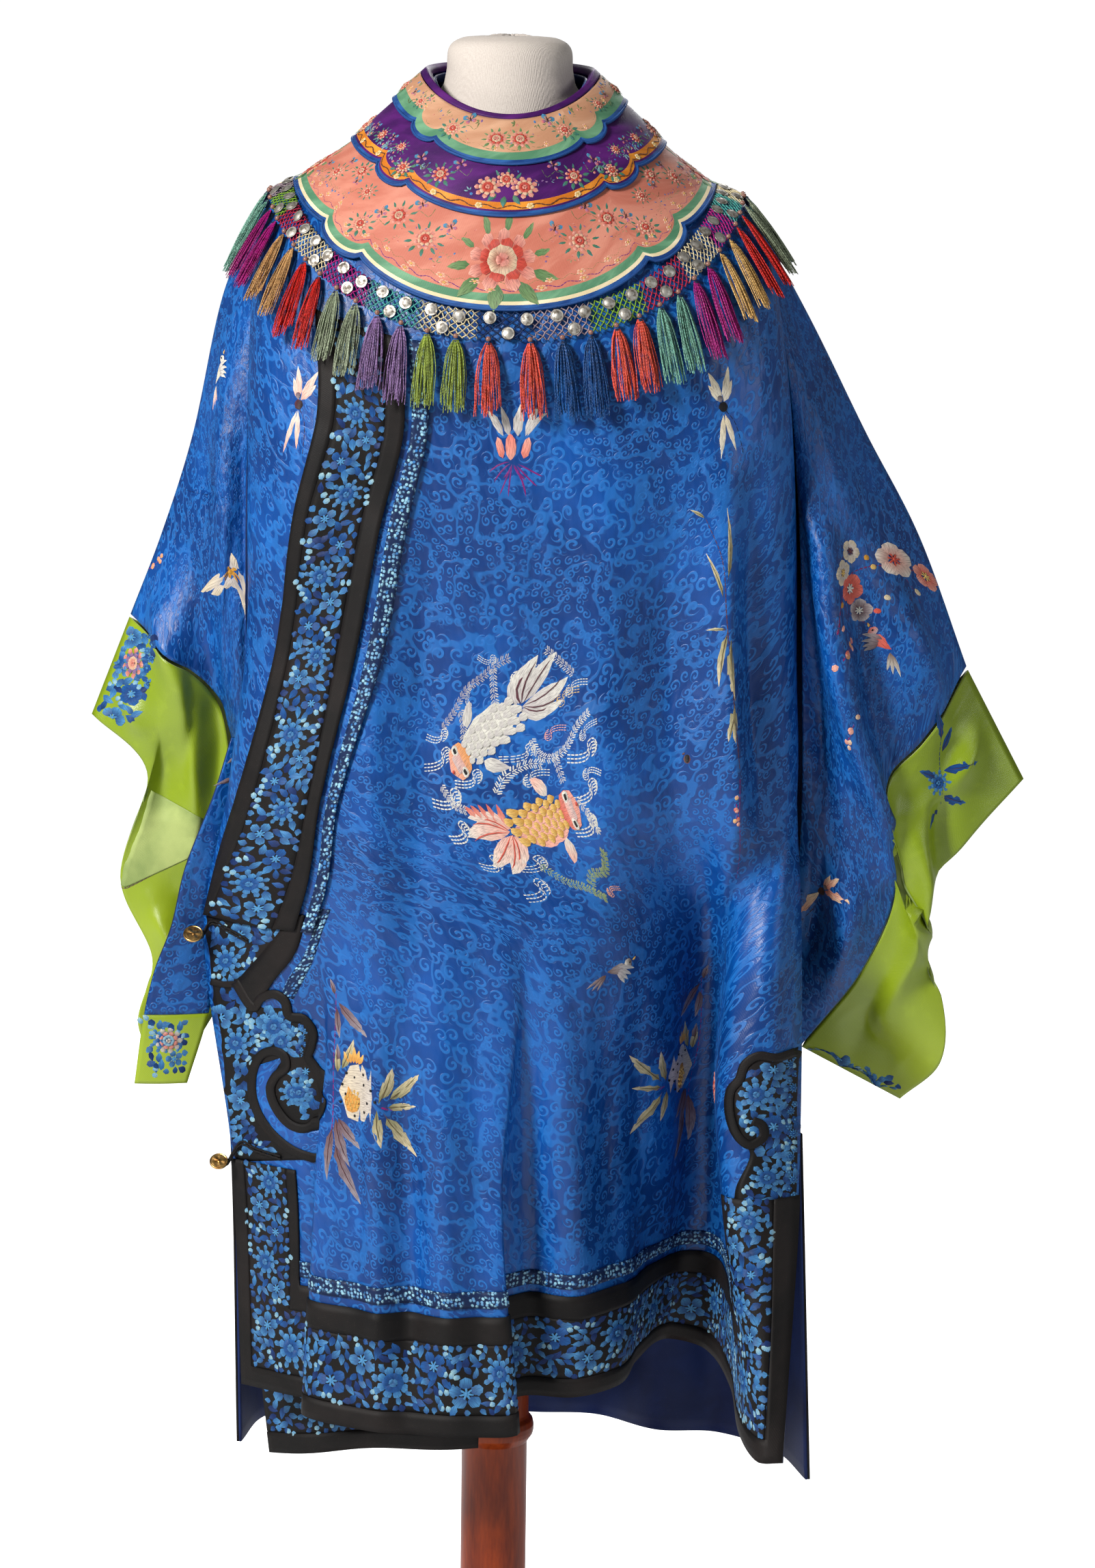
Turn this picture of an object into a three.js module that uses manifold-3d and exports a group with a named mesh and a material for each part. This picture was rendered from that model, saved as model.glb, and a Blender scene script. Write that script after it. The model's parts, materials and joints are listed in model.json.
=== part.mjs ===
// Embroidered silk robe with a three-tier scalloped collar, on a limbless dress form and pole stand.
// Millimetres, +Z up, front of the robe towards -Y, origin on the floor under the middle of the base.
import * as THREE from "three";
import Module from "manifold-3d";

const wasm = await Module();
wasm.setup();

// Driving sizes
const CLOTH = 2; // thickness of the padded silk wall
const GAP = 0.3; // gap along a seam
const FLOOR_TO_NECK = 1533; // top of the neck stub
const HEM_LENGTH = 880; // cloth along the front hem, folds included
const BACK_HEM_LENGTH = 800;
const POLE_RADIUS = 27;
const BASE_RADIUS = 195;
const BASE_HEIGHT = 34;

// Border widths, measured from the edge of the cloth
const BINDING = 17;
const FLOWERS_END = 72;
const SATIN_END = 94;
const RIBBON_START = 101;
const RIBBON_END = 114;
const SIDE_BINDING = 13;
const SIDE_FLOWERS_END = 56;
const SIDE_SATIN_END = 66;

// Rings of the upper robe. T is the way down from the neckline; square 1 is an ellipse, smaller is boxier.
const RINGS = [
  { name: "neckline", T: 0, sideZ: 1500, frontZ: 1467, backZ: 1506, left: -57, right: 58, edge: 0.5, front: 64, back: 56, square: 1 },
  { name: "collar", T: 46, sideZ: 1452, frontZ: 1424, backZ: 1463, left: -110, right: 110, edge: 0.5, front: 96, back: 92, square: 1 },
  { name: "yoke", T: 92, sideZ: 1421, frontZ: 1378, backZ: 1416, left: -154, right: 148, edge: 0.5, front: 120, back: 114, square: 0.98 },
  { name: "shoulder", T: 137, sideZ: 1403, frontZ: 1336, backZ: 1368, left: -187, right: 186, edge: 3, front: 137, back: 130, square: 0.92 },
  { name: "armhole", T: 187, sideZ: 1356, frontZ: 1290, backZ: 1318, left: -195, right: 205, edge: 36, front: 146, back: 138, square: 0.84 },
  { name: "bust", T: 255, sideZ: 1265, frontZ: 1225, backZ: 1240, left: -198, right: 219, edge: 55, front: 148, back: 142, square: 0.8 },
  { name: "chest", T: 320, sideZ: 1168, frontZ: 1165, backZ: 1166, left: -198, right: 226, edge: 63, front: 145, back: 142, square: 0.8 },
  { name: "waist", T: 425, sideZ: 1060, frontZ: 1060, backZ: 1060, left: -199, right: 229, edge: 66, front: 138, back: 138, square: 0.8 },
  { name: "seat", T: 540, sideZ: 945, frontZ: 945, backZ: 942, left: -213, right: 232, edge: 68, front: 140, back: 144, square: 0.8 },
];

// Turns of the front skirt, one row for each fold edge or valley, from its left edge to its right edge.
const FRONT_TURNS = [
  { name: "left edge", hemX: -203, hemY: -50, hemZ: 451, kneeX: -212, kneeY: -50, hipX: -235, hipY: -46 },
  { name: "left border", hemX: -148, hemY: -94, hemZ: 454, kneeX: -152, kneeY: -88, hipX: -182, hipY: -92 },
  { name: "under pleat", hemX: -120, hemY: -92, hemZ: 452, kneeX: -128, kneeY: -95, hipX: -150, hipY: -106 },
  { name: "pleat left fold", hemX: -149, hemY: -121, hemZ: 449, kneeX: -141, kneeY: -116, hipX: -131, hipY: -116 },
  { name: "pleat left face", hemX: -98, hemY: -148, hemZ: 446, kneeX: -98, kneeY: -138, hipX: -92, hipY: -134 },
  { name: "pleat middle", hemX: -40, hemY: -160, hemZ: 446, kneeX: -42, kneeY: -150, hipX: -46, hipY: -145 },
  { name: "pleat right fold", hemX: 18, hemY: -165, hemZ: 449, kneeX: 4, kneeY: -154, hipX: 2, hipY: -148 },
  { name: "under right fold", hemX: -6, hemY: -134, hemZ: 458, kneeX: 4, kneeY: -138, hipX: 20, hipY: -144 },
  { name: "centre seam", hemX: 22, hemY: -116, hemZ: 466, kneeX: 22, kneeY: -128, hipX: 36, hipY: -141 },
  { name: "right face", hemX: 62, hemY: -113, hemZ: 465, kneeX: 66, kneeY: -120, hipX: 76, hipY: -130 },
  { name: "right slope", hemX: 97, hemY: -95, hemZ: 469, kneeX: 108, kneeY: -96, hipX: 112, hipY: -112 },
  { name: "valley wall", hemX: 112, hemY: -45, hemZ: 474, kneeX: 136, kneeY: -66, hipX: 144, hipY: -86 },
  { name: "valley floor", hemX: 138, hemY: 10, hemZ: 476, kneeX: 162, kneeY: -34, hipX: 168, hipY: -66 },
  { name: "valley far wall", hemX: 174, hemY: -8, hemZ: 473, kneeX: 184, kneeY: -52, hipX: 184, hipY: -78 },
  { name: "ridge wall", hemX: 194, hemY: -80, hemZ: 464, kneeX: 190, kneeY: -102, hipX: 188, hipY: -104 },
  { name: "ridge left fold", hemX: 199, hemY: -160, hemZ: 450, kneeX: 192, kneeY: -138, hipX: 196, hipY: -124 },
  { name: "ridge face", hemX: 212, hemY: -203, hemZ: 442, kneeX: 214, kneeY: -156, hipX: 216, hipY: -130 },
  { name: "right edge", hemX: 227, hemY: -208, hemZ: 443, kneeX: 237, kneeY: -140, hipX: 237, hipY: -98 },
];

// Turns of the back skirt, from its right edge round to its left edge.
const BACK_TURNS = [
  { name: "right edge", hemX: 261, hemY: 40, hemZ: 343, kneeX: 248, kneeY: 46, hipX: 239, hipY: 52 },
  { name: "right flank", hemX: 238, hemY: 108, hemZ: 345, kneeX: 232, kneeY: 104, hipX: 222, hipY: 98 },
  { name: "right ridge", hemX: 190, hemY: 152, hemZ: 346, kneeX: 184, kneeY: 148, hipX: 176, hipY: 136 },
  { name: "right trough", hemX: 138, hemY: 138, hemZ: 352, kneeX: 134, kneeY: 142, hipX: 126, hipY: 142 },
  { name: "centre right ridge", hemX: 86, hemY: 184, hemZ: 350, kneeX: 82, kneeY: 172, hipX: 74, hipY: 158 },
  { name: "centre trough", hemX: 30, hemY: 152, hemZ: 362, kneeX: 28, kneeY: 154, hipX: 22, hipY: 154 },
  { name: "centre left ridge", hemX: -36, hemY: 182, hemZ: 356, kneeX: -34, kneeY: 172, hipX: -32, hipY: 160 },
  { name: "left trough", hemX: -92, hemY: 140, hemZ: 368, kneeX: -90, kneeY: 142, hipX: -84, hipY: 146 },
  { name: "left ridge", hemX: -148, hemY: 150, hemZ: 366, kneeX: -146, kneeY: 140, hipX: -142, hipY: 132 },
  { name: "left flank", hemX: -196, hemY: 96, hemZ: 374, kneeX: -200, kneeY: 90, hipX: -206, hipY: 86 },
  { name: "left edge", hemX: -212, hemY: 34, hemZ: 372, kneeX: -218, kneeY: 36, hipX: -236, hipY: 40 },
];
const LEVELS = { hip: 655, knee: 845, hem: 1035 }; // T of the three turned sections
const HIP_Z = 830;
const KNEE_Z = 640;

// Cubic curve through values at rising knots, with slopes from the neighbours.
function through(knots, values, x) {
  let i = 0;
  while (i < knots.length - 2 && x > knots[i + 1]) i++;
  const slope = (j) => {
    if (j === 0) return (values[1] - values[0]) / (knots[1] - knots[0]);
    if (j === knots.length - 1) return (values[j] - values[j - 1]) / (knots[j] - knots[j - 1]);
    return (values[j + 1] - values[j - 1]) / (knots[j + 1] - knots[j - 1]);
  };
  const h = knots[i + 1] - knots[i];
  const t = Math.min(1, Math.max(0, (x - knots[i]) / h));
  const a = (1 + 2 * t) * (1 - t) * (1 - t);
  const b = t * (1 - t) * (1 - t) * h;
  const c = t * t * (3 - 2 * t);
  const d = t * t * (t - 1) * h;
  return a * values[i] + b * slope(i) + c * values[i + 1] + d * slope(i + 1);
}

// Share of the cloth's width at each turn, from the lengths between turns at the hem.
function turnShares(turns) {
  const shares = [0];
  for (let i = 1; i < turns.length; i++) {
    const dx = turns[i].hemX - turns[i - 1].hemX;
    const dy = turns[i].hemY - turns[i - 1].hemY;
    shares.push(shares[i - 1] + Math.hypot(dx, dy));
  }
  return shares.map((s) => s / shares[shares.length - 1]);
}
const FRONT_SHARES = turnShares(FRONT_TURNS);
const BACK_SHARES = turnShares(BACK_TURNS);
const column = (rows, key) => rows.map((row) => row[key]);

// A point on one ring: u runs from the robe's left edge to its right edge in front, and back again behind.
function onRing(ring, u, back) {
  const c = -Math.cos(Math.PI * u) * (back ? -1 : 1);
  const s = Math.sin(Math.PI * Math.min(1, Math.max(0, u)));
  const middle = (ring.left + ring.right) / 2;
  const half = (ring.right - ring.left) / 2;
  const x = middle + half * Math.sign(c) * Math.abs(c) ** ring.square;
  const reach = s ** ring.square;
  const depth = back ? ring.back : ring.front;
  const y = (ring.edge + (depth - ring.edge) * reach) * (back ? 1 : -1);
  const z = ring.sideZ + ((back ? ring.backZ : ring.frontZ) - ring.sideZ) * s ** 1.3;
  return [x, y, z];
}

// A point on one turned section of the skirt.
function onTurns(turns, shares, u, level, z) {
  const x = through(shares, column(turns, level + "X"), u);
  const y = through(shares, column(turns, level + "Y"), u);
  return [x, y, level === "hem" ? through(shares, column(turns, "hemZ"), u) : z];
}

const ALL_T = [...column(RINGS, "T"), LEVELS.hip, LEVELS.knee, LEVELS.hem];
function robe(u, T, back) {
  const turns = back ? BACK_TURNS : FRONT_TURNS;
  const shares = back ? BACK_SHARES : FRONT_SHARES;
  const rows = RINGS.map((ring) => onRing(ring, u, back));
  rows.push(onTurns(turns, shares, u, "hip", HIP_Z));
  rows.push(onTurns(turns, shares, u, "knee", KNEE_Z));
  rows.push(onTurns(turns, shares, u, "hem", 0));
  return [0, 1, 2].map((k) => through(ALL_T, rows.map((row) => row[k]), T));
}
// The shoulder surface all round: angle 0 is the wearer's left side, turning towards the front.
function cape(angle, T) {
  const turn = ((angle % (2 * Math.PI)) + 2 * Math.PI) % (2 * Math.PI);
  return turn <= Math.PI ? robe(1 - turn / Math.PI, T, false) : robe((2 * Math.PI - turn) / Math.PI, T, true);
}

// Points and outward normals of a surface on a grid of two lists of values.
function grid(surface, us, ts, flip = false, closed = false) {
  const points = ts.map((t) => us.map((u) => new THREE.Vector3(...surface(u, t))));
  const rows = points.length;
  const cols = us.length;
  const normals = points.map((row, j) => row.map((_, i) => {
    const before = closed ? (i + cols - 1) % cols : Math.max(0, i - 1);
    const after = closed ? (i + 1) % cols : Math.min(cols - 1, i + 1);
    const across = points[j][after].clone().sub(points[j][before]);
    const down = points[Math.min(rows - 1, j + 1)][i].clone().sub(points[Math.max(0, j - 1)][i]);
    const n = down.cross(across).normalize();
    return flip ? n.negate() : n;
  }));
  return { points, normals, closed };
}

// A closed wall over the chosen cells of a grid, between two distances from its surface.
function wall({ points, normals, closed }, near, far, chosen = () => true, flip = false) {
  const rows = points.length - 1;
  const cols = points[0].length;
  const cells = closed ? cols : cols - 1;
  const inside = (j, i) => {
    if (j < 0 || j >= rows) return false;
    if (!closed && (i < 0 || i >= cells)) return false;
    return chosen((i + cols) % cols, j);
  };
  const vertices = [];
  const index = new Map();
  const vertex = (j, i0, side) => {
    const i = (i0 + cols) % cols;
    const key = `${j} ${i} ${side}`;
    if (!index.has(key)) {
      index.set(key, vertices.length / 3);
      const p = points[j][i].clone().addScaledVector(normals[j][i], side ? far : near);
      vertices.push(p.x, p.y, p.z);
    }
    return index.get(key);
  };
  const triangles = [];
  const quad = (a, b, c, d) => triangles.push(a, b, c, a, c, d);
  for (let j = 0; j < rows; j++) for (let i = 0; i < cells; i++) {
    if (!inside(j, i)) continue;
    quad(vertex(j, i, 1), vertex(j + 1, i, 1), vertex(j + 1, i + 1, 1), vertex(j, i + 1, 1));
    triangles.push(vertex(j, i, 0), vertex(j + 1, i + 1, 0), vertex(j + 1, i, 0));
    triangles.push(vertex(j, i, 0), vertex(j, i + 1, 0), vertex(j + 1, i + 1, 0));
    if (!inside(j - 1, i)) quad(vertex(j, i, 0), vertex(j, i, 1), vertex(j, i + 1, 1), vertex(j, i + 1, 0));
    if (!inside(j + 1, i)) quad(vertex(j + 1, i, 1), vertex(j + 1, i, 0), vertex(j + 1, i + 1, 0), vertex(j + 1, i + 1, 1));
    if (!inside(j, i - 1)) quad(vertex(j, i, 1), vertex(j, i, 0), vertex(j + 1, i, 0), vertex(j + 1, i, 1));
    if (!inside(j, i + 1)) quad(vertex(j, i + 1, 0), vertex(j, i + 1, 1), vertex(j + 1, i + 1, 1), vertex(j + 1, i + 1, 0));
  }
  if (flip) for (let k = 0; k < triangles.length; k += 3) [triangles[k + 1], triangles[k + 2]] = [triangles[k + 2], triangles[k + 1]];
  return { vertices, triangles };
}

function geometryOf({ vertices, triangles }) {
  const geometry = new THREE.BufferGeometry();
  geometry.setAttribute("position", new THREE.BufferAttribute(new Float32Array(vertices), 3));
  geometry.setIndex([...triangles]);
  return geometry;
}
const solidOf = ({ vertices, triangles }) => new wasm.Manifold(new wasm.Mesh({
  numProp: 3,
  vertProperties: new Float32Array(vertices),
  triVerts: new Uint32Array(triangles),
}));
function plainMesh(solid) {
  const mesh = solid.getMesh();
  return { vertices: [...mesh.vertProperties], triangles: [...mesh.triVerts] };
}

const robeGroup = new THREE.Group();
const MATERIALS = {
  silk: { color: 0x24529c, roughness: 0.5 },
  lining: { color: 0x1e3778, roughness: 0.7 },
  green: { color: 0x8caa1e, roughness: 0.4 },
  black: { color: 0x262020, roughness: 0.6 },
  flowers: { color: 0x2a6db0, roughness: 0.6 },
  tan: { color: 0xcda582, roughness: 0.6 },
  purple: { color: 0x4b195f, roughness: 0.6 },
  coral: { color: 0xeb8c73, roughness: 0.6 },
  net: { color: 0x9a8a60, roughness: 0.8 },
  fringe: { color: 0xb86a50, roughness: 0.8 },
  brass: { color: 0xbe8c50, roughness: 0.3, metalness: 0.9 },
  wood: { color: 0x8a4018, roughness: 0.35 },
  linen: { color: 0xe1d9cd, roughness: 0.9 },
};
function add(name, shape, material) {
  const geometry = shape.isBufferGeometry ? shape : geometryOf(shape);
  const mesh = new THREE.Mesh(geometry, new THREE.MeshStandardMaterial(MATERIALS[material]));
  mesh.name = name;
  robeGroup.add(mesh);
  return mesh;
}

// Columns and rows of the front and back skirts: the border lines fall on grid lines.
function columns(length, shares) {
  const lines = [0, SIDE_BINDING, SIDE_BINDING + GAP, SIDE_FLOWERS_END, SIDE_FLOWERS_END + GAP, SIDE_SATIN_END, SIDE_SATIN_END + GAP].map((d) => d / length);
  const all = [...lines, ...lines.map((u) => 1 - u)];
  for (let i = 1; i < shares.length; i++) {
    const count = (shares[i] - shares[i - 1]) * length > 44 ? 2 : 1; // a long face gets a column in its middle
    for (let k = 0; k < count; k++) {
      const u = shares[i - 1] + ((shares[i] - shares[i - 1]) * k) / count;
      if (all.every((v) => Math.abs(v - u) > 0.011)) all.push(u);
    }
  }
  return all.sort((a, b) => a - b);
}
const BORDER_LINES = [RIBBON_END, RIBBON_START, SATIN_END, FLOWERS_END + GAP, FLOWERS_END, BINDING + GAP, BINDING, 0];
const FRONT_ROWS = [0, 46, 92, 137, 187, 255, 320, 425, 540, 598, 655, 750, 845, ...BORDER_LINES.map((d) => LEVELS.hem - d)];
const BACK_ROWS = [0, 46, 92, 137, 187, 255, 320, 425, 540, 655, 750, 845, ...BORDER_LINES.map((d) => LEVELS.hem - d)];
const SIDE_TOP = 845; // the side borders run up to the top of the slits

function borders(name, sheet, us, ts, length) {
  const rowOf = (d) => LEVELS.hem - d;
  const leg = (i, d0, d1) => {
    const u = (us[i] + us[i + 1]) / 2;
    const d = Math.min(u, 1 - u) * length;
    return d > d0 && d < d1;
  };
  const foot = (j, d0, d1) => {
    const t = (ts[j] + ts[j + 1]) / 2;
    return t > rowOf(d1) && t < rowOf(d0);
  };
  const low = (j) => ts[j] >= SIDE_TOP - 0.01;
  const out = (i, d) => !leg(i, -1, d);
  add(name + "_binding", wall(sheet, 2.3, 4.1, (i, j) => low(j) && (leg(i, -1, SIDE_BINDING) || foot(j, -1, BINDING))), "black");
  add(name + "_flower_band", wall(sheet, 2.3, 3.7, (i, j) => low(j) && (
    (leg(i, SIDE_BINDING + GAP, SIDE_FLOWERS_END) && !foot(j, -1, BINDING + GAP))
    || (foot(j, BINDING + GAP, FLOWERS_END) && out(i, SIDE_BINDING + GAP)))), "flowers");
  add(name + "_satin_band", wall(sheet, 2.3, 3.7, (i, j) => low(j) && (
    (leg(i, SIDE_FLOWERS_END + GAP, SIDE_SATIN_END) && !foot(j, -1, FLOWERS_END + GAP))
    || (foot(j, FLOWERS_END + GAP, SATIN_END) && out(i, SIDE_FLOWERS_END + GAP)))), "black");
  add(name + "_ribbon", wall(sheet, 2.3, 3.3, (i, j) => foot(j, RIBBON_START, RIBBON_END) && out(i, SIDE_SATIN_END + GAP)), "flowers");
}

const frontColumns = columns(HEM_LENGTH, FRONT_SHARES);
const frontSheet = grid((u, T) => robe(u, T, false), frontColumns, FRONT_ROWS);
add("robe_front", wall(frontSheet, 0, CLOTH), "silk");
borders("front", frontSheet, frontColumns, FRONT_ROWS, HEM_LENGTH);

const backColumns = columns(BACK_HEM_LENGTH, BACK_SHARES);
const backSheet = grid((u, T) => robe(u, T, true), backColumns, BACK_ROWS);
add("robe_back", wall(backSheet, 0, CLOTH), "silk");
borders("back", backSheet, backColumns, BACK_ROWS, BACK_HEM_LENGTH);

// The under-lap: the lower part of the hidden right front, seen below the hem at the left.
const UNDER_LAP = [
  { name: "top", z: 742, lift: 0, outerX: -228, outerY: 35.6, middleX: -120, middleY: -62, innerX: -10, innerY: -90 },
  { name: "knee", z: 640, lift: 0, outerX: -217, outerY: 34.5, middleX: -112, middleY: -58, innerX: -10, innerY: -88 },
  { name: "hem", z: 377, lift: 34, outerX: -183, outerY: -4, middleX: -104, middleY: -44, innerX: -12, innerY: -82 },
];
function underLap(u, z) {
  const knots = column(UNDER_LAP, "z").map((v) => -v);
  const at = (key) => through(knots, column(UNDER_LAP, key), -z);
  const x = through([0, 0.5, 1], [at("outerX"), at("middleX"), at("innerX")], u);
  const y = through([0, 0.5, 1], [at("outerY"), at("middleY"), at("innerY")], u) - 5 * Math.sin(9 * u);
  return [x, y, z + at("lift") * u];
}
const lapRows = [742, 690, 640, 560, 500, 377 + FLOWERS_END, 377 + BINDING + GAP, 377 + BINDING, 377];
const lapSheet = grid(underLap, [0, 0.12, 0.25, 0.38, 0.5, 0.65, 0.8, 1], lapRows);
add("under_lap", wall(lapSheet, 0, CLOTH), "silk");
add("under_lap_flower_band", wall(lapSheet, 2.3, 3.7, (i, j) => j === 5), "flowers");
add("under_lap_binding", wall(lapSheet, 2.3, 4.1, (i, j) => j === 7), "black");

// Sleeves: six points from the top edge to the bottom edge at the body, at the cuff seam and at the cuff's edge.
const AT = [0, 0.2, 0.4, 0.6, 0.8, 1];
const SLEEVE_LEFT = {
  body: { x: [-190.7, -198.3, -200.5, -200.8, -200.7, -199.6], z: [1399, 1300, 1180, 1060, 930, 800], front: [0, 46, 60, 62, 36, 0], back: [0, 44, 54, 56, 40, 0] },
  seam: { x: [-298, -263, -224, -216, -215, -227], z: [1072, 1048, 1004, 925, 838, 757], front: [0, 40, 28, 22, 18, 0], back: [0, 30, 38, 40, 32, 0] },
  edge: { x: [-329, -284, -306, -280, -292, -267], z: [992, 950, 862, 796, 740, 689], front: [0, 24, 14, 16, 16, 0], back: [0, 24, 34, 36, 26, 0] },
  top: { x: [-192, -223, -247, -272, -298], z: [1399, 1330, 1220, 1140, 1072] },
  swell: 10,
};
const SLEEVE_RIGHT = {
  body: { x: [191, 216, 230, 236, 238, 222], z: [1399, 1300, 1180, 1050, 890, 738], front: [0, 46, 60, 62, 48, 0], back: [0, 44, 54, 56, 46, 0] },
  seam: { x: [371, 334, 300, 314, 290, 246], z: [1038, 988, 942, 868, 800, 727], front: [0, 50, 66, 52, 44, 0], back: [0, 38, 50, 50, 40, 0] },
  edge: { x: [419, 372, 331, 356, 357, 328], z: [949, 902, 838, 774, 722, 684], front: [0, 30, 40, 36, 30, 0], back: [0, 28, 36, 36, 28, 0] },
  top: { x: [191, 240, 285, 330, 371], z: [1399, 1313, 1226, 1143, 1038] },
  swell: 16,
};
const LOOP = 24; // points round a sleeve
function sleeve(shape, start, end) {
  return (k, v) => {
    const turn = k / LOOP;
    const back = turn > 0.5;
    const u = back ? 2 - 2 * turn : 2 * turn;
    const mix = (key) => (1 - v) * through(AT, start[key], u) + v * through(AT, end[key], u);
    let x = mix("x");
    let z = mix("z");
    if (start === shape.body) {
      const quarters = [0, 0.25, 0.5, 0.75, 1];
      const pull = (1 - u) ** 2;
      x += pull * (through(quarters, shape.top.x, v) - (1 - v) * start.x[0] - v * end.x[0]);
      z += pull * (through(quarters, shape.top.z, v) - (1 - v) * start.z[0] - v * end.z[0]);
    }
    const swell = start === shape.body ? shape.swell * Math.sin(Math.PI * v) * Math.sin(Math.PI * u) : 0;
    const depth = back ? mix("back") : mix("front") + swell;
    return [x, (back ? 1 : -1) * Math.max(2.5 * Math.sin(Math.PI * Math.min(u, 1 - u)), depth), z];
  };
}
const loop = Array.from({ length: LOOP }, (_, k) => k);
// The blue tube and the green cuff share one grid, with a seam gap of one thin row between them.
const SLEEVE_ROWS = [0, 0.16, 0.33, 0.5, 0.75, 0.99, 1.01, 1.5, 2];
const SEAM_HALF_GAP = 1.9;
const SEAM_ROW = 5;
function addSleeve(side, shape, flip) {
  const upper = sleeve(shape, shape.body, shape.seam);
  const lower = sleeve(shape, shape.seam, shape.edge);
  const step = (surface, k, v, from) => { // moves a row so that it ends a fixed distance from the seam
    const a = new THREE.Vector3(...surface(k, from));
    const b = new THREE.Vector3(...surface(k, Math.abs(from - 0.25)));
    return Math.abs(v - from) < 0.02 ? Math.abs(from - (0.25 * SEAM_HALF_GAP) / a.distanceTo(b)) : v;
  };
  const sheet = grid((k, v) => (v <= 1 ? upper(k, step(upper, k, v, 1)) : lower(k, step(lower, k, v - 1, 0))), loop, SLEEVE_ROWS, flip, true);
  sheet.normals[SEAM_ROW].forEach((n, k) => {
    n.add(sheet.normals[SEAM_ROW + 1][k]).normalize();
    sheet.normals[SEAM_ROW + 1][k].copy(n);
  });
  add("sleeve_" + side, wall(sheet, -CLOTH / 2, CLOTH / 2, (i, j) => j < SEAM_ROW, flip), "silk");
  add("cuff_" + side, wall(sheet, -CLOTH / 2, CLOTH / 2, (i, j) => j > SEAM_ROW, flip), "green");
}
addSleeve("left", SLEEVE_LEFT, false);
addSleeve("right", SLEEVE_RIGHT, true);

// The lower front of the left sleeve, which folds forward over the cuff.
const SLEEVE_FOLD = [
  { name: "top", z: 990, outerX: -212, innerX: -203, outerY: 62, innerY: 58 },
  { name: "upper", z: 940, outerX: -227, innerX: -206, outerY: 64, innerY: 54 },
  { name: "middle", z: 880, outerX: -250, innerX: -212, outerY: 60, innerY: 44 },
  { name: "underarm", z: 830, outerX: -262, innerX: -220, outerY: 55, innerY: 35.4 },
  { name: "lobe", z: 795, outerX: -275, innerX: -227, outerY: 52, innerY: 40 },
  { name: "seam", z: 757, outerX: -284, innerX: -233, outerY: 50, innerY: 42 },
  { name: "tip", z: 700, outerX: -292, innerX: -250, outerY: 48, innerY: 44 },
];
function sleeveFold(u, z) {
  const knots = column(SLEEVE_FOLD, "z").map((v) => -v);
  const at = (key) => through(knots, column(SLEEVE_FOLD, key), -z);
  return [at("outerX") + (at("innerX") - at("outerX")) * u, -at("outerY") + (at("outerY") - at("innerY")) * u, z];
}
const foldSheet = grid(sleeveFold, [0, 0.3, 0.65, 1], [985, 960, 930, 900, 870, 840, 810, 785, 757.4, 757, 728, 700]);
add("sleeve_left_fold", wall(foldSheet, 0, CLOTH, (i, j) => j < 8), "silk");
add("cuff_left_tip", wall(foldSheet, 0, CLOTH, (i, j) => j > 8), "green");

// The overlap's bands, from under the collar down to the left side: edges as X at each height.
const BANDS = [
  { name: "collar", T: 176, outer: -143, flowers: -129, satin: -93, gap: -78, ribbon: -72, end: -58 },
  { name: "bust", T: 245, outer: -140, flowers: -127, satin: -90, gap: -75, ribbon: -70, end: -57 },
  { name: "chest", T: 320, outer: -157, flowers: -146, satin: -108, gap: -92, ribbon: -86, end: -72 },
  { name: "waist", T: 425, outer: -173, flowers: -162, satin: -126, gap: -111, ribbon: -103, end: -90 },
  { name: "seat", T: 540, outer: -203, flowers: -190, satin: -148, gap: -138, ribbon: -133, end: -124 },
  { name: "low", T: 600, outer: -221, flowers: -210, satin: -160, gap: -146, ribbon: -140, end: -131 },
  { name: "end", T: 645, outer: -233, flowers: -228, satin: -176, gap: -158, ribbon: -153, end: -143 },
];
// The share of the front's width at a given X and height, found by halving.
function shareAt(x, T) {
  let low = 0;
  let high = 0.46;
  for (let k = 0; k < 30; k++) {
    const middle = (low + high) / 2;
    if (robe(middle, T, false)[0] < x) low = middle;
    else high = middle;
  }
  return (low + high) / 2;
}
const bandRows = [176, 210, 255, 320, 372, 425, 482, 540, 598, 622, 645];
function addBand(name, from, to, far, material) {
  const edge = (key, T) => through(column(BANDS, "T"), column(BANDS, key), T);
  const surface = (v, T) => {
    const x = (1 - v) * (edge(from, T) + GAP / 2) + v * (edge(to, T) - GAP / 2);
    return robe(shareAt(x, T), T, false);
  };
  add(name, wall(grid(surface, [0, 0.5, 1], bandRows), 4.4, far, () => true), material);
}
addBand("overlap_edge", "outer", "flowers", 5.6, "black");
addBand("overlap_flower_band", "flowers", "satin", 5.6, "flowers");
addBand("overlap_satin_band", "satin", "gap", 5.6, "black");
addBand("overlap_ribbon", "ribbon", "end", 5.4, "flowers");

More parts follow.
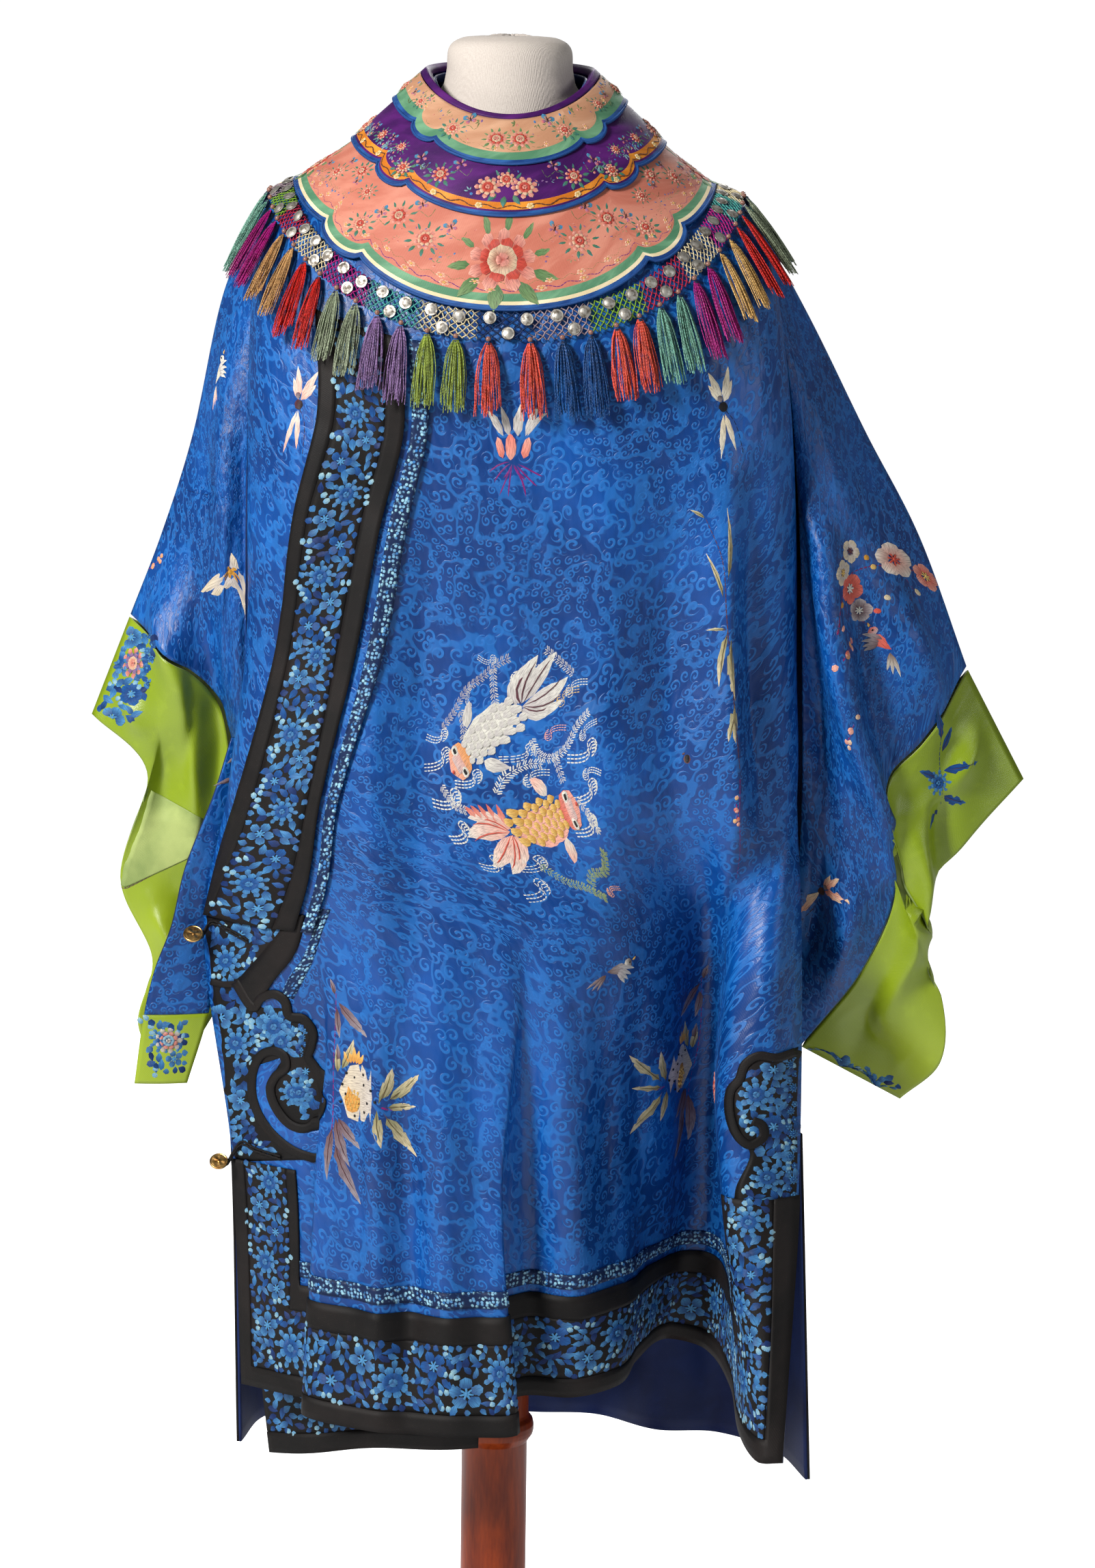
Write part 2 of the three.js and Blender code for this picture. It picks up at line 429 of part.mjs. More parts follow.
// Cloud-shaped corners at the tops of the slits, as a band round a curl: points in X and Z, lifted off the front.
const CLOUD_LEFT = [
  { name: "top", x: -176, z: 772 }, { name: "upper lobe", x: -163, z: 764 }, { name: "notch", x: -156, z: 752 },
  { name: "middle lobe", x: -144, z: 733 }, { name: "lower notch", x: -142, z: 712 }, { name: "belly", x: -142, z: 688 },
  { name: "chin", x: -152, z: 668 }, { name: "foot", x: -174, z: 672 }, { name: "inner", x: -196, z: 690 },
  { name: "side", x: -213, z: 716 }, { name: "edge", x: -219, z: 752 }, { name: "shoulder", x: -222, z: 778 },
  { name: "neck", x: -200, z: 786 },
];
const CLOUD_RIGHT = [
  { name: "top", x: 222, z: 742 }, { name: "upper lobe", x: 206, z: 738 }, { name: "middle", x: 196, z: 722 },
  { name: "belly", x: 194, z: 690 }, { name: "foot", x: 196, z: 664 }, { name: "chin", x: 214, z: 652 },
  { name: "edge", x: 230, z: 660 }, { name: "side", x: 232, z: 700 }, { name: "shoulder", x: 229, z: 738 },
];
// The point of the front at a given X and Z, found step by step, and moved out by a distance.
function onFront(x, z, guess, lift = 0) {
  let u = guess;
  let T = LEVELS.hip + HIP_Z - z;
  for (let k = 0; k < 40; k++) {
    const p = robe(u, T, false);
    T += (p[2] - z) * 0.9;
    u += ((x - p[0]) / HEM_LENGTH) * 0.6;
  }
  const p = new THREE.Vector3(...robe(u, T, false));
  const across = new THREE.Vector3(...robe(u + 0.004, T, false)).sub(p);
  const down = new THREE.Vector3(...robe(u, T + 4, false)).sub(p);
  return p.addScaledVector(down.cross(across).normalize(), lift).toArray();
}
function cloud(name, outline, guess, distance) {
  const centre = [0, 1].map((k) => outline.reduce((sum, p) => sum + (k ? p.z : p.x), 0) / outline.length);
  const at = (i, v) => {
    const a = outline[i % outline.length];
    return onFront(centre[0] + (a.x - centre[0]) * v, centre[1] + (a.z - centre[1]) * v, guess);
  };
  const around = grid((i, v) => at(i, v), outline.map((_, i) => i), [0.45, 0.75, 1], true, true);
  add(name, wall(around, distance, distance + 1.3, () => true, true), "black");
}

// Buttons of brass with a cord loop, at the underarm and at the top of the left slit.
const BUTTON_TILT = 2.29; // the face looks forward and up
function disc(radius, thickness, [x, y, z]) {
  const geometry = new THREE.CylinderGeometry(radius, radius, thickness, 16);
  geometry.rotateX(BUTTON_TILT);
  geometry.translate(x, y, z);
  return geometry;
}
function cordAlong(points, radius) {
  const curve = new THREE.CatmullRomCurve3(points.map((p) => new THREE.Vector3(...p)));
  const round = new THREE.Shape();
  round.absarc(0, 0, radius, 0, 2 * Math.PI);
  return new THREE.ExtrudeGeometry(round, { extrudePath: curve, steps: 8, curveSegments: 3, bevelEnabled: false });
}
const BUTTONS = [
  { name: "underarm", radius: 8, x: -243, y: -66, z: 827, hold: [[-230, 834], [-216, 831], [-198, 825]], lift: 4.1 },
  { name: "slit", radius: 7.5, x: -223, y: -63, z: 640, hold: [[-206, 654], [-194, 651], [-172, 648]], lift: 4.1 },
];
for (const row of BUTTONS) {
  add("button_" + row.name, disc(row.radius, 2, [row.x, row.y, row.z]), "brass");
  const shank = [row.x + 2, row.y - Math.cos(BUTTON_TILT) * 2.9, row.z - Math.sin(BUTTON_TILT) * 2.9];
  const bend = [row.x + 6, row.y - Math.cos(BUTTON_TILT) * 6, row.z - Math.sin(BUTTON_TILT) * 3.6];
  const held = row.hold.map(([x, z]) => onFront(x, z, 0.03, row.lift));
  add("loop_" + row.name, cordAlong([shank, bend, ...held], 1.3), "black");
}

// Collar tiers: scalloped rings over the shoulders. Main lobes face front, back and sides, small ones between.
const TIERS = [
  { name: "collar_tier_top", material: "tan", inner: 4.4, side: 22, front: 39, dip: 6, near: 10.2, far: 11.6 },
  { name: "collar_tier_middle", material: "purple", inner: 14, side: 53, front: 75, dip: 8, near: 7.6, far: 9 },
  { name: "collar_tier_bottom", material: "coral", inner: 40, side: 105, front: 146, dip: 11, near: 5, far: 6.4 },
];
const LOBE_EDGES = [-126, -54, -36, 36, 54, 126, 144, 216, 234];
const NET_HEIGHT = 25;
function tierEdge(tier, angle) {
  const degrees = (angle * 180) / Math.PI - 90; // 0 faces front
  const turn = ((((degrees + 126) % 360) + 360) % 360) - 126;
  let k = 0;
  while (turn > LOBE_EDGES[k + 1]) k++;
  const middle = (LOBE_EDGES[k] + LOBE_EDGES[k + 1]) / 2;
  const along = (turn - middle) / ((LOBE_EDGES[k + 1] - LOBE_EDGES[k]) / 2);
  const lobe = 1 - Math.sqrt(Math.max(0, 1 - 0.96 * along * along));
  return tier.side + (tier.front - tier.side) * Math.sin(angle) ** 2 - tier.dip * lobe;
}
// Angles round the neck: eight steps to a main lobe and three to a small one, so that every cusp has a point.
const angles = [];
for (let quarter = 0; quarter < 4; quarter++) {
  for (let k = 0; k < 8; k++) angles.push(quarter * 90 - 36 + k * 9);
  for (let k = 0; k < 3; k++) angles.push(quarter * 90 + 36 + k * 6);
}
angles.forEach((degrees, k) => { angles[k] = ((degrees + 90) * Math.PI) / 180; });
for (const tier of TIERS) {
  const surface = (angle, v) => cape(angle, tier.inner + (tierEdge(tier, angle) - tier.inner) * v);
  add(tier.name, wall(grid(surface, angles, [0, 0.5, 1], true, true), tier.near, tier.far, () => true, true), tier.material);
}
const bottomTier = TIERS[2];
const ringEdge = (angle) => bottomTier.side + (bottomTier.front - bottomTier.side) * Math.sin(angle) ** 2;
const binding = grid((angle, T) => cape(angle, T), angles.filter((_, k) => k % 2 === 0), [0.3, 3.9], true, true);
add("collar_neck_binding", wall(binding, 4.4, 12, () => true, true), "purple");
const netSurface = (angle, v) => cape(angle, ringEdge(angle) + 1.8 + (NET_HEIGHT - 1.8) * v);
const netSheet = grid(netSurface, angles, [0, 1], true, true);
add("collar_net", wall(netSheet, 5, 6.2, () => true, true), "net");

// Fringe under the net: sixty tassels, six to a backing strip, each tassel one lock that widens downwards.
const TASSELS = 60;
const STRIPS = 10;
const LOCK_TOP = 5;
const LOCK_WIDTH = 11;
const LOCK_DEPTH = 5;
const TASSEL_LENGTH = 52;
function lock(top, bottom, outward) {
  const along = bottom.clone().sub(top).normalize();
  const side = new THREE.Vector3().crossVectors(along, outward).normalize();
  const out = new THREE.Vector3().crossVectors(side, along).normalize();
  const vertices = [];
  for (const [centre, width, depth] of [[top, LOCK_TOP, 1.1], [bottom, LOCK_WIDTH, LOCK_DEPTH]]) {
    for (const [a, b] of [[-1, -1], [1, -1], [1, 1], [-1, 1]]) {
      const p = centre.clone().addScaledVector(side, (a * width) / 2).addScaledVector(out, (b * depth) / 2);
      vertices.push(p.x, p.y, p.z);
    }
  }
  const triangles = [0, 1, 2, 0, 2, 3, 4, 6, 5, 4, 7, 6];
  for (let k = 0; k < 4; k++) {
    const n = (k + 1) % 4;
    triangles.push(k, k + 4, n + 4, k, n + 4, n);
  }
  const solid = solidOf({ vertices, triangles });
  if (solid.volume() > 0) return solid;
  const turned = [];
  for (let k = 0; k < triangles.length; k += 3) turned.push(triangles[k], triangles[k + 2], triangles[k + 1]);
  return solidOf({ vertices, triangles: turned });
}
for (let strip = 0; strip < STRIPS; strip++) {
  const perStrip = TASSELS / STRIPS;
  const pitch = (2 * Math.PI) / TASSELS;
  const first = strip * perStrip * pitch;
  const ends = Array.from({ length: 5 }, (_, k) => first + 0.006 + ((perStrip * pitch - 0.012) * k) / 4);
  const backing = grid((angle, v) => cape(angle, ringEdge(angle) + NET_HEIGHT + 0.35 + 4 * v), ends, [0, 1], true);
  let solid = solidOf(wall(backing, 5, 7.6, () => true, true));
  for (let k = 0; k < perStrip; k++) {
    const angle = first + (k + 0.5) * pitch;
    const root = new THREE.Vector3(...cape(angle, ringEdge(angle) + NET_HEIGHT + 2));
    const across = new THREE.Vector3(...cape(angle + 0.02, ringEdge(angle) + NET_HEIGHT + 2)).sub(root).normalize();
    const lower = new THREE.Vector3(...cape(angle, ringEdge(angle) + NET_HEIGHT + 4)).sub(root);
    const normal = new THREE.Vector3().crossVectors(across, lower).normalize();
    const outward = new THREE.Vector3(Math.cos(angle), -Math.sin(angle) * 1.2, 0).normalize();
    const sideways = Math.abs(Math.cos(angle)) ** 2;
    const length = TASSEL_LENGTH * (0.94 + 0.06 * Math.sin(7 * k + strip));
    const top = root.clone().addScaledVector(normal, 6.3);
    const fall = new THREE.Vector3(...cape(angle, ringEdge(angle) + NET_HEIGHT + 50)).sub(root).normalize();
    const spread = outward.clone().multiplyScalar(0.56).add(new THREE.Vector3(0, 0, -0.83));
    const along = fall.multiplyScalar(1 - sideways).addScaledVector(spread, sideways).normalize();
    const foot = top.clone().addScaledVector(along, length).addScaledVector(outward, 6);
    solid = solid.add(lock(top, foot, outward));
  }
  add("fringe_" + (strip + 1), plainMesh(solid), "fringe");
}

// Dress form: smooth rings inside the robe, a domed neck and a flat underside.
const FORM = [
  { name: "dome", sideZ: 1533, frontZ: 1533, backZ: 1533, half: 22, front: 22, back: 22 },
  { name: "dome edge", sideZ: 1531, frontZ: 1531, backZ: 1531, half: 38, front: 38, back: 38 },
  { name: "neck top", sideZ: 1523, frontZ: 1522, backZ: 1523, half: 48, front: 48, back: 46 },
  { name: "neck", sideZ: 1503, frontZ: 1492, backZ: 1508, half: 50, front: 52, back: 48 },
  { name: "neck root", sideZ: 1487, frontZ: 1458, backZ: 1494, half: 58, front: 60, back: 53 },
  { name: "collar", sideZ: 1443, frontZ: 1416, backZ: 1454, half: 103, front: 88, back: 84 },
  { name: "yoke", sideZ: 1420.5, frontZ: 1377.6, backZ: 1415.6, half: 147.3, front: 119.5, back: 113.5 },
  { name: "shoulder", sideZ: 1392, frontZ: 1330, backZ: 1360, half: 170, front: 128, back: 121 },
  { name: "armhole", sideZ: 1348, frontZ: 1286, backZ: 1310, half: 180, front: 136, back: 128 },
  { name: "bust", sideZ: 1262, frontZ: 1222, backZ: 1236, half: 178, front: 137, back: 128 },
  { name: "chest", sideZ: 1165, frontZ: 1160, backZ: 1160, half: 166, front: 128, back: 118 },
  { name: "waist", sideZ: 1060, frontZ: 1060, backZ: 1060, half: 140, front: 108, back: 100 },
  { name: "hip", sideZ: 930, frontZ: 930, backZ: 930, half: 158, front: 112, back: 114 },
  { name: "low", sideZ: 840, frontZ: 840, backZ: 840, half: 152, front: 104, back: 108 },
  { name: "end", sideZ: 815, frontZ: 815, backZ: 815, half: 146, front: 98, back: 102 },
];
function formSolid() {
  const around = 28;
  const vertices = [0, 0, FLOOR_TO_NECK + 0.5];
  for (const ring of FORM) for (let k = 0; k < around; k++) {
    const a = (k * 2 * Math.PI) / around;
    const s = Math.sin(a);
    const depth = s < 0 ? ring.front : ring.back;
    const endZ = s < 0 ? ring.frontZ : ring.backZ;
    vertices.push(ring.half * Math.cos(a), depth * s, ring.sideZ + (endZ - ring.sideZ) * Math.abs(s) ** 1.3);
  }
  vertices.push(0, 0, FORM[FORM.length - 1].sideZ);
  const last = vertices.length / 3 - 1;
  const triangles = [];
  const at = (j, k) => 1 + j * around + (k % around);
  for (let k = 0; k < around; k++) {
    triangles.push(0, at(0, k), at(0, k + 1));
    for (let j = 0; j < FORM.length - 1; j++) {
      triangles.push(at(j, k), at(j + 1, k), at(j + 1, k + 1), at(j, k), at(j + 1, k + 1), at(j, k + 1));
    }
    triangles.push(last, at(FORM.length - 1, k + 1), at(FORM.length - 1, k));
  }
  return { vertices, triangles };
}
add("dress_form", formSolid(), "linen");

// Pole and base: turned wood, the pole with one ring moulding.
function turned(profile, segments) {
  const points = profile.map(([r, z]) => new THREE.Vector2(r, z));
  const geometry = new THREE.LatheGeometry(points, segments);
  geometry.rotateX(Math.PI / 2);
  return geometry;
}
add("pole", turned([
  [0, BASE_HEIGHT + GAP], [POLE_RADIUS, BASE_HEIGHT + GAP], [POLE_RADIUS, 388], [32, 396], [32, 406],
  [28, 413], [28, 815 - GAP], [0, 815 - GAP],
], 24), "wood");
add("base", turned([
  [0, 0], [BASE_RADIUS, 0], [BASE_RADIUS, 14], [BASE_RADIUS - 12, 22],
  [60, 28], [44, BASE_HEIGHT], [0, BASE_HEIGHT],
], 36), "wood");

cloud("cloud_left", CLOUD_LEFT, 0.05, 3.2);
cloud("cloud_right", CLOUD_RIGHT, 0.97, 3.2);

export default robeGroup;
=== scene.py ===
# %% [markdown]
# # An embroidered silk robe on a dress form
# A Chinese robe of blue damask silk, with green satin cuffs, black borders worked
# with blue flowers and a collar of three scalloped tiers with a tasselled net.
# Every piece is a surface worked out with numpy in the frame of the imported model.

# %% Load the frame
import json
import bpy
import numpy as np
from mathutils import Matrix

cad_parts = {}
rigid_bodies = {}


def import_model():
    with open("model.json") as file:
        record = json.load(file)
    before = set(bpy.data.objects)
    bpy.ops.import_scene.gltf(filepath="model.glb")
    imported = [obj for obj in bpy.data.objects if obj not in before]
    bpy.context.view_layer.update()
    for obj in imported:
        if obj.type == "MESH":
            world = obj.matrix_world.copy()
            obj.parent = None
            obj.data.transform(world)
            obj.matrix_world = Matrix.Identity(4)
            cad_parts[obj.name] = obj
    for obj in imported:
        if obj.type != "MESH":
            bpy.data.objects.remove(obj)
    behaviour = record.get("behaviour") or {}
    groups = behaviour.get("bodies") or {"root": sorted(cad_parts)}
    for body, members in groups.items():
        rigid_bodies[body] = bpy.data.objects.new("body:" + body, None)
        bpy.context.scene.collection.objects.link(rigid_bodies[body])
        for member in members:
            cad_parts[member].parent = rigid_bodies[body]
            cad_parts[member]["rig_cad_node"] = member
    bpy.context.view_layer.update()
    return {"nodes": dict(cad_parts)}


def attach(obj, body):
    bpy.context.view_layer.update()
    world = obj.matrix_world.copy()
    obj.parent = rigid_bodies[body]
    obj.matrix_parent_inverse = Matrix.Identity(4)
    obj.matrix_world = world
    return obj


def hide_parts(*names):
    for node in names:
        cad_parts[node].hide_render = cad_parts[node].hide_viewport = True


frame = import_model()
print("nodes in the frame:", len(frame["nodes"]))

# %% [markdown]
# ## Camera and light
# A garment photograph is taken from far away with a long lens, so the camera stands
# 3.4 m off and looks 10 degrees down. The same numbers give the place on the picture of
# any point, which later puts each embroidered motif where it belongs.

# %% Camera
LENS_PIXELS = 6181.8
PICTURE = (1603, 2296)
TILT = np.radians(10)
ROLL = np.radians(0.76)
AIM = np.array([36.8, 0.0, 940.0])
DISTANCE = 3400.0
FORWARD = np.array([0.0, np.cos(TILT), -np.sin(TILT)])
LEVEL_UP = np.array([0.0, np.sin(TILT), np.cos(TILT)])
RIGHT = np.array([np.cos(ROLL), 0, 0]) + LEVEL_UP * np.sin(ROLL)
UP = LEVEL_UP * np.cos(ROLL) - np.array([np.sin(ROLL), 0, 0])
EYE = AIM - FORWARD * DISTANCE


def on_picture(points):
    """Pixel of each point: its sideways and upward distance from the view line, over its depth."""
    d = points - EYE
    depth = d @ FORWARD
    return np.stack([PICTURE[0] / 2 + LENS_PIXELS * (d @ RIGHT) / depth,
        PICTURE[1] / 2 - LENS_PIXELS * (d @ UP) / depth], -1)


def from_picture(pixels, y):
    """X and Z of the points seen at these pixels on the upright plane at this y."""
    p = np.asarray(pixels, float)
    ray = (FORWARD + RIGHT * ((p[..., :1] - PICTURE[0] / 2) / LENS_PIXELS) - UP
        * ((p[..., 1:] - PICTURE[1] / 2) / LENS_PIXELS))
    far = (y - EYE[1]) / ray[..., 1]
    return np.stack([EYE[0] + far * ray[..., 0], EYE[2] + far * ray[..., 2]], -1)


camera = bpy.data.objects.new("camera", bpy.data.cameras.new("camera"))
camera.data.sensor_fit = "VERTICAL"
camera.data.sensor_height = 36
camera.data.lens = 36 * LENS_PIXELS / PICTURE[1]
camera.data.clip_end = 400
camera.matrix_world = Matrix([[RIGHT[k], UP[k], -FORWARD[k], EYE[k] / 1000] for k in range(3)]
    + [[0, 0, 0, 1]])
bpy.context.collection.objects.link(camera)
bpy.context.scene.camera = camera
print("camera at", np.round(EYE / 1000, 3), "lens", round(camera.data.lens, 1))


# %% [markdown]
# ## Tools for making surfaces
# A sewn garment is a set of thin sheets. Each one is a grid of points given by a
# function of two values. A wall with an outer and an inner face gives it its
# thickness, and lengths measured along the grid give it a map for its weave.


# %% Node helpers
def node(tree, kind, inputs=None, **settings):
    """A node with its settings, its inputs either values or other nodes' outputs."""
    made = tree.nodes.new(kind)
    for key, value in settings.items():
        setattr(made, key, value)
    for key, value in (inputs or {}).items():
        if isinstance(value, bpy.types.NodeSocket):
            tree.links.new(value, made.inputs[key])
        else:
            made.inputs[key].default_value = value
    return made


def maths(tree, operation, *values):
    """The result of one Math node."""
    return node(tree, "ShaderNodeMath", dict(enumerate(values)), operation=operation).outputs[0]


def ramp(tree, value, low, high, start=0.0, end=1.0):
    """A smooth step between two values."""
    return node(tree, "ShaderNodeMapRange", {0: value, 1: low, 2: high, 3: start, 4: end},
        interpolation_type="SMOOTHSTEP").outputs[0]


def place_of(tree):
    """The place on the piece itself, in metres."""
    return node(tree, "ShaderNodeTexCoord").outputs["Object"]


def noise(tree, place, scale, detail=2.0, **more):
    """Soft random values from 0 to 1."""
    return node(tree, "ShaderNodeTexNoise", {"Vector": place, "Scale": scale, "Detail": detail,
        **more}).outputs[0]


def dress(tree, shader, **inputs):
    """Links from values to the shader's inputs of those names."""
    for key, value in inputs.items():
        tree.links.new(value, shader.inputs[key.replace("_", " ").title()])


def blend(tree, share, first, second, mode="MIX"):
    """Two colours mixed by a share."""
    return node(tree, "ShaderNodeMix", {0: share, 6: first, 7: second}, data_type="RGBA",
        blend_type=mode).outputs[2]


def colour(red, green, blue):
    """A screen colour, 0 to 255, as the linear light that a shader works with."""
    c = np.array([red, green, blue]) / 255
    linear = np.where(c <= 0.04045, c / 12.92, ((c + 0.055) / 1.055) ** 2.4)
    return (*linear.tolist(), 1.0)


def group(name, inputs, outputs):
    """An empty shader group: name and kind of each input and output."""
    tree = bpy.data.node_groups.new(name, "ShaderNodeTree")
    for title, kind, value in inputs:
        socket = tree.interface.new_socket(title, in_out="INPUT", socket_type=kind)
        if value is not None:
            socket.default_value = value
    for title, kind in outputs:
        tree.interface.new_socket(title, in_out="OUTPUT", socket_type=kind)
    return tree, tree.nodes.new("NodeGroupInput"), tree.nodes.new("NodeGroupOutput")


def use(tree, shared, inputs):
    """A shared group placed in a material."""
    return node(tree, "ShaderNodeGroup", inputs, node_tree=shared)


# %% Soft studio light
def area_light(name, place, aim, size, watts, tint=(1, 1, 1)):
    """A square soft box that looks from its place towards a point."""
    lamp = bpy.data.lights.new(name, "AREA")
    lamp.size = size
    lamp.energy = watts
    lamp.color = tint
    back = np.subtract(place, aim)
    back /= np.linalg.norm(back)
    side = np.cross([0, 0, 1], back)
    side /= np.linalg.norm(side)
    top = np.cross(back, side)
    box = bpy.data.objects.new(name, lamp)
    box.matrix_world = Matrix([[side[k], top[k], back[k], place[k]] for k in range(3)] + [[0, 0, 0, 1]])
    bpy.context.collection.objects.link(box)


area_light("key_light", (-2.1, -2.3, 2.9), (0, 0, 1.05), 0.7, 190, (1, 0.98, 0.95))
area_light("side_light", (2.7, -1.2, 2.1), (0, 0, 1.0), 1.0, 15, (0.95, 0.98, 1))
area_light("back_light", (0.4, 2.8, 2.6), (0, 0, 1.1), 1.5, 40)
world = bpy.data.worlds.new("studio")
world.use_nodes = True
world.node_tree.nodes["Background"].inputs["Color"].default_value = (0.96, 0.97, 0.98, 1)
seen = node(world.node_tree, "ShaderNodeLightPath").outputs["Is Camera Ray"]
bright = maths(world.node_tree, "MULTIPLY_ADD", seen, 0.93, 0.15)
world.node_tree.links.new(bright, world.node_tree.nodes["Background"].inputs["Strength"])
bpy.context.scene.world = world
bpy.context.scene.view_settings.view_transform = "Standard"


# %% Sheets from grids
def unit(vectors):
    """The same vectors, each one long."""
    return vectors / np.linalg.norm(vectors, axis=-1)[..., None]


def ways_along(points):
    """The way from the first point of a line to each of its points."""
    return np.concatenate([[0], np.cumsum(np.hypot(*np.diff(points, axis=0).T))])


def lines(start, end, step, fixed=()):
    """Evenly spaced values that also pass through the fixed ones."""
    even = np.linspace(start, end, int(round((end - start) / step)) + 1)
    fixed = np.array(fixed, float)
    if len(fixed):
        even = even[np.abs(even[:, None] - fixed).min(1) > step * 0.35]
    return np.unique(np.round(np.concatenate([even, fixed, [start, end]]), 7))


def lay_flat(points, wrap):
    """Lengths along the rows from their middles, and down the columns from the top, in metres."""
    if wrap:
        points = np.concatenate([points, points[:, :1]], 1)
    across = np.linalg.norm(np.diff(points, axis=1), axis=2)
    across = np.concatenate([np.zeros((len(points), 1)), np.cumsum(across, 1)], 1)
    across -= across[:, across.shape[1] // 2][:, None]
    down = np.linalg.norm(np.diff(points, axis=0), axis=2)
    down = np.concatenate([np.zeros((1, points.shape[1])), np.cumsum(down, 0)], 0)
    return np.stack([across, -down], -1) / 1000


def build(name, points, faces, corners, finishes, numbers=None, threads=None, weld=False):
    """A mesh object from points in millimetres, faces of up to four corners and a map for each corner."""
    if weld:
        points, same = np.unique(np.round(points, 4), axis=0, return_inverse=True)
        faces = same.reshape(-1)[faces]
    used, faces = np.unique(faces, return_inverse=True)
    faces = faces.reshape(-1, 4)
    apart = faces != np.roll(faces, 1, axis=1)
    whole = apart.sum(1) > 2
    apart &= whole[:, None]
    starts = np.concatenate([[0], np.cumsum(apart.sum(1)[whole])[:-1]])
    mesh = bpy.data.meshes.new(name)
    mesh.vertices.add(len(used))
    mesh.vertices.foreach_set("co", (points[used] / 1000).astype(np.float32).ravel())
    mesh.loops.add(int(apart.sum()))
    mesh.loops.foreach_set("vertex_index", faces[apart].astype(np.int32))
    mesh.polygons.add(int(whole.sum()))
    mesh.polygons.foreach_set("loop_start", starts.astype(np.int32))
    mesh.update(calc_edges=True)
    mesh.polygons.foreach_set("use_smooth", np.ones(int(whole.sum()), bool))
    layer = mesh.uv_layers.new(name="cloth")
    layer.data.foreach_set("uv", corners[apart].astype(np.float32).ravel())
    for finish in finishes:
        mesh.materials.append(finish)
    if numbers is not None:
        mesh.polygons.foreach_set("material_index", numbers[whole].astype(np.int32))
    if threads is not None:
        paint = mesh.color_attributes.new(name="thread", type="FLOAT_COLOR", domain="POINT")
        rgba = np.concatenate([threads[used], np.ones((len(used), 1))], 1)
        paint.data.foreach_set("color", rgba.astype(np.float32).ravel())
    piece = bpy.data.objects.new(name, mesh)
    bpy.context.collection.objects.link(piece)
    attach(piece, "root")
    return piece


def sheet(name, surface, across, down, near, far, finishes, keep=None, wrap=False, flip=False, zone=None):
    """A closed wall between two heights over the kept cells of a grid, with rims at its borders."""
    a, b = np.meshgrid(across, down)
    outer = surface(a, b, far)
    inner = surface(a, b, near)
    rows, cols = a.shape
    shape = (rows - 1, cols if wrap else cols - 1)
    if keep is None:
        keep = np.ones(shape, bool)
    chart = lay_flat(outer, wrap)
    around = np.pad(keep, ((1, 1), (0, 0)))
    around = np.concatenate([around[:, -1:], around, around[:, :1]], 1) if wrap else np.pad(around,
        ((0, 0), (1, 1)))
    j, i = np.nonzero(keep)
    faces = []
    places = []
    numbers = []
    zones = zone[j] if zone is not None else np.zeros(len(j), int)

    def add(chosen, corners, number):
        """Faces of the chosen cells, their corners given as steps down, steps across and side."""
        jj = j[chosen]
        ii = i[chosen]
        faces.append(np.stack([s * rows * cols + (jj + dj) * cols + (ii + di) % cols for dj, di,
            s in corners], -1))
        places.append(np.stack([chart[jj + dj, ii + di] for dj, di, s in corners], 1))
        numbers.append(zones[chosen] if number is None else np.full(len(jj), number))

    every = np.ones(len(j), bool)
    rim = len(finishes) - 1
    add(every, [(0, 0, 1), (1, 0, 1), (1, 1, 1), (0, 1, 1)], None)
    add(every, [(0, 0, 0), (0, 1, 0), (1, 1, 0), (1, 0, 0)], rim)
    add(~around[j, i + 1], [(0, 0, 0), (0, 0, 1), (0, 1, 1), (0, 1, 0)], rim)
    add(~around[j + 2, i + 1], [(1, 0, 1), (1, 0, 0), (1, 1, 0), (1, 1, 1)], rim)
    add(~around[j + 1, i], [(0, 0, 1), (0, 0, 0), (1, 0, 0), (1, 0, 1)], rim)
    add(~around[j + 1, i + 2], [(0, 1, 0), (0, 1, 1), (1, 1, 1), (1, 1, 0)], rim)
    faces = np.concatenate(faces)
    places = np.concatenate(places)
    if flip:
        faces = faces[:, ::-1]
        places = places[:, ::-1]
    points = np.concatenate([inner.reshape(-1, 3), outer.reshape(-1, 3)])
    return build(name, points, faces, places, finishes, np.concatenate(numbers))


# %% Tubes and turned shapes
def tube(path, radius, sides=8, up=(0, 0, 1)):
    """Rings of points round a path, square to it: a circle carried along the path."""
    path = np.asarray(path, float)
    along = np.gradient(path, axis=0)
    along /= np.linalg.norm(along, axis=1)[:, None]
    side = np.cross(along, up)
    side /= np.linalg.norm(side, axis=1)[:, None] + 1e-9
    over = np.cross(side, along)
    turn = np.linspace(0, 2 * np.pi, sides, endpoint=False)
    radius = np.broadcast_to(radius, len(path))[:, None, None]
    return path[:, None] + radius * (np.cos(turn)[:, None] * side[:, None] + np.sin(turn)[:, None]
        * over[:, None])


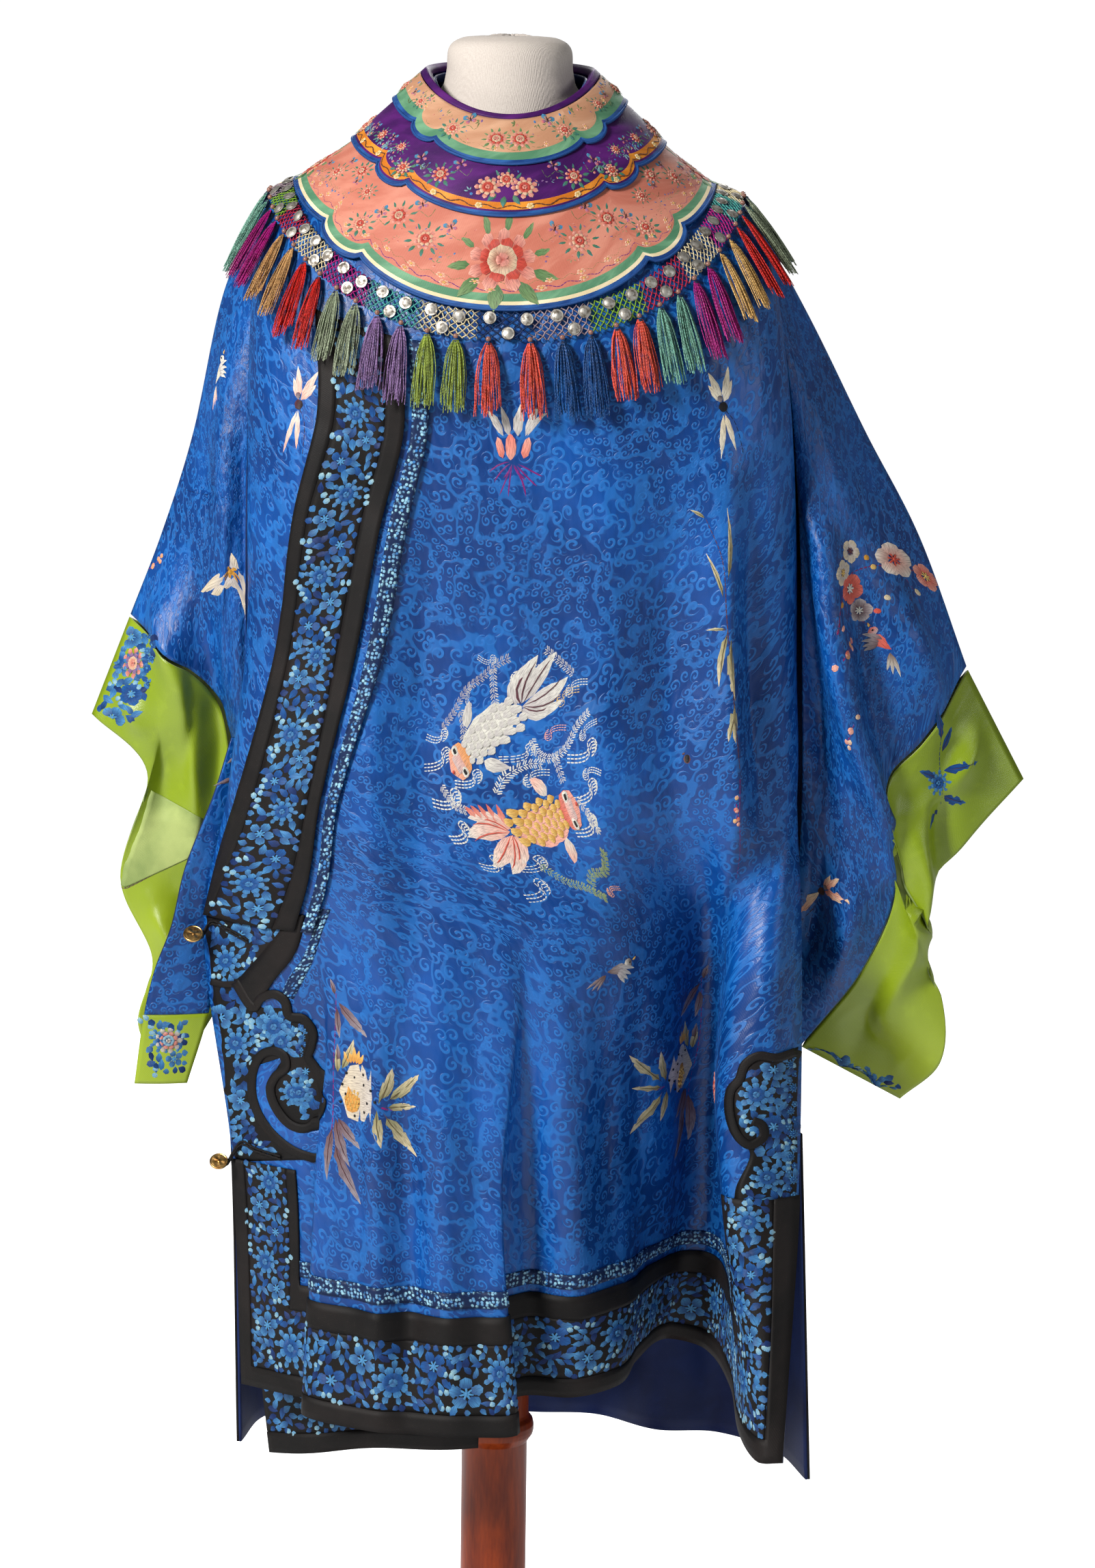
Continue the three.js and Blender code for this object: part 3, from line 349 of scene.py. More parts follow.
def many(rings, closed=False):
    """Faces, points and map of many tubes at once: an array of tubes, rings, sides and xyz."""
    count, rows, sides = rings.shape[:3]
    t, j, i = np.meshgrid(np.arange(count), np.arange(rows if closed else rows - 1), np.arange(sides),
        indexing="ij")
    j2 = (j + 1) % rows
    i2 = (i + 1) % sides

    def at(row, side):
        return ((t * rows + row) * sides + side).ravel()

    faces = np.stack([at(j, i), at(j, i2), at(j2, i2), at(j2, i)], -1)
    chart = np.stack([np.stack([a.ravel() / sides, b.ravel() / rows], -1) for a,
        b in ((i, j), (i + 1, j), (i + 1, j + 1), (i, j + 1))], 1)
    if not closed and sides == 4:
        ends = np.arange(count)[:, None] * rows * sides
        first = ends + np.arange(4)[::-1]
        last = ends + (rows - 1) * sides + np.arange(4)
        faces = np.concatenate([faces, first, last])
        chart = np.concatenate([chart, np.zeros((2 * count, 4, 2))])
    return rings.reshape(-1, 3), faces, chart


def turned(profile, sides=80):
    """A profile of radius and height spun round the upright axis, from the top down."""
    profile = np.asarray(profile, float)
    turn = np.linspace(0, 2 * np.pi, sides, endpoint=False)
    r = profile[:, :1]
    return np.stack([r * np.cos(turn), r * np.sin(turn), np.broadcast_to(profile[:, 1:], (len(r), sides))],
        -1)


# %% [markdown]
# ## The form of the robe
# The robe hangs from the shoulders in rings and breaks into folds below the hips. The
# rings and the turns of the folds are tables of sizes, and a smooth curve runs through
# them both ways: u goes across the front from one side seam to the other, and T is the
# way down from the neckline in millimetres.

# %% Curves through tables
RINGS = np.array([(0, 1500, 1467, 1506, -57, 58, 0.5, 64, 56, 1),
    (46, 1452, 1424, 1463, -110, 110, 0.5, 96, 92, 1), (92, 1421, 1378, 1416, -154, 148, 0.5, 120, 114,
    0.98), (137, 1403, 1336, 1368, -187, 186, 3, 137, 130, 0.92),
    (187, 1356, 1290, 1318, -195, 205, 36, 146, 138, 0.84), (255, 1265, 1225, 1240, -198, 219, 55, 148, 142,
    0.8), (320, 1168, 1165, 1166, -198, 226, 63, 145, 142, 0.8),
    (425, 1060, 1060, 1060, -199, 229, 66, 138, 138, 0.8), (540, 945, 945, 942, -213, 232, 68, 140, 144,
    0.8)], float)
FRONT_TURNS = np.array([(-203, -50, 451, -212, -50, -235, -46), (-148, -94, 454, -152, -88, -182, -92),
    (-120, -92, 452, -128, -95, -150, -106), (-149, -121, 449, -141, -116, -131, -116),
    (-98, -148, 446, -98, -138, -92, -134), (-40, -160, 446, -42, -150, -46, -145),
    (18, -165, 449, 4, -154, 2, -148), (-6, -134, 458, 4, -138, 20, -144),
    (22, -116, 466, 22, -128, 36, -141), (62, -113, 465, 66, -120, 76, -130),
    (97, -95, 469, 108, -96, 112, -112), (112, -45, 474, 136, -66, 144, -86),
    (138, 10, 476, 162, -34, 168, -66), (174, -8, 473, 184, -52, 184, -78),
    (194, -80, 464, 190, -102, 188, -104), (199, -160, 450, 192, -138, 196, -124),
    (212, -203, 442, 214, -156, 216, -130), (227, -208, 443, 237, -140, 237, -98)], float)
BACK_TURNS = np.array([(261, 40, 343, 248, 46, 239, 52), (238, 108, 345, 232, 104, 222, 98),
    (190, 152, 346, 184, 148, 176, 136), (138, 138, 352, 134, 142, 126, 142),
    (86, 184, 350, 82, 172, 74, 158), (30, 152, 362, 28, 154, 22, 154), (-36, 182, 356, -34, 172, -32, 160),
    (-92, 140, 368, -90, 142, -84, 146), (-148, 150, 366, -146, 140, -142, 132),
    (-196, 96, 374, -200, 90, -206, 86), (-212, 34, 372, -218, 36, -236, 40)], float)
HIP, KNEE, HEM = 655.0, 845.0, 1035.0
HIP_Z, KNEE_Z = 830.0, 640.0
ALL_T = [*RINGS[:, 0], HIP, KNEE, HEM]


def through(knots, values, x):
    """A cubic curve through values at rising knots, its slope at each knot taken from the neighbours."""
    k = np.asarray(knots, float)
    x = np.asarray(x, float)
    v = np.asarray(values, float)
    tail = (1,) * x.ndim
    if v.ndim == 1:
        v = np.broadcast_to(v.reshape(-1, *tail), (len(k), *x.shape))
    slope = np.empty_like(v)
    slope[1:-1] = (v[2:] - v[:-2]) / (k[2:] - k[:-2]).reshape(-1, *tail)
    slope[0] = (v[1] - v[0]) / (k[1] - k[0])
    slope[-1] = (v[-1] - v[-2]) / (k[-1] - k[-2])
    i = np.clip(np.searchsorted(k, x, side="right") - 1, 0, len(k) - 2)
    h = k[i + 1] - k[i]
    t = np.clip((x - k[i]) / h, 0, 1)

    def pick(table, row):
        return np.take_along_axis(table, row[None], 0)[0]

    return ((1 + 2 * t) * (1 - t) ** 2 * pick(v, i) + t * (1 - t) ** 2 * h * pick(slope, i) + t * t
        * (3 - 2 * t) * pick(v, i + 1) + t * t * (t - 1) * h * pick(slope, i + 1))


def robe(u, T, back):
    """A point of the robe: boxy half rings down to the seat, then the three turned sections of the skirt."""
    u, T = np.broadcast_arrays(np.asarray(u, float), np.asarray(T, float))
    tail = (1,) * u.ndim
    side, front_z, back_z, left, right, edge, front, rear, square = (RINGS[:, k].reshape(-1, *tail)
        for k in range(1, 10))
    c = np.cos(np.pi * u) * (1 if back else -1)
    s = np.sin(np.pi * np.clip(u, 0, 1))
    sign = 1 if back else -1
    x = (left + right) / 2 + (right - left) / 2 * np.sign(c) * np.abs(c) ** square
    y = sign * (edge + ((rear if back else front) - edge) * s ** square)
    z = side + ((back_z if back else front_z) - side) * s ** 1.3
    turns = BACK_TURNS if back else FRONT_TURNS
    steps = np.hypot(*np.diff(turns[:, :2], axis=0).T)
    shares = np.concatenate([[0], np.cumsum(steps)]) / steps.sum()
    hem_x, hem_y, hem_z, knee_x, knee_y, hip_x, hip_y = (through(shares, turns[:, k], u) for k in range(7))
    flat = np.ones_like(u)
    rows = [np.concatenate([ring, low]) for ring, low in ((x, np.stack([hip_x, knee_x, hem_x])),
        (y, np.stack([hip_y, knee_y, hem_y])), (z, np.stack([HIP_Z * flat, KNEE_Z * flat, hem_z])))]
    return np.stack([through(ALL_T, row, T) for row in rows], -1)


def cape(angle, T):
    """The shoulders all round: angle 0 is at the right edge, a quarter turn is the front."""
    angle, T = np.broadcast_arrays(np.asarray(angle, float) % (2 * np.pi), np.asarray(T, float))
    return np.where((angle <= np.pi)[..., None], robe(1 - angle / np.pi, T, False),
        robe((2 * np.pi - angle) / np.pi, T, True))


def lifted(base, a, b, lift, step_a, step_b, flip=False):
    """Points of a surface moved out along its normal, which is its way down crossed with its way across."""
    p = base(a, b)
    across = base(a + step_a, b) - base(a - step_a, b)
    down = base(a, b + step_b) - base(a, b - step_b)
    n = np.cross(down, across)
    n /= np.linalg.norm(n, axis=-1)[..., None] + 1e-12
    return p + n * (np.asarray(lift) * (-1 if flip else 1))[..., None]


# %% [markdown]
# ## Folds and creases
# Hanging silk breaks into soft folds that differ in width and depth. A simulation would
# put them where it likes; here each ridge and trough is a drawn line, with its height
# and its width, and the cloth rises or sinks along it.

# %% Crease lines
FRONT_CREASES = [  # height, width, and the line on the picture
    (6, 17, [(1062, 700), (1060, 860), (1062, 1050), (1072, 1240), (1068, 1400)]),
    (-6, 15, [(1104, 720), (1102, 900), (1110, 1080), (1120, 1240)]),
    (-5, 26, [(985, 690), (975, 900), (985, 1150), (1005, 1400)]),
    (3, 30, [(900, 640), (890, 900), (880, 1250), (870, 1600)]),
    (-3, 20, [(640, 640), (620, 900), (610, 1200), (600, 1500)]),
    (3, 20, [(560, 800), (545, 1100), (560, 1400), (560, 1700)]),
    (-3, 16, [(520, 1300), (530, 1500), (520, 1800), (505, 2000)]),
    (3, 16, [(640, 1450), (655, 1700), (660, 1900), (665, 2080)]),
    (-2.5, 14, [(600, 1600), (605, 1800), (600, 2080)]),
    (-3, 16, [(700, 1300), (695, 1600), (700, 1900), (706, 2080)]),
    (3.5, 18, [(815, 1350), (820, 1600), (840, 1900), (850, 2040)]),
    (-3, 15, [(880, 1400), (890, 1700), (905, 1950)]),
    (2.5, 12, [(1085, 1450), (1095, 1700), (1110, 1950), (1120, 2100)]),
    (-2, 10, [(1118, 1500), (1128, 1800), (1140, 2100)]),
    (-6, 17, [(1030, 1360), (1026, 1600), (1034, 1800), (1042, 2000)]),
    (3.5, 11, [(1076, 1400), (1080, 1650), (1092, 1900)]),
    (-4.5, 13, [(768, 1400), (776, 1700), (782, 2000)]), (-4, 15, [(932, 1440), (942, 1700), (958, 1960)]),
    (-3.5, 12, [(590, 1440), (588, 1700), (596, 2060)]), (3, 13, [(548, 1500), (556, 1800), (560, 2070)]),
    (-2, 20, [(560, 640), (520, 760), (500, 860)]), (2, 22, [(480, 600), (450, 760), (430, 900)]),
]
BACK_CREASES = [  # height, width, X and Z
    (5, 22, [(-120, 1250), (-110, 1000), (-125, 700), (-130, 420)]),
    (-5, 20, [(-60, 1220), (-55, 950), (-62, 700), (-66, 420)]),
    (4, 18, [(10, 1280), (4, 1000), (0, 720), (8, 500)]),
    (-4, 22, [(60, 1200), (58, 900), (52, 600), (56, 400)]),
    (5, 20, [(130, 1240), (128, 1000), (120, 720), (112, 420)]),
    (-5, 18, [(175, 1180), (178, 900), (170, 650), (166, 400)]),
    (-3, 14, [(-175, 1260), (-176, 1000), (-180, 760)]), (3, 14, [(-30, 980), (-34, 700), (-40, 400)]),
]


RIDGE_GAIN = 3.2
VALLEY_GAIN = 2.3


def creases(table, x, z):
    """Heights summed over the lines: each falls off with the distance from its line and fades at its ends."""
    total = np.zeros_like(x)
    for height, width, points in table:
        p = np.asarray(points, float)
        lengths = np.hypot(*np.diff(p, axis=0).T)
        ways = np.concatenate([[0], np.cumsum(lengths)])
        nearest = np.full(x.shape, 1e9)
        along = np.zeros_like(x)
        for k, length in enumerate(lengths):
            d = (p[k + 1] - p[k]) / length
            t = np.clip((x - p[k, 0]) * d[0] + (z - p[k, 1]) * d[1], 0, length)
            away = np.hypot(x - p[k, 0] - t * d[0], z - p[k, 1] - t * d[1])
            along = np.where(away < nearest, ways[k] + t, along)
            nearest = np.minimum(nearest, away)
        fade = np.sin(np.pi * np.clip(along / ways[-1], 0.06, 0.94)) ** 0.7
        total += (RIDGE_GAIN if height > 0 else VALLEY_GAIN) * height * fade * np.exp(-(nearest
            / width) ** 1.6)
    return total


def from_table(table, y):
    """Crease lines drawn on the picture, as X and Z on an upright plane."""
    return [(height, width, from_picture(points, y)) for height, width, points in table]


FRONT_PLANE = -135
SLEEVE_PLANE = -45
FRONT_FOLDS = from_table(FRONT_CREASES, FRONT_PLANE)


def under_collar(T):
    """Folds fade in below the collar, from 150 mm down to 230 mm."""
    return np.clip((T - 150) / 80, 0, 1)


def front(u, T, lift):
    """The front with its folds, which fade out under the collar."""
    p = robe(u, T, False)
    fold = creases(FRONT_FOLDS, p[..., 0], p[..., 2]) * under_collar(T)
    return lifted(lambda a, b: robe(a, b, False), u, T, lift + fold, 0.002, 1.5)


def rear(u, T, lift):
    """The back with its folds."""
    p = robe(u, T, True)
    fold = creases(BACK_CREASES, p[..., 0], p[..., 2]) * under_collar(T)
    return lifted(lambda a, b: robe(a, b, True), u, T, lift + fold, 0.002, 1.5)


# %% Sleeves
AT = [0, 0.2, 0.4, 0.6, 0.8, 1]
LEFT = {"body": [(-190.7, -198.3, -200.5, -200.8, -200.7, -199.6), (1399, 1300, 1180, 1060, 930, 800),
    (0, 46, 60, 62, 36, 0), (0, 44, 54, 56, 40, 0)], "seam": [(-298, -263, -224, -216, -215, -227),
    (1072, 1048, 1004, 925, 838, 757), (0, 40, 28, 22, 18, 0), (0, 30, 38, 40, 32, 0)],
    "edge": [(-329, -284, -306, -280, -292, -267), (992, 950, 862, 796, 740, 689), (0, 24, 14, 16, 16, 0),
    (0, 24, 34, 36, 26, 0)], "top": [(-192, -223, -247, -272, -298), (1399, 1330, 1220, 1140, 1072)],
    "swell": 10}
RIGHT_SLEEVE = {"body": [(191, 216, 230, 236, 238, 222), (1399, 1300, 1180, 1050, 890, 738),
    (0, 46, 60, 62, 48, 0), (0, 44, 54, 56, 46, 0)], "seam": [(371, 334, 300, 314, 290, 246),
    (1038, 988, 942, 868, 800, 727), (0, 50, 66, 52, 44, 0), (0, 38, 50, 50, 40, 0)],
    "edge": [(419, 372, 331, 356, 357, 328), (949, 902, 838, 774, 722, 684), (0, 30, 40, 36, 30, 0),
    (0, 28, 36, 36, 28, 0)], "top": [(191, 240, 285, 330, 371), (1399, 1313, 1226, 1143, 1038)],
    "swell": 16}


def sleeve_form(shape, turn, v):
    """A point of a sleeve: down its front and up its back as turn grows, out along the arm as v grows."""
    turn, v = np.broadcast_arrays(np.asarray(turn, float) % 1, np.asarray(v, float))
    behind = turn > 0.5
    u = np.where(behind, 2 - 2 * turn, 2 * turn)
    upper = v <= 1
    w = np.where(upper, v, v - 1)
    x, z, near, far = (np.where(upper, (1 - w) * through(AT, shape["body"][k], u) + w
        * through(AT, shape["seam"][k], u), (1 - w) * through(AT, shape["seam"][k], u) + w
        * through(AT, shape["edge"][k], u)) for k in range(4))
    quarters = [0, 0.25, 0.5, 0.75, 1]
    pull = np.where(upper, (1 - u) ** 2, 0)
    for k, (value, row) in enumerate(((x, shape["top"][0]), (z, shape["top"][1]))):
        straight = (1 - w) * shape["body"][k][0] + w * shape["seam"][k][0]
        value += pull * (through(quarters, row, w) - straight)
    swell = np.where(upper, shape["swell"] * np.sin(np.pi * w) * np.sin(np.pi * u), 0)
    depth = np.where(behind, far, near + swell)
    thin = 2.5 * np.sin(np.pi * np.minimum(u, 1 - u))
    y = np.where(behind, 1, -1) * np.maximum(thin, depth)
    return np.stack([x, y, z], -1)


LEFT_FRONT = [  # height, width, and the line on the picture
    (4.5, 11, [(255, 960), (270, 1060), (284, 1160), (288, 1250)]),
    (-4, 11, [(226, 1060), (238, 1130), (228, 1220)]),
    (-4, 11, [(312, 1000), (318, 1100), (306, 1200)]), (4, 11, [(216, 1330), (252, 1400), (296, 1460)]),
    (-3, 10, [(250, 1310), (286, 1370), (318, 1420)]), (3, 11, [(150, 1010), (186, 1040), (214, 1090)]),
    (-5, 9, [(362, 600), (366, 760), (372, 900), (372, 1030)]),
    (3.5, 12, [(330, 640), (336, 780), (340, 920), (330, 1060)]),
    (-2.5, 14, [(300, 620), (300, 760), (290, 900)]), (-3, 12, [(250, 760), (290, 900), (320, 1040)]),
    (-1.5, 2.5, [(262, 716), (300, 722), (350, 734)]), (3, 10, [(215, 860), (250, 960), (276, 1040)]),
    (-3, 6, [(274, 960), (274, 1060), (268, 1150)]),
]
RIGHT_FRONT = [(4, 11, [(1322, 1190), (1346, 1290), (1334, 1400), (1290, 1490)]),
    (-4, 11, [(1372, 1150), (1378, 1290), (1362, 1430)]), (3.5, 12,
    [(1440, 1040), (1424, 1110), (1360, 1190)]), (-3, 12, [(1236, 1490), (1280, 1540), (1330, 1570)]),
    (-7, 12, [(1122, 620), (1150, 760), (1168, 900), (1190, 1080), (1220, 1240)]),
    (7, 10, [(1150, 660), (1200, 790), (1214, 900), (1243, 1060), (1287, 1198), (1297, 1270)]),
    (-5, 16, [(1240, 800), (1262, 920), (1290, 1060), (1320, 1160)]),
    (4, 16, [(1300, 860), (1340, 960), (1380, 1060)]), (-4, 12, [(1200, 1240), (1190, 1340), (1170, 1440)]),
    (4, 12, [(1250, 1280), (1235, 1380), (1215, 1460)]), (-3, 10,
    [(1400, 1060), (1385, 1160), (1370, 1260)]), (3.5, 12, [(1350, 1180), (1350, 1280), (1340, 1380)]),
    (-3, 10, [(1300, 1420), (1270, 1500), (1250, 1570)]),]
SLEEVE_BACK = [  # height, width, X and Z on either side
    (5, 16, [(230, 1280), (250, 1120), (270, 980)]), (-5, 14, [(262, 1250), (290, 1100), (320, 990)]),
    (4, 14, [(230, 1080), (240, 900), (250, 780)]), (-4, 12, [(280, 960), (280, 860), (290, 770)]),
    (3, 12, [(330, 960), (320, 860), (330, 760)]),
]


def sleeve(shape, table, side):
    """The sleeve with its folds, in front as drawn and behind on its own lines."""
    drawn = from_table(table, SLEEVE_PLANE)

    def surface(turn, v, lift):
        p = sleeve_form(shape, turn, v)
        behind = (np.asarray(turn) % 1) > 0.5
        fold = np.where(behind, creases(SLEEVE_BACK, p[..., 0] * side, p[..., 2]),
            creases(drawn, p[..., 0], p[..., 2]))
        edge = np.clip(np.minimum(turn % 0.5, 0.5 - turn % 0.5) * 16, 0, 1)
        fold = fold * edge * np.clip(np.asarray(v) * 7, 0, 1)
        return lifted(lambda a, b: sleeve_form(shape, a, b), turn, v, lift + fold, 0.004, 0.008, side > 0)

    return surface


left_sleeve = sleeve(LEFT, LEFT_FRONT, -1)
right_sleeve = sleeve(RIGHT_SLEEVE, RIGHT_FRONT, 1)

# %% Fold of the left sleeve and the under-lap
SLEEVE_FOLD = np.array([(990, -212, -203, 62, 58), (940, -227, -206, 64, 54), (880, -250, -212, 60, 44),
    (830, -262, -220, 55, 35.4), (795, -275, -227, 52, 40), (757, -284, -233, 50, 42),
    (700, -292, -250, 48, 44)], float)
UNDER_LAP = np.array([(742, 0, -228, 35.6, -120, -62, -10, -90), (640, 0, -217, 34.5, -112, -58, -10, -88),
    (377, 34, -183, -4, -104, -44, -12, -82)], float)


def fold_form(u, z):
    """The lower front of the left sleeve, folded forward: straight across, curved down its length."""
    u, z = np.broadcast_arrays(np.asarray(u, float), np.asarray(z, float))
    outer_x, inner_x, outer_y, inner_y = (through(-SLEEVE_FOLD[:, 0], SLEEVE_FOLD[:, k], -z)
        for k in range(1, 5))
    return np.stack([outer_x + (inner_x - outer_x) * u, -outer_y + (outer_y - inner_y) * u, z], -1)


def sleeve_fold(u, z, lift):
    """The folded sleeve, with a roll along its middle."""
    roll = 2.0 * np.sin(np.pi * u) * np.sin(np.clip((985 - z) / 90, 0, np.pi / 2))
    return lifted(lambda a, b: fold_form(a, -b), u, -z, lift + roll, 0.02, 1.0)


def lap_form(u, z):
    """The hidden right front: three points across it at each height, with a slow ripple."""
    u, z = np.broadcast_arrays(np.asarray(u, float), np.asarray(z, float))
    lift, ox, oy, mx, my, ix, iy = (through(-UNDER_LAP[:, 0], UNDER_LAP[:, k], -z) for k in range(1, 8))
    x = through([0, 0.5, 1], np.stack([ox, mx, ix]), u)
    y = through([0, 0.5, 1], np.stack([oy, my, iy]), u) - 5 * np.sin(9 * u)
    return np.stack([x, y, z + lift * u], -1)


def under_lap(u, z, lift):
    """The under-lap moved out by a lift."""
    return lifted(lambda a, b: lap_form(a, -b), u, -z, lift, 0.01, 1.0)

# %% [markdown]
# ## Finishes
# Damask is one colour whose pattern shows only because its threads lie another way:
# scrolls of cloud catch the light and the ground stays deep. The scrolls are spirals in
# the cells of a Voronoi pattern. Weave and wear are groups that many materials share,
# and one stitched silk serves all the embroidery.

# %% Shared groups
VECTOR = "NodeSocketVector"
FLOAT = "NodeSocketFloat"
weave, enter, leave = group("weave", [("Place", VECTOR, None), ("Threads", FLOAT, 1400.0)],
    [("Height", FLOAT), ("Tone", FLOAT)])
parts = node(weave, "ShaderNodeSeparateXYZ", {0: enter.outputs["Place"]})
warp = maths(weave, "SINE", maths(weave, "MULTIPLY", parts.outputs[0], enter.outputs["Threads"]))
weft = maths(weave, "SINE", maths(weave, "MULTIPLY", parts.outputs[1], enter.outputs["Threads"]))
crossing = maths(weave, "MULTIPLY", warp, weft)
slub = noise(weave, enter.outputs["Place"], 900.0, 3.0)
dress(weave, leave, height=maths(weave, "MULTIPLY_ADD", crossing, 0.35, slub),
    tone=maths(weave, "MULTIPLY_ADD", crossing, 0.12, slub))

wear, enter, leave = group("wear", [("Place", VECTOR, None), ("Size", FLOAT, 9.0)],
    [("Faded", FLOAT), ("Rubbed", FLOAT), ("Lint", FLOAT)])
patches = noise(wear, enter.outputs["Place"], enter.outputs["Size"], 4.0, Roughness=0.6)
rub = noise(wear, enter.outputs["Place"], 60.0, 6.0)
specks = node(wear, "ShaderNodeTexVoronoi", {"Vector": enter.outputs["Place"], "Scale": 420.0})
dress(wear, leave, faded=ramp(wear, patches, 0.4, 0.66), rubbed=ramp(wear, rub, 0.52, 0.72),
    lint=ramp(wear, specks.outputs["Distance"], 0.1, 0.02))


def scroll(tree, place, size, turns, phase):
    """Spirals, one in each cell: the angle round the cell's centre plus a turn for each step outwards."""
    scaled = node(tree, "ShaderNodeVectorMath", {0: place, 3: size}, operation="SCALE").outputs[0]
    cells = node(tree, "ShaderNodeTexVoronoi", {"Vector": scaled, "Scale": 1.0, "Randomness": 0.72},
        voronoi_dimensions="2D")
    away = node(tree, "ShaderNodeVectorMath", {0: scaled, 1: cells.outputs["Position"]}, operation="SUBTRACT")
    xyz = node(tree, "ShaderNodeSeparateXYZ", {0: away.outputs[0]})
    hue = node(tree, "ShaderNodeSeparateColor", {0: cells.outputs["Color"]})
    angle = maths(tree, "ARCTAN2", xyz.outputs[1], xyz.outputs[0])
    hand = maths(tree, "MULTIPLY_ADD", maths(tree, "GREATER_THAN", hue.outputs[0], 0.5), 2.0, -1.0)
    spin = maths(tree, "MULTIPLY_ADD", angle, hand, maths(tree, "MULTIPLY_ADD", hue.outputs[1], 6.28, phase))
    wave = maths(tree, "SINE", maths(tree, "MULTIPLY_ADD", cells.outputs["Distance"], turns, spin))
    inside = ramp(tree, cells.outputs["Distance"], 0.47, 0.4)
    return maths(tree, "MULTIPLY", ramp(tree, wave, 0.0, 0.35), inside)


damask, enter, leave = group("damask_clouds", [("Place", VECTOR, None)], [("Figure", FLOAT)])
drift = node(damask, "ShaderNodeTexNoise", {"Vector": enter.outputs["Place"], "Scale": 24.0, "Detail": 1.0})
pull = node(damask, "ShaderNodeVectorMath", {0: drift.outputs["Color"], 3: 0.012}, operation="SCALE")
bent = node(damask, "ShaderNodeVectorMath", {0: enter.outputs["Place"], 1: pull.outputs[0]}, operation="ADD")
curls = scroll(damask, bent.outputs[0], 122.0, 17.0, 0.0)
large = scroll(damask, bent.outputs[0], 82.0, 15.0, 1.5)
trail = noise(damask, bent.outputs[0], 46.0, 1.5)
ribbons = ramp(damask, maths(damask, "ABSOLUTE", maths(damask, "SUBTRACT", trail, 0.5)), 0.045, 0.02)
choice = ramp(damask, noise(damask, enter.outputs["Place"], 13.0, 0.0), 0.47, 0.55)
mixed = node(damask, "ShaderNodeMix", {0: choice, 2: curls, 3: large}).outputs[0]
dress(damask, leave, figure=maths(damask, "MAXIMUM", mixed, maths(damask, "MULTIPLY", ribbons, 0.75)))


# %% Materials of silk
def material(name, **constants):
    """A new material with its Principled shader's fixed values, and its node tree."""
    made = bpy.data.materials.new(name)
    made.use_nodes = True
    tree = made.node_tree
    shader = tree.nodes["Principled BSDF"]
    for key, value in constants.items():
        shader.inputs[key.replace("_", " ").title().replace("Ior", "IOR")].default_value = value
    return made, tree, shader


def bump(tree, shader, height, strength, distance=0.0004):
    """A Bump node from a height to the shader's Normal."""
    made = node(tree, "ShaderNodeBump", {"Height": height, "Strength": strength, "Distance": distance})
    tree.links.new(made.outputs[0], shader.inputs["Normal"])
    return made


def cloth_map(tree):
    """The piece's own map, in metres along the cloth."""
    return node(tree, "ShaderNodeUVMap", uv_map="cloth").outputs[0]


def damask_silk(name, deep, ground, figure):
    """Silk damask: cloud scrolls lighter and rougher than their ground, faded in patches."""
    made, tree, shader = material(name, specular_ior_level=0.42)
    place = cloth_map(tree)
    clouds = use(tree, damask, {"Place": place})
    threads = use(tree, weave, {"Place": place, "Threads": 5200.0})
    worn = use(tree, wear, {"Place": place, "Size": 7.0})
    base = blend(tree, worn.outputs["Faded"], deep, ground)
    share = maths(tree, "MULTIPLY", clouds.outputs["Figure"], 0.5)
    toned = blend(tree, share, base, figure)
    fuzz = maths(tree, "MULTIPLY", threads.outputs["Tone"], 0.16)
    tinted = blend(tree, fuzz, toned, colour(150, 190, 235), "SOFT_LIGHT")
    dusty = maths(tree, "MULTIPLY", worn.outputs["Lint"], 0.16)
    rough = maths(tree, "MULTIPLY_ADD", clouds.outputs["Figure"], 0.16, 0.34)
    dress(tree, shader, base_color=blend(tree, dusty, tinted, colour(120, 150, 190)),
        roughness=maths(tree, "MULTIPLY_ADD", worn.outputs["Rubbed"], 0.1, rough))
    height = maths(tree, "MULTIPLY_ADD", threads.outputs["Height"], 0.3, clouds.outputs["Figure"])
    fine = bump(tree, shader, height, 0.55)
    tall = node(tree, "ShaderNodeVectorMath", {0: place, 1: (1.0, 0.45, 1.0)},
        operation="MULTIPLY").outputs[0]
    crinkle = noise(tree, tall, 38.0, 3.0, Roughness=0.55)
    soft = node(tree, "ShaderNodeBump", {"Height": crinkle, "Strength": 0.6, "Distance": 0.006})
    tree.links.new(soft.outputs[0], fine.inputs["Normal"])
    return made


def satin(name, deep, light, rough, size, gloss=0.22):
    """Plain satin: long floats of thread with soft streaks, lighter where it is rubbed."""
    made, tree, shader = material(name, specular_ior_level=gloss)
    deep = colour(*deep)
    light = colour(*light)
    place = cloth_map(tree)
    threads = use(tree, weave, {"Place": place, "Threads": 4200.0})
    worn = use(tree, wear, {"Place": place, "Size": size})
    toned = blend(tree, worn.outputs["Faded"], deep, light)
    rubbed = maths(tree, "MULTIPLY", worn.outputs["Rubbed"], 0.07)
    toned = blend(tree, rubbed, toned, tuple(min(1, 1.9 * c + 0.01) for c in light[:3]) + (1,))
    dusty = maths(tree, "MULTIPLY", worn.outputs["Lint"], 0.22)
    dress(tree, shader, base_color=blend(tree, dusty, toned, colour(150, 140, 130)),
        roughness=maths(tree, "MULTIPLY_ADD", threads.outputs["Tone"], 0.2, rough))
    bump(tree, shader, threads.outputs["Height"], 0.3)
    return made


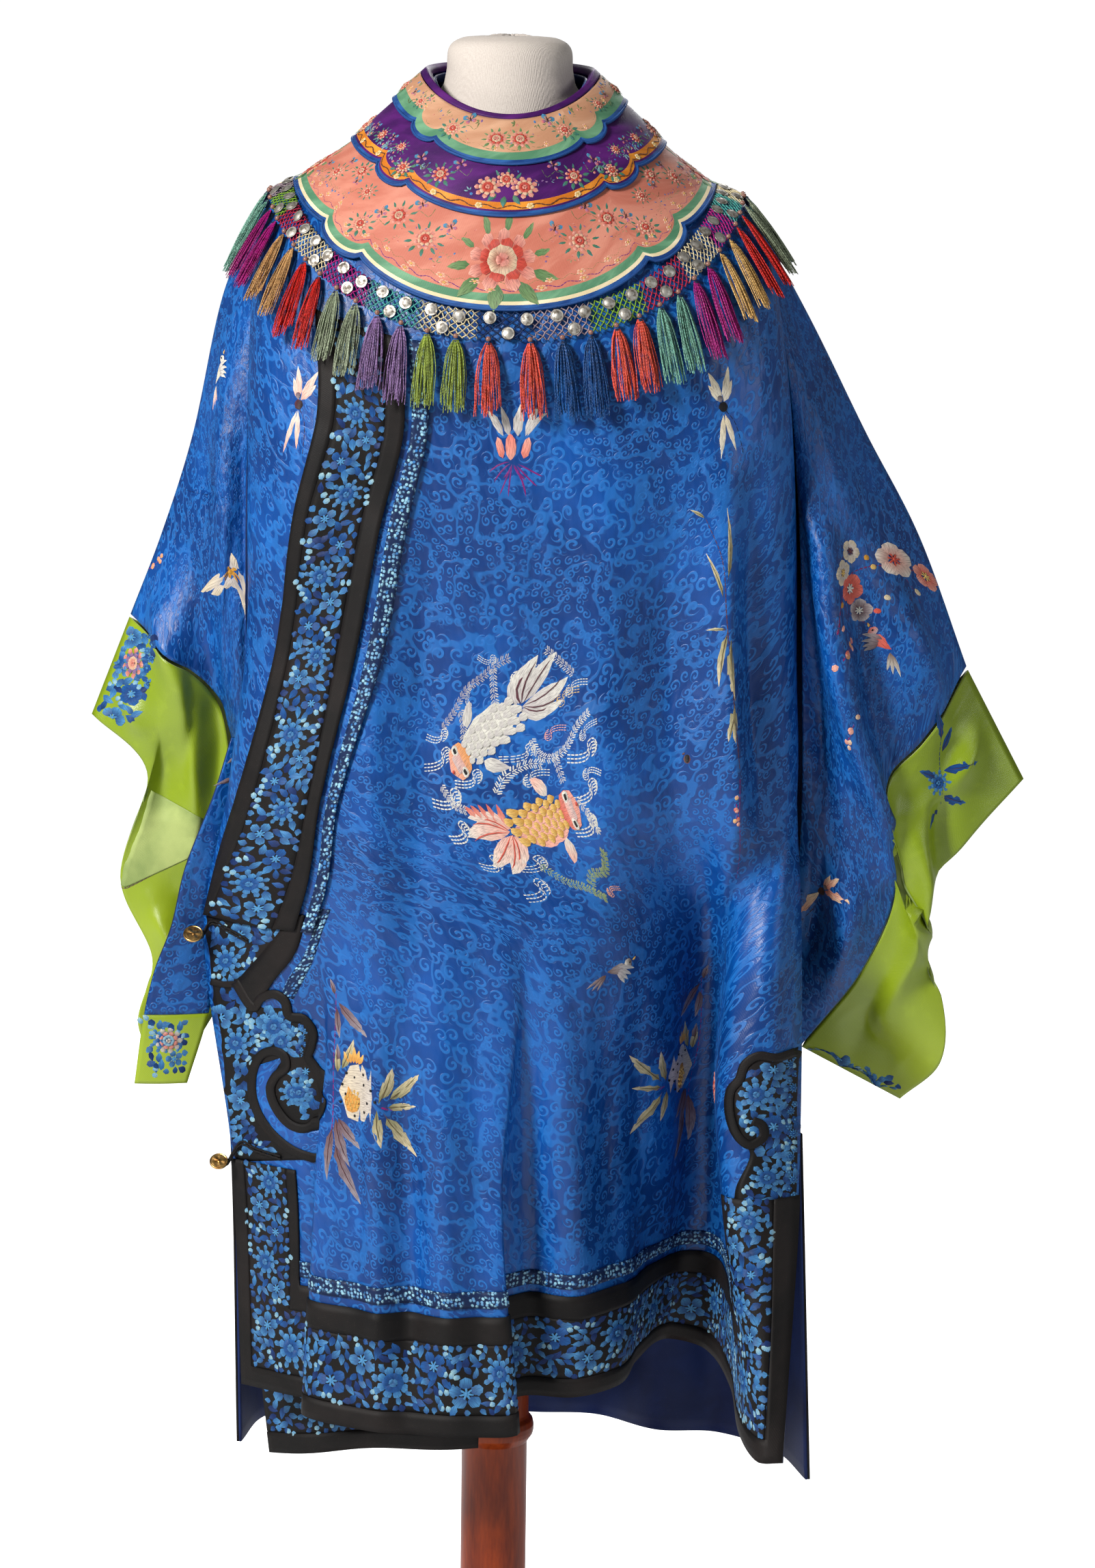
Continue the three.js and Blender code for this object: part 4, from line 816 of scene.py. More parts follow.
blue_silk = damask_silk("blue_damask", colour(0, 48, 108), colour(0, 70, 144), colour(26, 118, 196))
lining = satin("blue_lining", (12, 28, 70), (20, 42, 96), 0.5, 6.0)
green_satin = satin("green_satin", (122, 144, 18), (146, 166, 30), 0.24, 2.5, 0.6)
black_satin = satin("black_satin", (10, 8, 8), (24, 19, 18), 0.5, 12.0)
cuff_lining = satin("cuff_lining", (128, 146, 84), (164, 178, 108), 0.45, 12.0)
tan_silk = satin("tan_silk", (176, 128, 98), (198, 154, 124), 0.42, 20.0)
purple_silk = satin("purple_silk", (52, 12, 74), (84, 26, 104), 0.4, 20.0)
coral_silk = satin("coral_silk", (180, 104, 86), (200, 132, 112), 0.42, 20.0)
band_green = satin("band_green", (74, 122, 92), (106, 152, 118), 0.45, 30.0)
band_orange = satin("band_orange", (186, 104, 26), (214, 138, 46), 0.42, 30.0)
band_cream = satin("band_cream", (206, 190, 152), (228, 214, 182), 0.5, 30.0)
piping_blue = satin("piping_blue", (20, 54, 112), (40, 88, 150), 0.42, 40.0)

# %% [markdown]
# ## The robe's blue silk
# Front, back, sleeves and the hidden lap are each one thin sheet with its lining as the
# inner face. Each stands where its solid stands, so the hems, the slits and the mouths
# of the sleeves stay open.

# %% Front and back
FRONT_WIDTH = 880.0
BACK_WIDTH = 800.0
SIDES = [0, 13, 13.3, 56, 56.3, 66, 66.3]
FOOT = [114, 101, 94, 72.3, 72, 17.3, 17, 0]
SILK_TOP = 2.0
TRIM_FOOT = 2.3
BAND_TOP = 3.7
BINDING_TOP = 4.1


def side_lines(width):
    """Shares of the width at which the side borders begin and end."""
    return [d / width for d in SIDES] + [1 - d / width for d in SIDES]


front_across = lines(0, 1, 1 / 165, side_lines(FRONT_WIDTH))
front_down = lines(0, HEM, 5.8, [KNEE] + [HEM - d for d in FOOT])
back_across = lines(0, 1, 1 / 130, side_lines(BACK_WIDTH))
back_down = lines(0, HEM, 7.2, [KNEE] + [HEM - d for d in FOOT])
robe_front = sheet("robe_front_silk", front, front_across, front_down, 0.1, SILK_TOP, [blue_silk, lining])
robe_back = sheet("robe_back_silk", rear, back_across, back_down, 0.1, SILK_TOP, [blue_silk, lining])
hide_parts("robe_front")
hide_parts("robe_back")

# %% Sleeves, cuffs and lap
round_sleeve = np.arange(130) / 130
left_upper = sheet("sleeve_left_silk", left_sleeve, round_sleeve, np.linspace(0, 0.995, 66), -1, 1,
    [blue_silk, lining], wrap=True)
left_cuff = sheet("cuff_left_satin", left_sleeve, round_sleeve, np.linspace(1.012, 2, 40), -1, 1,
    [green_satin, cuff_lining], wrap=True)
right_upper = sheet("sleeve_right_silk", right_sleeve, round_sleeve, np.linspace(0, 0.995, 66), -1, 1,
    [blue_silk, lining], wrap=True, flip=True)
right_cuff = sheet("cuff_right_satin", right_sleeve, round_sleeve, np.linspace(1.012, 2, 40), -1, 1,
    [green_satin, cuff_lining], wrap=True, flip=True)
fold_across = np.linspace(0, 1, 14)
fold_silk = sheet("sleeve_fold_silk", sleeve_fold, fold_across, np.linspace(985, 757.6, 48), 0, 2,
    [blue_silk, lining])
fold_tip = sheet("cuff_tip_satin", sleeve_fold, fold_across, np.linspace(757, 700, 18), 0, 2,
    [green_satin, cuff_lining])
lap_silk = sheet("under_lap_silk", under_lap, np.linspace(0, 1, 50),
    lines(377, 742, 7, [394, 394.3, 449])[::-1], 0, 2, [blue_silk, lining])
for piece, name in ((left_upper, "sleeve_left"), (left_cuff, "cuff_left"), (right_upper, "sleeve_right"),
    (right_cuff, "cuff_right"), (fold_silk, "sleeve_left_fold"), (fold_tip, "cuff_left_tip"),
    (lap_silk, "under_lap")):
    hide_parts(name)

# %% [markdown]
# ## Borders
# A wide black border runs down the slits and along the hem: a satin binding on the
# very edge, a band of flowers, a plain satin band, a strip of blue ground and a narrow
# woven ribbon. Each is its own thin strip over the silk, cut from the same grid so that
# its edges lie exactly along the lines of the border.


# %% Hem and slit borders
def borders(name, surface, across, down, width):
    """The binding, flower band, satin band and ribbon: legs up the sides, and a foot along the hem."""
    u = (across[:-1] + across[1:]) / 2
    d = (np.minimum(u, 1 - u) * width)[None]
    t = (HEM - (down[:-1] + down[1:]) / 2)[:, None]
    low = t < HEM - KNEE
    made = []
    for title, near, far, finish, chosen in (("binding", TRIM_FOOT, BINDING_TOP, black_satin,
        (d < 13) | (t < 17)), ("flower_band", TRIM_FOOT, BAND_TOP, black_satin,
        (t > 17.3) & (d > 13.3) & ((d < 56) | (t < 72))), ("satin_band", TRIM_FOOT, BAND_TOP, black_satin,
        (t > 72.3) & (d > 56.3) & ((d < 66) | (t < 94))), ("ribbon", TRIM_FOOT, 3.3, woven_ribbon,
        (t > 101) & (t < 114) & (d > 66.3))):
        rows = np.nonzero((chosen & low).any(1))[0]
        part = slice(rows[0], rows[-1] + 2)
        piece = sheet(name + "_" + title, surface, across, down[part], near, far, [finish],
            keep=(chosen & low)[rows[0]:rows[-1] + 1])
        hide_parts(name.split("_")[0] + "_" + title)
        made.append(piece)
    return made


woven_ribbon, tree, shader = material("woven_ribbon", specular_ior_level=0.2)
place = cloth_map(tree)
parts = node(tree, "ShaderNodeSeparateXYZ", {0: place})
blooms = node(tree, "ShaderNodeTexVoronoi", {"Vector": place, "Scale": 105.0, "Randomness": 0.35},
    voronoi_dimensions="2D")
petals = node(tree, "ShaderNodeTexVoronoi", {"Vector": place, "Scale": 330.0, "Randomness": 0.8},
    voronoi_dimensions="2D")
spot = ramp(tree, blooms.outputs["Distance"], 0.55, 0.35)
rim = ramp(tree, petals.outputs["Distance"], 0.5, 0.3)
tones = node(tree, "ShaderNodeSeparateColor", {0: petals.outputs["Color"]})
pale = blend(tree, tones.outputs[0], colour(40, 104, 170), colour(152, 200, 216))
worked = maths(tree, "MULTIPLY", spot, rim)
dress(tree, shader, base_color=blend(tree, worked, colour(16, 34, 70), pale),
    roughness=maths(tree, "MULTIPLY_ADD", rim, -0.15, 0.6))
bump(tree, shader, worked, 0.8, 0.0006)

front_trim = borders("front", front, front_across, front_down, FRONT_WIDTH)
back_trim = borders("back", rear, back_across, back_down, BACK_WIDTH)
lap_down = np.linspace(449, 394.3, 9)
lap_band = sheet("lap_flower_band", under_lap, np.linspace(0, 1, 50), lap_down, TRIM_FOOT, BAND_TOP,
    [black_satin])
lap_edge = sheet("lap_binding", under_lap, np.linspace(0, 1, 50), np.linspace(394, 377, 5), TRIM_FOOT,
    BINDING_TOP, [black_satin])
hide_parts("under_lap_flower_band")
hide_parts("under_lap_binding")

# %% Bands of the overlap
BANDS = np.array([  # T, outer edge, flowers, satin, gap, ribbon, end
    (176, -143, -129, -93, -78, -72, -58), (245, -140, -127, -90, -75, -70, -57),
    (320, -157, -146, -108, -92, -86, -72),
    (425, -173, -162, -126, -111, -103, -90), (540, -203, -190, -148, -138, -133, -124),
    (600, -221, -210, -160, -146, -140, -131), (645, -233, -228, -176, -158, -153, -143)], float)


def share_at(x, T):
    """The share of the front's width at each X and T, found by halving."""
    low = np.zeros_like(x)
    high = np.full_like(x, 0.46)
    for step in range(26):
        middle = (low + high) / 2
        left = robe(middle, T, False)[..., 0] < x
        low = np.where(left, middle, low)
        high = np.where(left, high, middle)
    return (low + high) / 2


def overlap(first, last):
    """The surface of one band, its edges at two columns of the table."""
    def surface(v, T, lift):
        edge = [through(BANDS[:, 0], BANDS[:, k], T) for k in (first, last)]
        x = (1 - v) * (edge[0] + 0.15) + v * (edge[1] - 0.15)
        return front(share_at(x, T), T, lift)
    return surface


OVERLAP_TOP = 176
OVERLAP_FOOT = 645
band_down = np.linspace(OVERLAP_TOP, OVERLAP_FOOT, 100)
overlap_trim = []
for name, first, last, far, steps, finish in (("overlap_edge", 1, 2, 5.6, 5, black_satin),
    ("overlap_flower_band", 2, 3, 5.6, 9, black_satin), ("overlap_satin_band", 3, 4, 5.6, 5, black_satin),
    ("overlap_ribbon", 5, 6, 5.4, 5, woven_ribbon)):
    piece = sheet(name + "_silk", overlap(first, last), np.linspace(0, 1, steps), band_down, 4.4, far,
        [finish])
    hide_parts(name)
    overlap_trim.append(piece)
print("sheets of silk and trim:", 2 + 7 + len(front_trim) + len(back_trim) + 2 + len(overlap_trim))

# %% [markdown]
# ## The collar
# Three scalloped tiers lie over the shoulders, each a front, a back and two side lobes
# with a small lobe between. The edge of a tier is one formula of the angle round the
# neck, and its coloured bands keep a fixed distance from that edge.

# %% Tiers
TIERS = {"top": (4.4, 22, 39, 6, 10.2), "middle": (14, 53, 75, 8, 7.6), "bottom": (40, 105, 146, 11, 5.0)}
LOBES = np.array([-126, -54, -36, 36, 54, 126, 144, 216, 234], float)


def shoulder(angle, T, lift):
    """The shoulders moved out by a lift."""
    return lifted(cape, angle, T, lift, 0.01, 1.0, True)


def tier_edge(kind, angle):
    """Way down to a tier's edge: long in front and behind, short at the sides, round within each lobe."""
    inner, side, front_end, dip, near = TIERS[kind]
    turn = (np.degrees(angle) - 90 + 126) % 360 - 126
    k = np.clip(np.searchsorted(LOBES, turn, side="left") - 1, 0, 7)
    middle = (LOBES[k] + LOBES[k + 1]) / 2
    along = (turn - middle) / ((LOBES[k + 1] - LOBES[k]) / 2)
    lobe = 1 - np.sqrt(np.clip(1 - 0.96 * along ** 2, 0, 1))
    return side + (front_end - side) * np.sin(angle) ** 2 - dip * lobe


def tier(kind, border):
    """A tier's surface: r from 0 to 1 over its ground, from 1 to 2 over its border."""
    inner = TIERS[kind][0]

    def surface(angle, r, lift):
        edge = tier_edge(kind, angle)
        T = np.where(r < 1, inner + (edge - border - inner) * r, edge - border * (2 - r))
        puff = 0.7 * np.sin(np.pi * np.clip(r / 1.2, 0, 1)) + 0.5 * np.sin(9 * angle) * np.clip(r - 1, 0, 1)
        return shoulder(angle, T, lift + puff)

    return surface


quarter = np.concatenate([np.linspace(-36, 36, 45)[:-1], np.linspace(36, 54, 13)[:-1]])
round_neck = np.radians(np.concatenate([quarter + 90 * k for k in range(4)]) + 90)
collar = {}
for kind, border, rows, finishes in (("top", 8, [(1.0, 0), (1.72, 1), (2.0, 2)],
    [tan_silk, band_green, piping_blue, lining]), ("middle", 9, [(1.0, 0), (1.6, 1), (1.75, 2), (2.0, 3)],
    [purple_silk, band_orange, purple_silk, piping_blue, lining]),
    ("bottom", 12, [(1.0, 0), (1.5, 1), (1.74, 2), (2.0, 3)], [coral_silk, band_green, band_cream,
    piping_blue, lining])):
    near = TIERS[kind][4]
    stops = [0.0] + [stop for stop, number in rows]
    r = np.unique(np.concatenate([np.linspace(0, 1, 14)] + [np.linspace(a, b, 4) for a,
        b in zip(stops, stops[1:])]))
    centre = (r[:-1] + r[1:]) / 2
    zone = np.array([next(number for stop, number in rows if c < stop) for c in centre])
    collar[kind] = sheet("collar_" + kind + "_silk", tier(kind, border), round_neck, r, near, near + 1.4,
        finishes, wrap=True, flip=True, zone=zone)
    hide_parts("collar_tier_" + kind)
neck_binding = sheet("neck_binding_silk", shoulder, round_neck, np.linspace(0.3, 3.9, 5), 4.4, 12,
    [purple_silk], wrap=True, flip=True)
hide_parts("collar_neck_binding")

# %% Piping along the edges
for kind in TIERS:
    edge = shoulder(round_neck, tier_edge(kind, round_neck) + 0.3, TIERS[kind][4] + 0.9)
    rings = tube(np.concatenate([edge, edge[:1]]), 1.25, 6)
    rings[-1] = rings[0]
    points, faces, chart = many(rings[None, :-1], closed=True)
    build("piping_" + kind, points, faces, chart, [piping_blue])

# %% [markdown]
# ## Net, discs and tassels
# Below the lowest tier hangs a knotted net in short lengths of different colours, sewn
# with domed silver discs, and sixty silk tassels hang from it. Each tassel is a bundle
# of thin strands that leave their knot close together, swell and then hang.

# %% Net
THREADS = {"mint": (112, 168, 148), "magenta": (168, 24, 122), "tan": (206, 160, 104), "red": (206, 34, 26),
    "sage": (146, 158, 130), "lavender": (136, 104, 156), "lime": (152, 172, 66), "coral": (226, 84, 62),
    "royal": (18, 76, 140), "gold": (222, 178, 106), "lilac": (150, 132, 140), "green": (120, 162, 44),
    "crimson": (170, 28, 62), "cream": (214, 200, 160), "turquoise": (70, 158, 150), "navy": (16, 42, 84)}
NET_ORDER = ["lilac", "green", "crimson", "cream", "magenta", "turquoise", "cream", "navy", "lilac",
    "green", "crimson", "cream", "magenta", "turquoise", "cream"]
TASSEL_ORDER = ["mint", "magenta", "tan", "red", "sage", "lavender", "lime", "coral", "royal", "coral",
    "mint", "magenta", "gold", "red", "sage"]


def thread_colours(order, angle):
    """The colour at each angle: fifteen lengths across the front from its left, and again behind."""
    table = np.array([colour(*THREADS[name])[:3] for name in order])
    share = (1 - (angle % np.pi) / np.pi) * len(order)
    return table[np.clip(share.astype(int), 0, len(order) - 1)]


def ring_edge(angle):
    """Way down to where the net begins."""
    return 105 + 41 * np.sin(angle) ** 2


def thread_tone(tree, share, dark):
    """The colour that the thread itself carries, darker where its share is low."""
    tint = node(tree, "ShaderNodeAttribute", attribute_name="thread").outputs["Color"]
    return blend(tree, share, blend(tree, 1.0, tint, dark, "MULTIPLY"), tint)


def yarn(name, rough):
    """A twisted silk thread: its colour is carried by the strand, with fine oblique plies."""
    made, tree, shader = material(name, roughness=rough, specular_ior_level=0.3)
    parts = node(tree, "ShaderNodeSeparateXYZ", {0: cloth_map(tree)})
    across = maths(tree, "MULTIPLY", parts.outputs[0], 12.56)
    ply = maths(tree, "SINE", maths(tree, "MULTIPLY_ADD", parts.outputs[1], 160.0, across))
    share = maths(tree, "MULTIPLY_ADD", ply, 0.16, ramp(tree, noise(tree, place_of(tree), 260.0), 0.25, 0.6))
    dress(tree, shader, base_color=thread_tone(tree, share, (0.42, 0.4, 0.4, 1)))
    bump(tree, shader, ply, 0.4, 0.0002)
    return made


net_yarn = yarn("net_yarn", 0.6)
tassel_silk = yarn("tassel_silk", 0.42)
dice = np.random.default_rng(7)
count = 232
start = np.arange(count) * 2 * np.pi / count
way = np.linspace(0, 1, 9)
strands = []
for hand in (1, -1):
    angle = start[:, None] + hand * way * 2 * np.pi / count * 4 + 0.004 * np.sin(way * 25 + start[:, None]
        * 37)
    T = ring_edge(angle) + 1.8 + 23 * way
    strands.append(np.stack([tube(row, 0.5, 4, (0.3, 0.2, 0.93))
        for row in shoulder(angle, T, 5.7 + 0.35 * hand)]))
strands = np.concatenate(strands)
points, faces, chart = many(strands)
around = np.arctan2(-points[:, 1] * 1.4, points[:, 0])
net = build("net_strands", points, faces, chart, [net_yarn], threads=thread_colours(NET_ORDER, around))
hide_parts("collar_net")

# %% Silver discs
silver, tree, shader = material("silver_discs", metallic=1.0)
tarnish = ramp(tree, noise(tree, place_of(tree), 300.0, 4.0), 0.42, 0.66)
dress(tree, shader, base_color=blend(tree, tarnish, colour(196, 192, 184), colour(116, 108, 98)),
    roughness=maths(tree, "MULTIPLY_ADD", tarnish, 0.2, 0.5))
sections = np.arange(30)
spots = np.concatenate([np.stack([(sections + shift) * np.pi / 15, np.full(30, drop)], -1) for shift,
    drop in ((0.22, 8.0), (0.72, 7.0), (0.5, 19.0))])
centre = shoulder(spots[:, 0], ring_edge(spots[:, 0]) + spots[:, 1], 6.7)
side = unit(shoulder(spots[:, 0] + 0.02, ring_edge(spots[:, 0] + 0.02) + spots[:, 1], 6.7) - centre)
outward = shoulder(spots[:, 0], ring_edge(spots[:, 0]) + spots[:, 1], 7.7) - centre
outward = unit(outward + dice.normal(0, 0.12, outward.shape))


def spun_at(profile, sides, centre, side, over, axis):
    """A turned shape at each centre: its profile of radius and height, spun round that centre's own axis."""
    radius, height = np.array(profile).T[:, :, None, None]
    turn = np.linspace(0, 2 * np.pi, sides, endpoint=False)
    circle = np.cos(turn)[:, None] * side[:, None, None] + np.sin(turn)[:, None] * over[:, None, None]
    return many(centre[:, None, None] + radius * circle + height * axis[:, None, None])


DOME = [(0.01, 1.5), (1.6, 1.35), (3.1, 0.9), (4.4, 0.35), (4.7, 0.5), (5.0, 0.3), (4.7, 0.0), (0.01, 0.2)]
points, faces, chart = spun_at(DOME, 20, centre, side, np.cross(outward, side), outward)
build("silver_discs", points, faces[:, ::-1], chart[:, ::-1], [silver], weld=True)
print("net strands", len(strands), "discs", len(centre))

# %% Tassels
TASSELS = 60
EACH = 6  # to a strip
STRANDS = 46
TASSEL_LENGTH = 60
NET_DEPTH = 27
knot_thread, tree, shader = material("knot_thread", roughness=0.6, specular_ior_level=0.3)
turns = node(tree, "ShaderNodeSeparateXYZ", {0: cloth_map(tree)})
wrap = maths(tree, "SINE", maths(tree, "MULTIPLY", turns.outputs[1], 60.0))
dress(tree, shader, base_color=blend(tree, ramp(tree, wrap, -0.6, 0.6), colour(14, 20, 40),
    colour(44, 56, 86)))
bump(tree, shader, wrap, 0.7, 0.0005)
bead_glaze, tree, shader = material("bead_glaze", roughness=0.28)
dress(tree, shader, base_color=blend(tree, noise(tree, place_of(tree), 500.0), colour(92, 58, 52),
    colour(160, 116, 100)))


def tassel_lines(strip):
    """Top, foot, way out and angle of each tassel of a strip: between the cloth's lie and the plumb line."""
    k = np.arange(EACH)
    angle = (strip * EACH + k + 0.5) * 2 * np.pi / TASSELS
    edge = ring_edge(angle) + NET_DEPTH
    top = shoulder(angle, edge, 6.3)
    outward = unit(np.stack([np.cos(angle), -np.sin(angle) * 1.2, 0 * angle], -1))
    sideways = (np.cos(angle) ** 2)[:, None]
    length = TASSEL_LENGTH * (0.94 + 0.06 * np.sin(7 * k + strip))[:, None]
    fall = unit(cape(angle, edge + 48) - cape(angle, edge))
    away = unit(np.cross(cape(angle + 0.02, edge) - cape(angle - 0.02, edge), fall))
    plumb = unit(np.array([0, 0, -1]) + away * away[:, 2:])
    along = fall * (1 - sideways) + (outward * 0.4 + np.array([0, 0, -0.9])) * sideways
    return top, top + unit(along * 0.35 + plumb * 0.65) * length + outward * 6, outward, angle


knots = []
s = np.linspace(0, 1, 8)
bulge = 1.8 + 6.8 * s ** 0.45 + 1.4 * np.sin(np.pi * s)
for strip in range(TASSELS // EACH):
    top, foot, outward, angle = tassel_lines(strip)
    across = unit(np.cross(foot - top, outward))[:, None, None]
    phase, reach, ends = (dice.uniform(low, high, (EACH, STRANDS, 1)) for low,
        high in ((0, 2 * np.pi), (0.02, 1), (0.86, 1.04)))
    wide = np.sqrt(reach) * bulge * 1.15
    wave = 0.9 * np.sin(s * dice.uniform(3, 9, (EACH, STRANDS, 1)) + phase * 3) * s
    path = (top[:, None, None] + (foot - top)[:, None, None] * (s * ends)[..., None]
        + (np.cos(phase) * wide + wave)[..., None] * across + (np.abs(np.sin(phase)) * wide * 0.9
        + 0.2)[..., None] * outward[:, None, None] * 0.8)
    path = path.reshape(-1, len(s), 3)
    step = unit(np.gradient(path, axis=1))
    side = unit(np.cross(step, np.array([0.21, 0.9, 0.38])))
    over = np.cross(side, step)
    turn = np.array([0, 2.094, 4.189])[:, None]
    rings = path[:, :, None] + 0.36 * (np.cos(turn) * side[:, :, None] + np.sin(turn) * over[:, :, None])
    points, faces, chart = many(rings)
    tint = thread_colours(TASSEL_ORDER, angle)[:, None] * dice.uniform(0.72, 1.12, (EACH, STRANDS, 1))
    tint = np.repeat(tint.reshape(-1, 3), len(s) * 3, axis=0)
    piece = build("tassels_" + str(strip + 1), points, faces, chart, [tassel_silk], threads=tint)
    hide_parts("fringe_" + str(strip + 1))
    knots.append((top, foot - top))
top, down = np.concatenate(knots, axis=1)
down = unit(down)
side = unit(np.cross(down, [0.1, 0.2, 1.0]))
KNOT = [(0.01, -0.4), (1.7, 0.2), (2.4, 1.6), (1.9, 2.8), (2.5, 4.0), (2.2, 5.2), (1.8, 6.2), (0.01, 6.8)]
BEAD = [(0.01, -5.0), (1.5, -4.5), (2.1, -3.0), (1.5, -1.4), (0.01, -0.9)]
for name, profile, finish in (("tassel_knots", KNOT, knot_thread), ("tassel_beads", BEAD, bead_glaze)):
    build(name, *spun_at(profile, 10, top, side, np.cross(side, down), down), [finish], weld=True)
print("tassels", TASSELS, "strands", TASSELS * STRANDS)

# %% [markdown]
# ## Form and stand
# The robe stands on a limbless form covered in linen, on a turned pole with a plain
# round base. The linen is gathered in the middle of the neck's domed top.

# %% Dress form
FORM = np.array([  # side z, front z, back z, half width, front, back
    (1533, 1533, 1533, 22, 22, 22), (1531, 1531, 1531, 38, 38, 38), (1523, 1522, 1523, 48, 48, 46),
    (1503, 1492, 1508, 50, 52, 48), (1487, 1458, 1494, 58, 60, 53), (1443, 1416, 1454, 103, 88, 84),
    (1420.5, 1377.6, 1415.6, 147.3, 119.5, 113.5), (1392, 1330, 1360, 170, 128, 121),
    (1348, 1286, 1310, 180, 136, 128), (1262, 1222, 1236, 178, 137, 128), (1165, 1160, 1160, 166, 128, 118),
    (1060, 1060, 1060, 140, 108, 100), (930, 930, 930, 158, 112, 114), (840, 840, 840, 152, 104, 108),
    (815, 815, 815, 146, 98, 102)], float)
a = np.linspace(0, 2 * np.pi, 144, endpoint=False)
level = np.linspace(0, len(FORM) - 1, 110)[:, None] * np.ones(144)
side_z, front_z, back_z, half, ahead, behind = (through(np.arange(len(FORM)), FORM[:, k], level)
    for k in range(6))
s = np.sin(a)
depth = np.where(s < 0, ahead, behind)
z = side_z + (np.where(s < 0, front_z, back_z) - side_z) * np.abs(s) ** 1.3
body = np.stack([half * np.cos(a), depth * s, z], -1)
inner = np.linspace(0.02, 0.95, 12)[:, None]
gather = 1.3 * np.sin(19 * a + 5 * inner) * np.sin(np.pi * inner) + 0.8 * np.sin(31 * a - 7 * inner) * (1
    - inner)
dome = np.stack([22 * inner * np.cos(a), 22 * inner * np.sin(a), 1531.6 + 1.6 * (1 - inner ** 2) + gather],
    -1)
foot = np.array([0.6, 0.01])[:, None]
under = np.stack([146 * foot * np.cos(a), 100 * foot * np.sin(a), 815 + 0 * foot * a], -1)
points, faces, chart = many(np.concatenate([dome, body, under])[None])
linen, tree, shader = material("linen_cover", roughness=0.85, specular_ior_level=0.2)
place = place_of(tree)
threads = use(tree, weave, {"Place": place, "Threads": 5200.0})
worn = use(tree, wear, {"Place": place, "Size": 12.0})
toned = blend(tree, threads.outputs["Tone"], colour(176, 166, 158), colour(206, 198, 190))
spotted = maths(tree, "MULTIPLY", worn.outputs["Lint"], 0.35)
dress(tree, shader, base_color=blend(tree, spotted, toned, colour(182, 160, 136)))
bump(tree, shader, threads.outputs["Height"], 0.45, 0.0006)
form = build("linen_form", points, faces[:, ::-1], chart[:, ::-1], [linen], weld=True)
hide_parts("dress_form")

# %% Pole and base
wood, tree, shader = material("turned_wood", coat_weight=0.15, coat_roughness=0.2, specular_ior_level=0.2)
stretch = node(tree, "ShaderNodeMapping", {"Vector": place_of(tree), "Scale": (9.0, 9.0, 1.2)}).outputs[0]
grain = noise(tree, stretch, 4.0, 8.0, Roughness=0.62, Distortion=0.6)
fine = noise(tree, stretch, 46.0, 3.0)
share = ramp(tree, maths(tree, "MULTIPLY_ADD", fine, 0.3, grain), 0.4, 0.9)
dress(tree, shader, base_color=blend(tree, share, colour(88, 24, 4), colour(150, 58, 12)),
    roughness=maths(tree, "MULTIPLY_ADD", share, 0.14, 0.26))
bump(tree, shader, fine, 0.12)
POLE = [(0.01, 814.7), (26, 814.7), (28, 813.5), (28, 413), (29, 410.5), (31.4, 407.5), (32.4, 403),
    (32.4, 399), (31.6, 395.5), (28.6, 391), (27, 388.6), (27, 36), (26.4, 34.3), (0.01, 34.3)]
BASE = [(0.01, 34), (43, 34), (45, 33), (52, 29.6), (60, 28), (120, 25.4), (181, 22.2), (186, 21),
    (192, 17.4), (195, 13), (195, 2), (193, 0), (0.01, 0)]


def rounded(profile, steps=5):
    """The same outline with points added along each line."""
    p = np.array(profile, float)
    t = np.arange(0, len(p) - 1 + 1e-9, 1 / steps)
    return np.stack([np.interp(t, np.arange(len(p)), p[:, k]) for k in range(2)], -1)


for name, profile in (("pole", POLE), ("base", BASE)):
    points, faces, chart = many(turned(rounded(profile))[None])
    piece = build("turned_" + name, points, faces[:, ::-1], chart[:, ::-1], [wood], weld=True)
    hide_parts(name)

# %% Floor
floor, tree, shader = material("studio_floor", roughness=0.9)
seen = node(tree, "ShaderNodeLightPath").outputs["Is Camera Ray"]
shader.inputs["Emission Color"].default_value = (1, 1, 1, 1)
cloudy = noise(tree, place_of(tree), 1.5)
dress(tree, shader, base_color=blend(tree, cloudy, colour(238, 239, 240), colour(244, 244, 245)),
    emission_strength=maths(tree, "MULTIPLY_ADD", seen, 0.8, 0.1))
mesh = bpy.data.meshes.new("studio_floor")
mesh.from_pydata([(-90, -40, -0.0005), (90, -40, -0.0005), (90, 260, -0.0005), (-90, 260, -0.0005)], [],
    [(0, 1, 2, 3)])
mesh.materials.append(floor)
ground = bpy.data.objects.new("studio_floor", mesh)
bpy.context.collection.objects.link(ground)

# %% [markdown]
# ## Embroidery
# The flowers are worked in satin stitch: each petal is a small pad of parallel silk
# threads, a little higher in its middle than at its edge, shaded from one tone to the
# next. So a petal here is a small domed leaf with its own two colours, and a motif is a
# list of such petals drawn flat, which is then laid on the curved cloth.

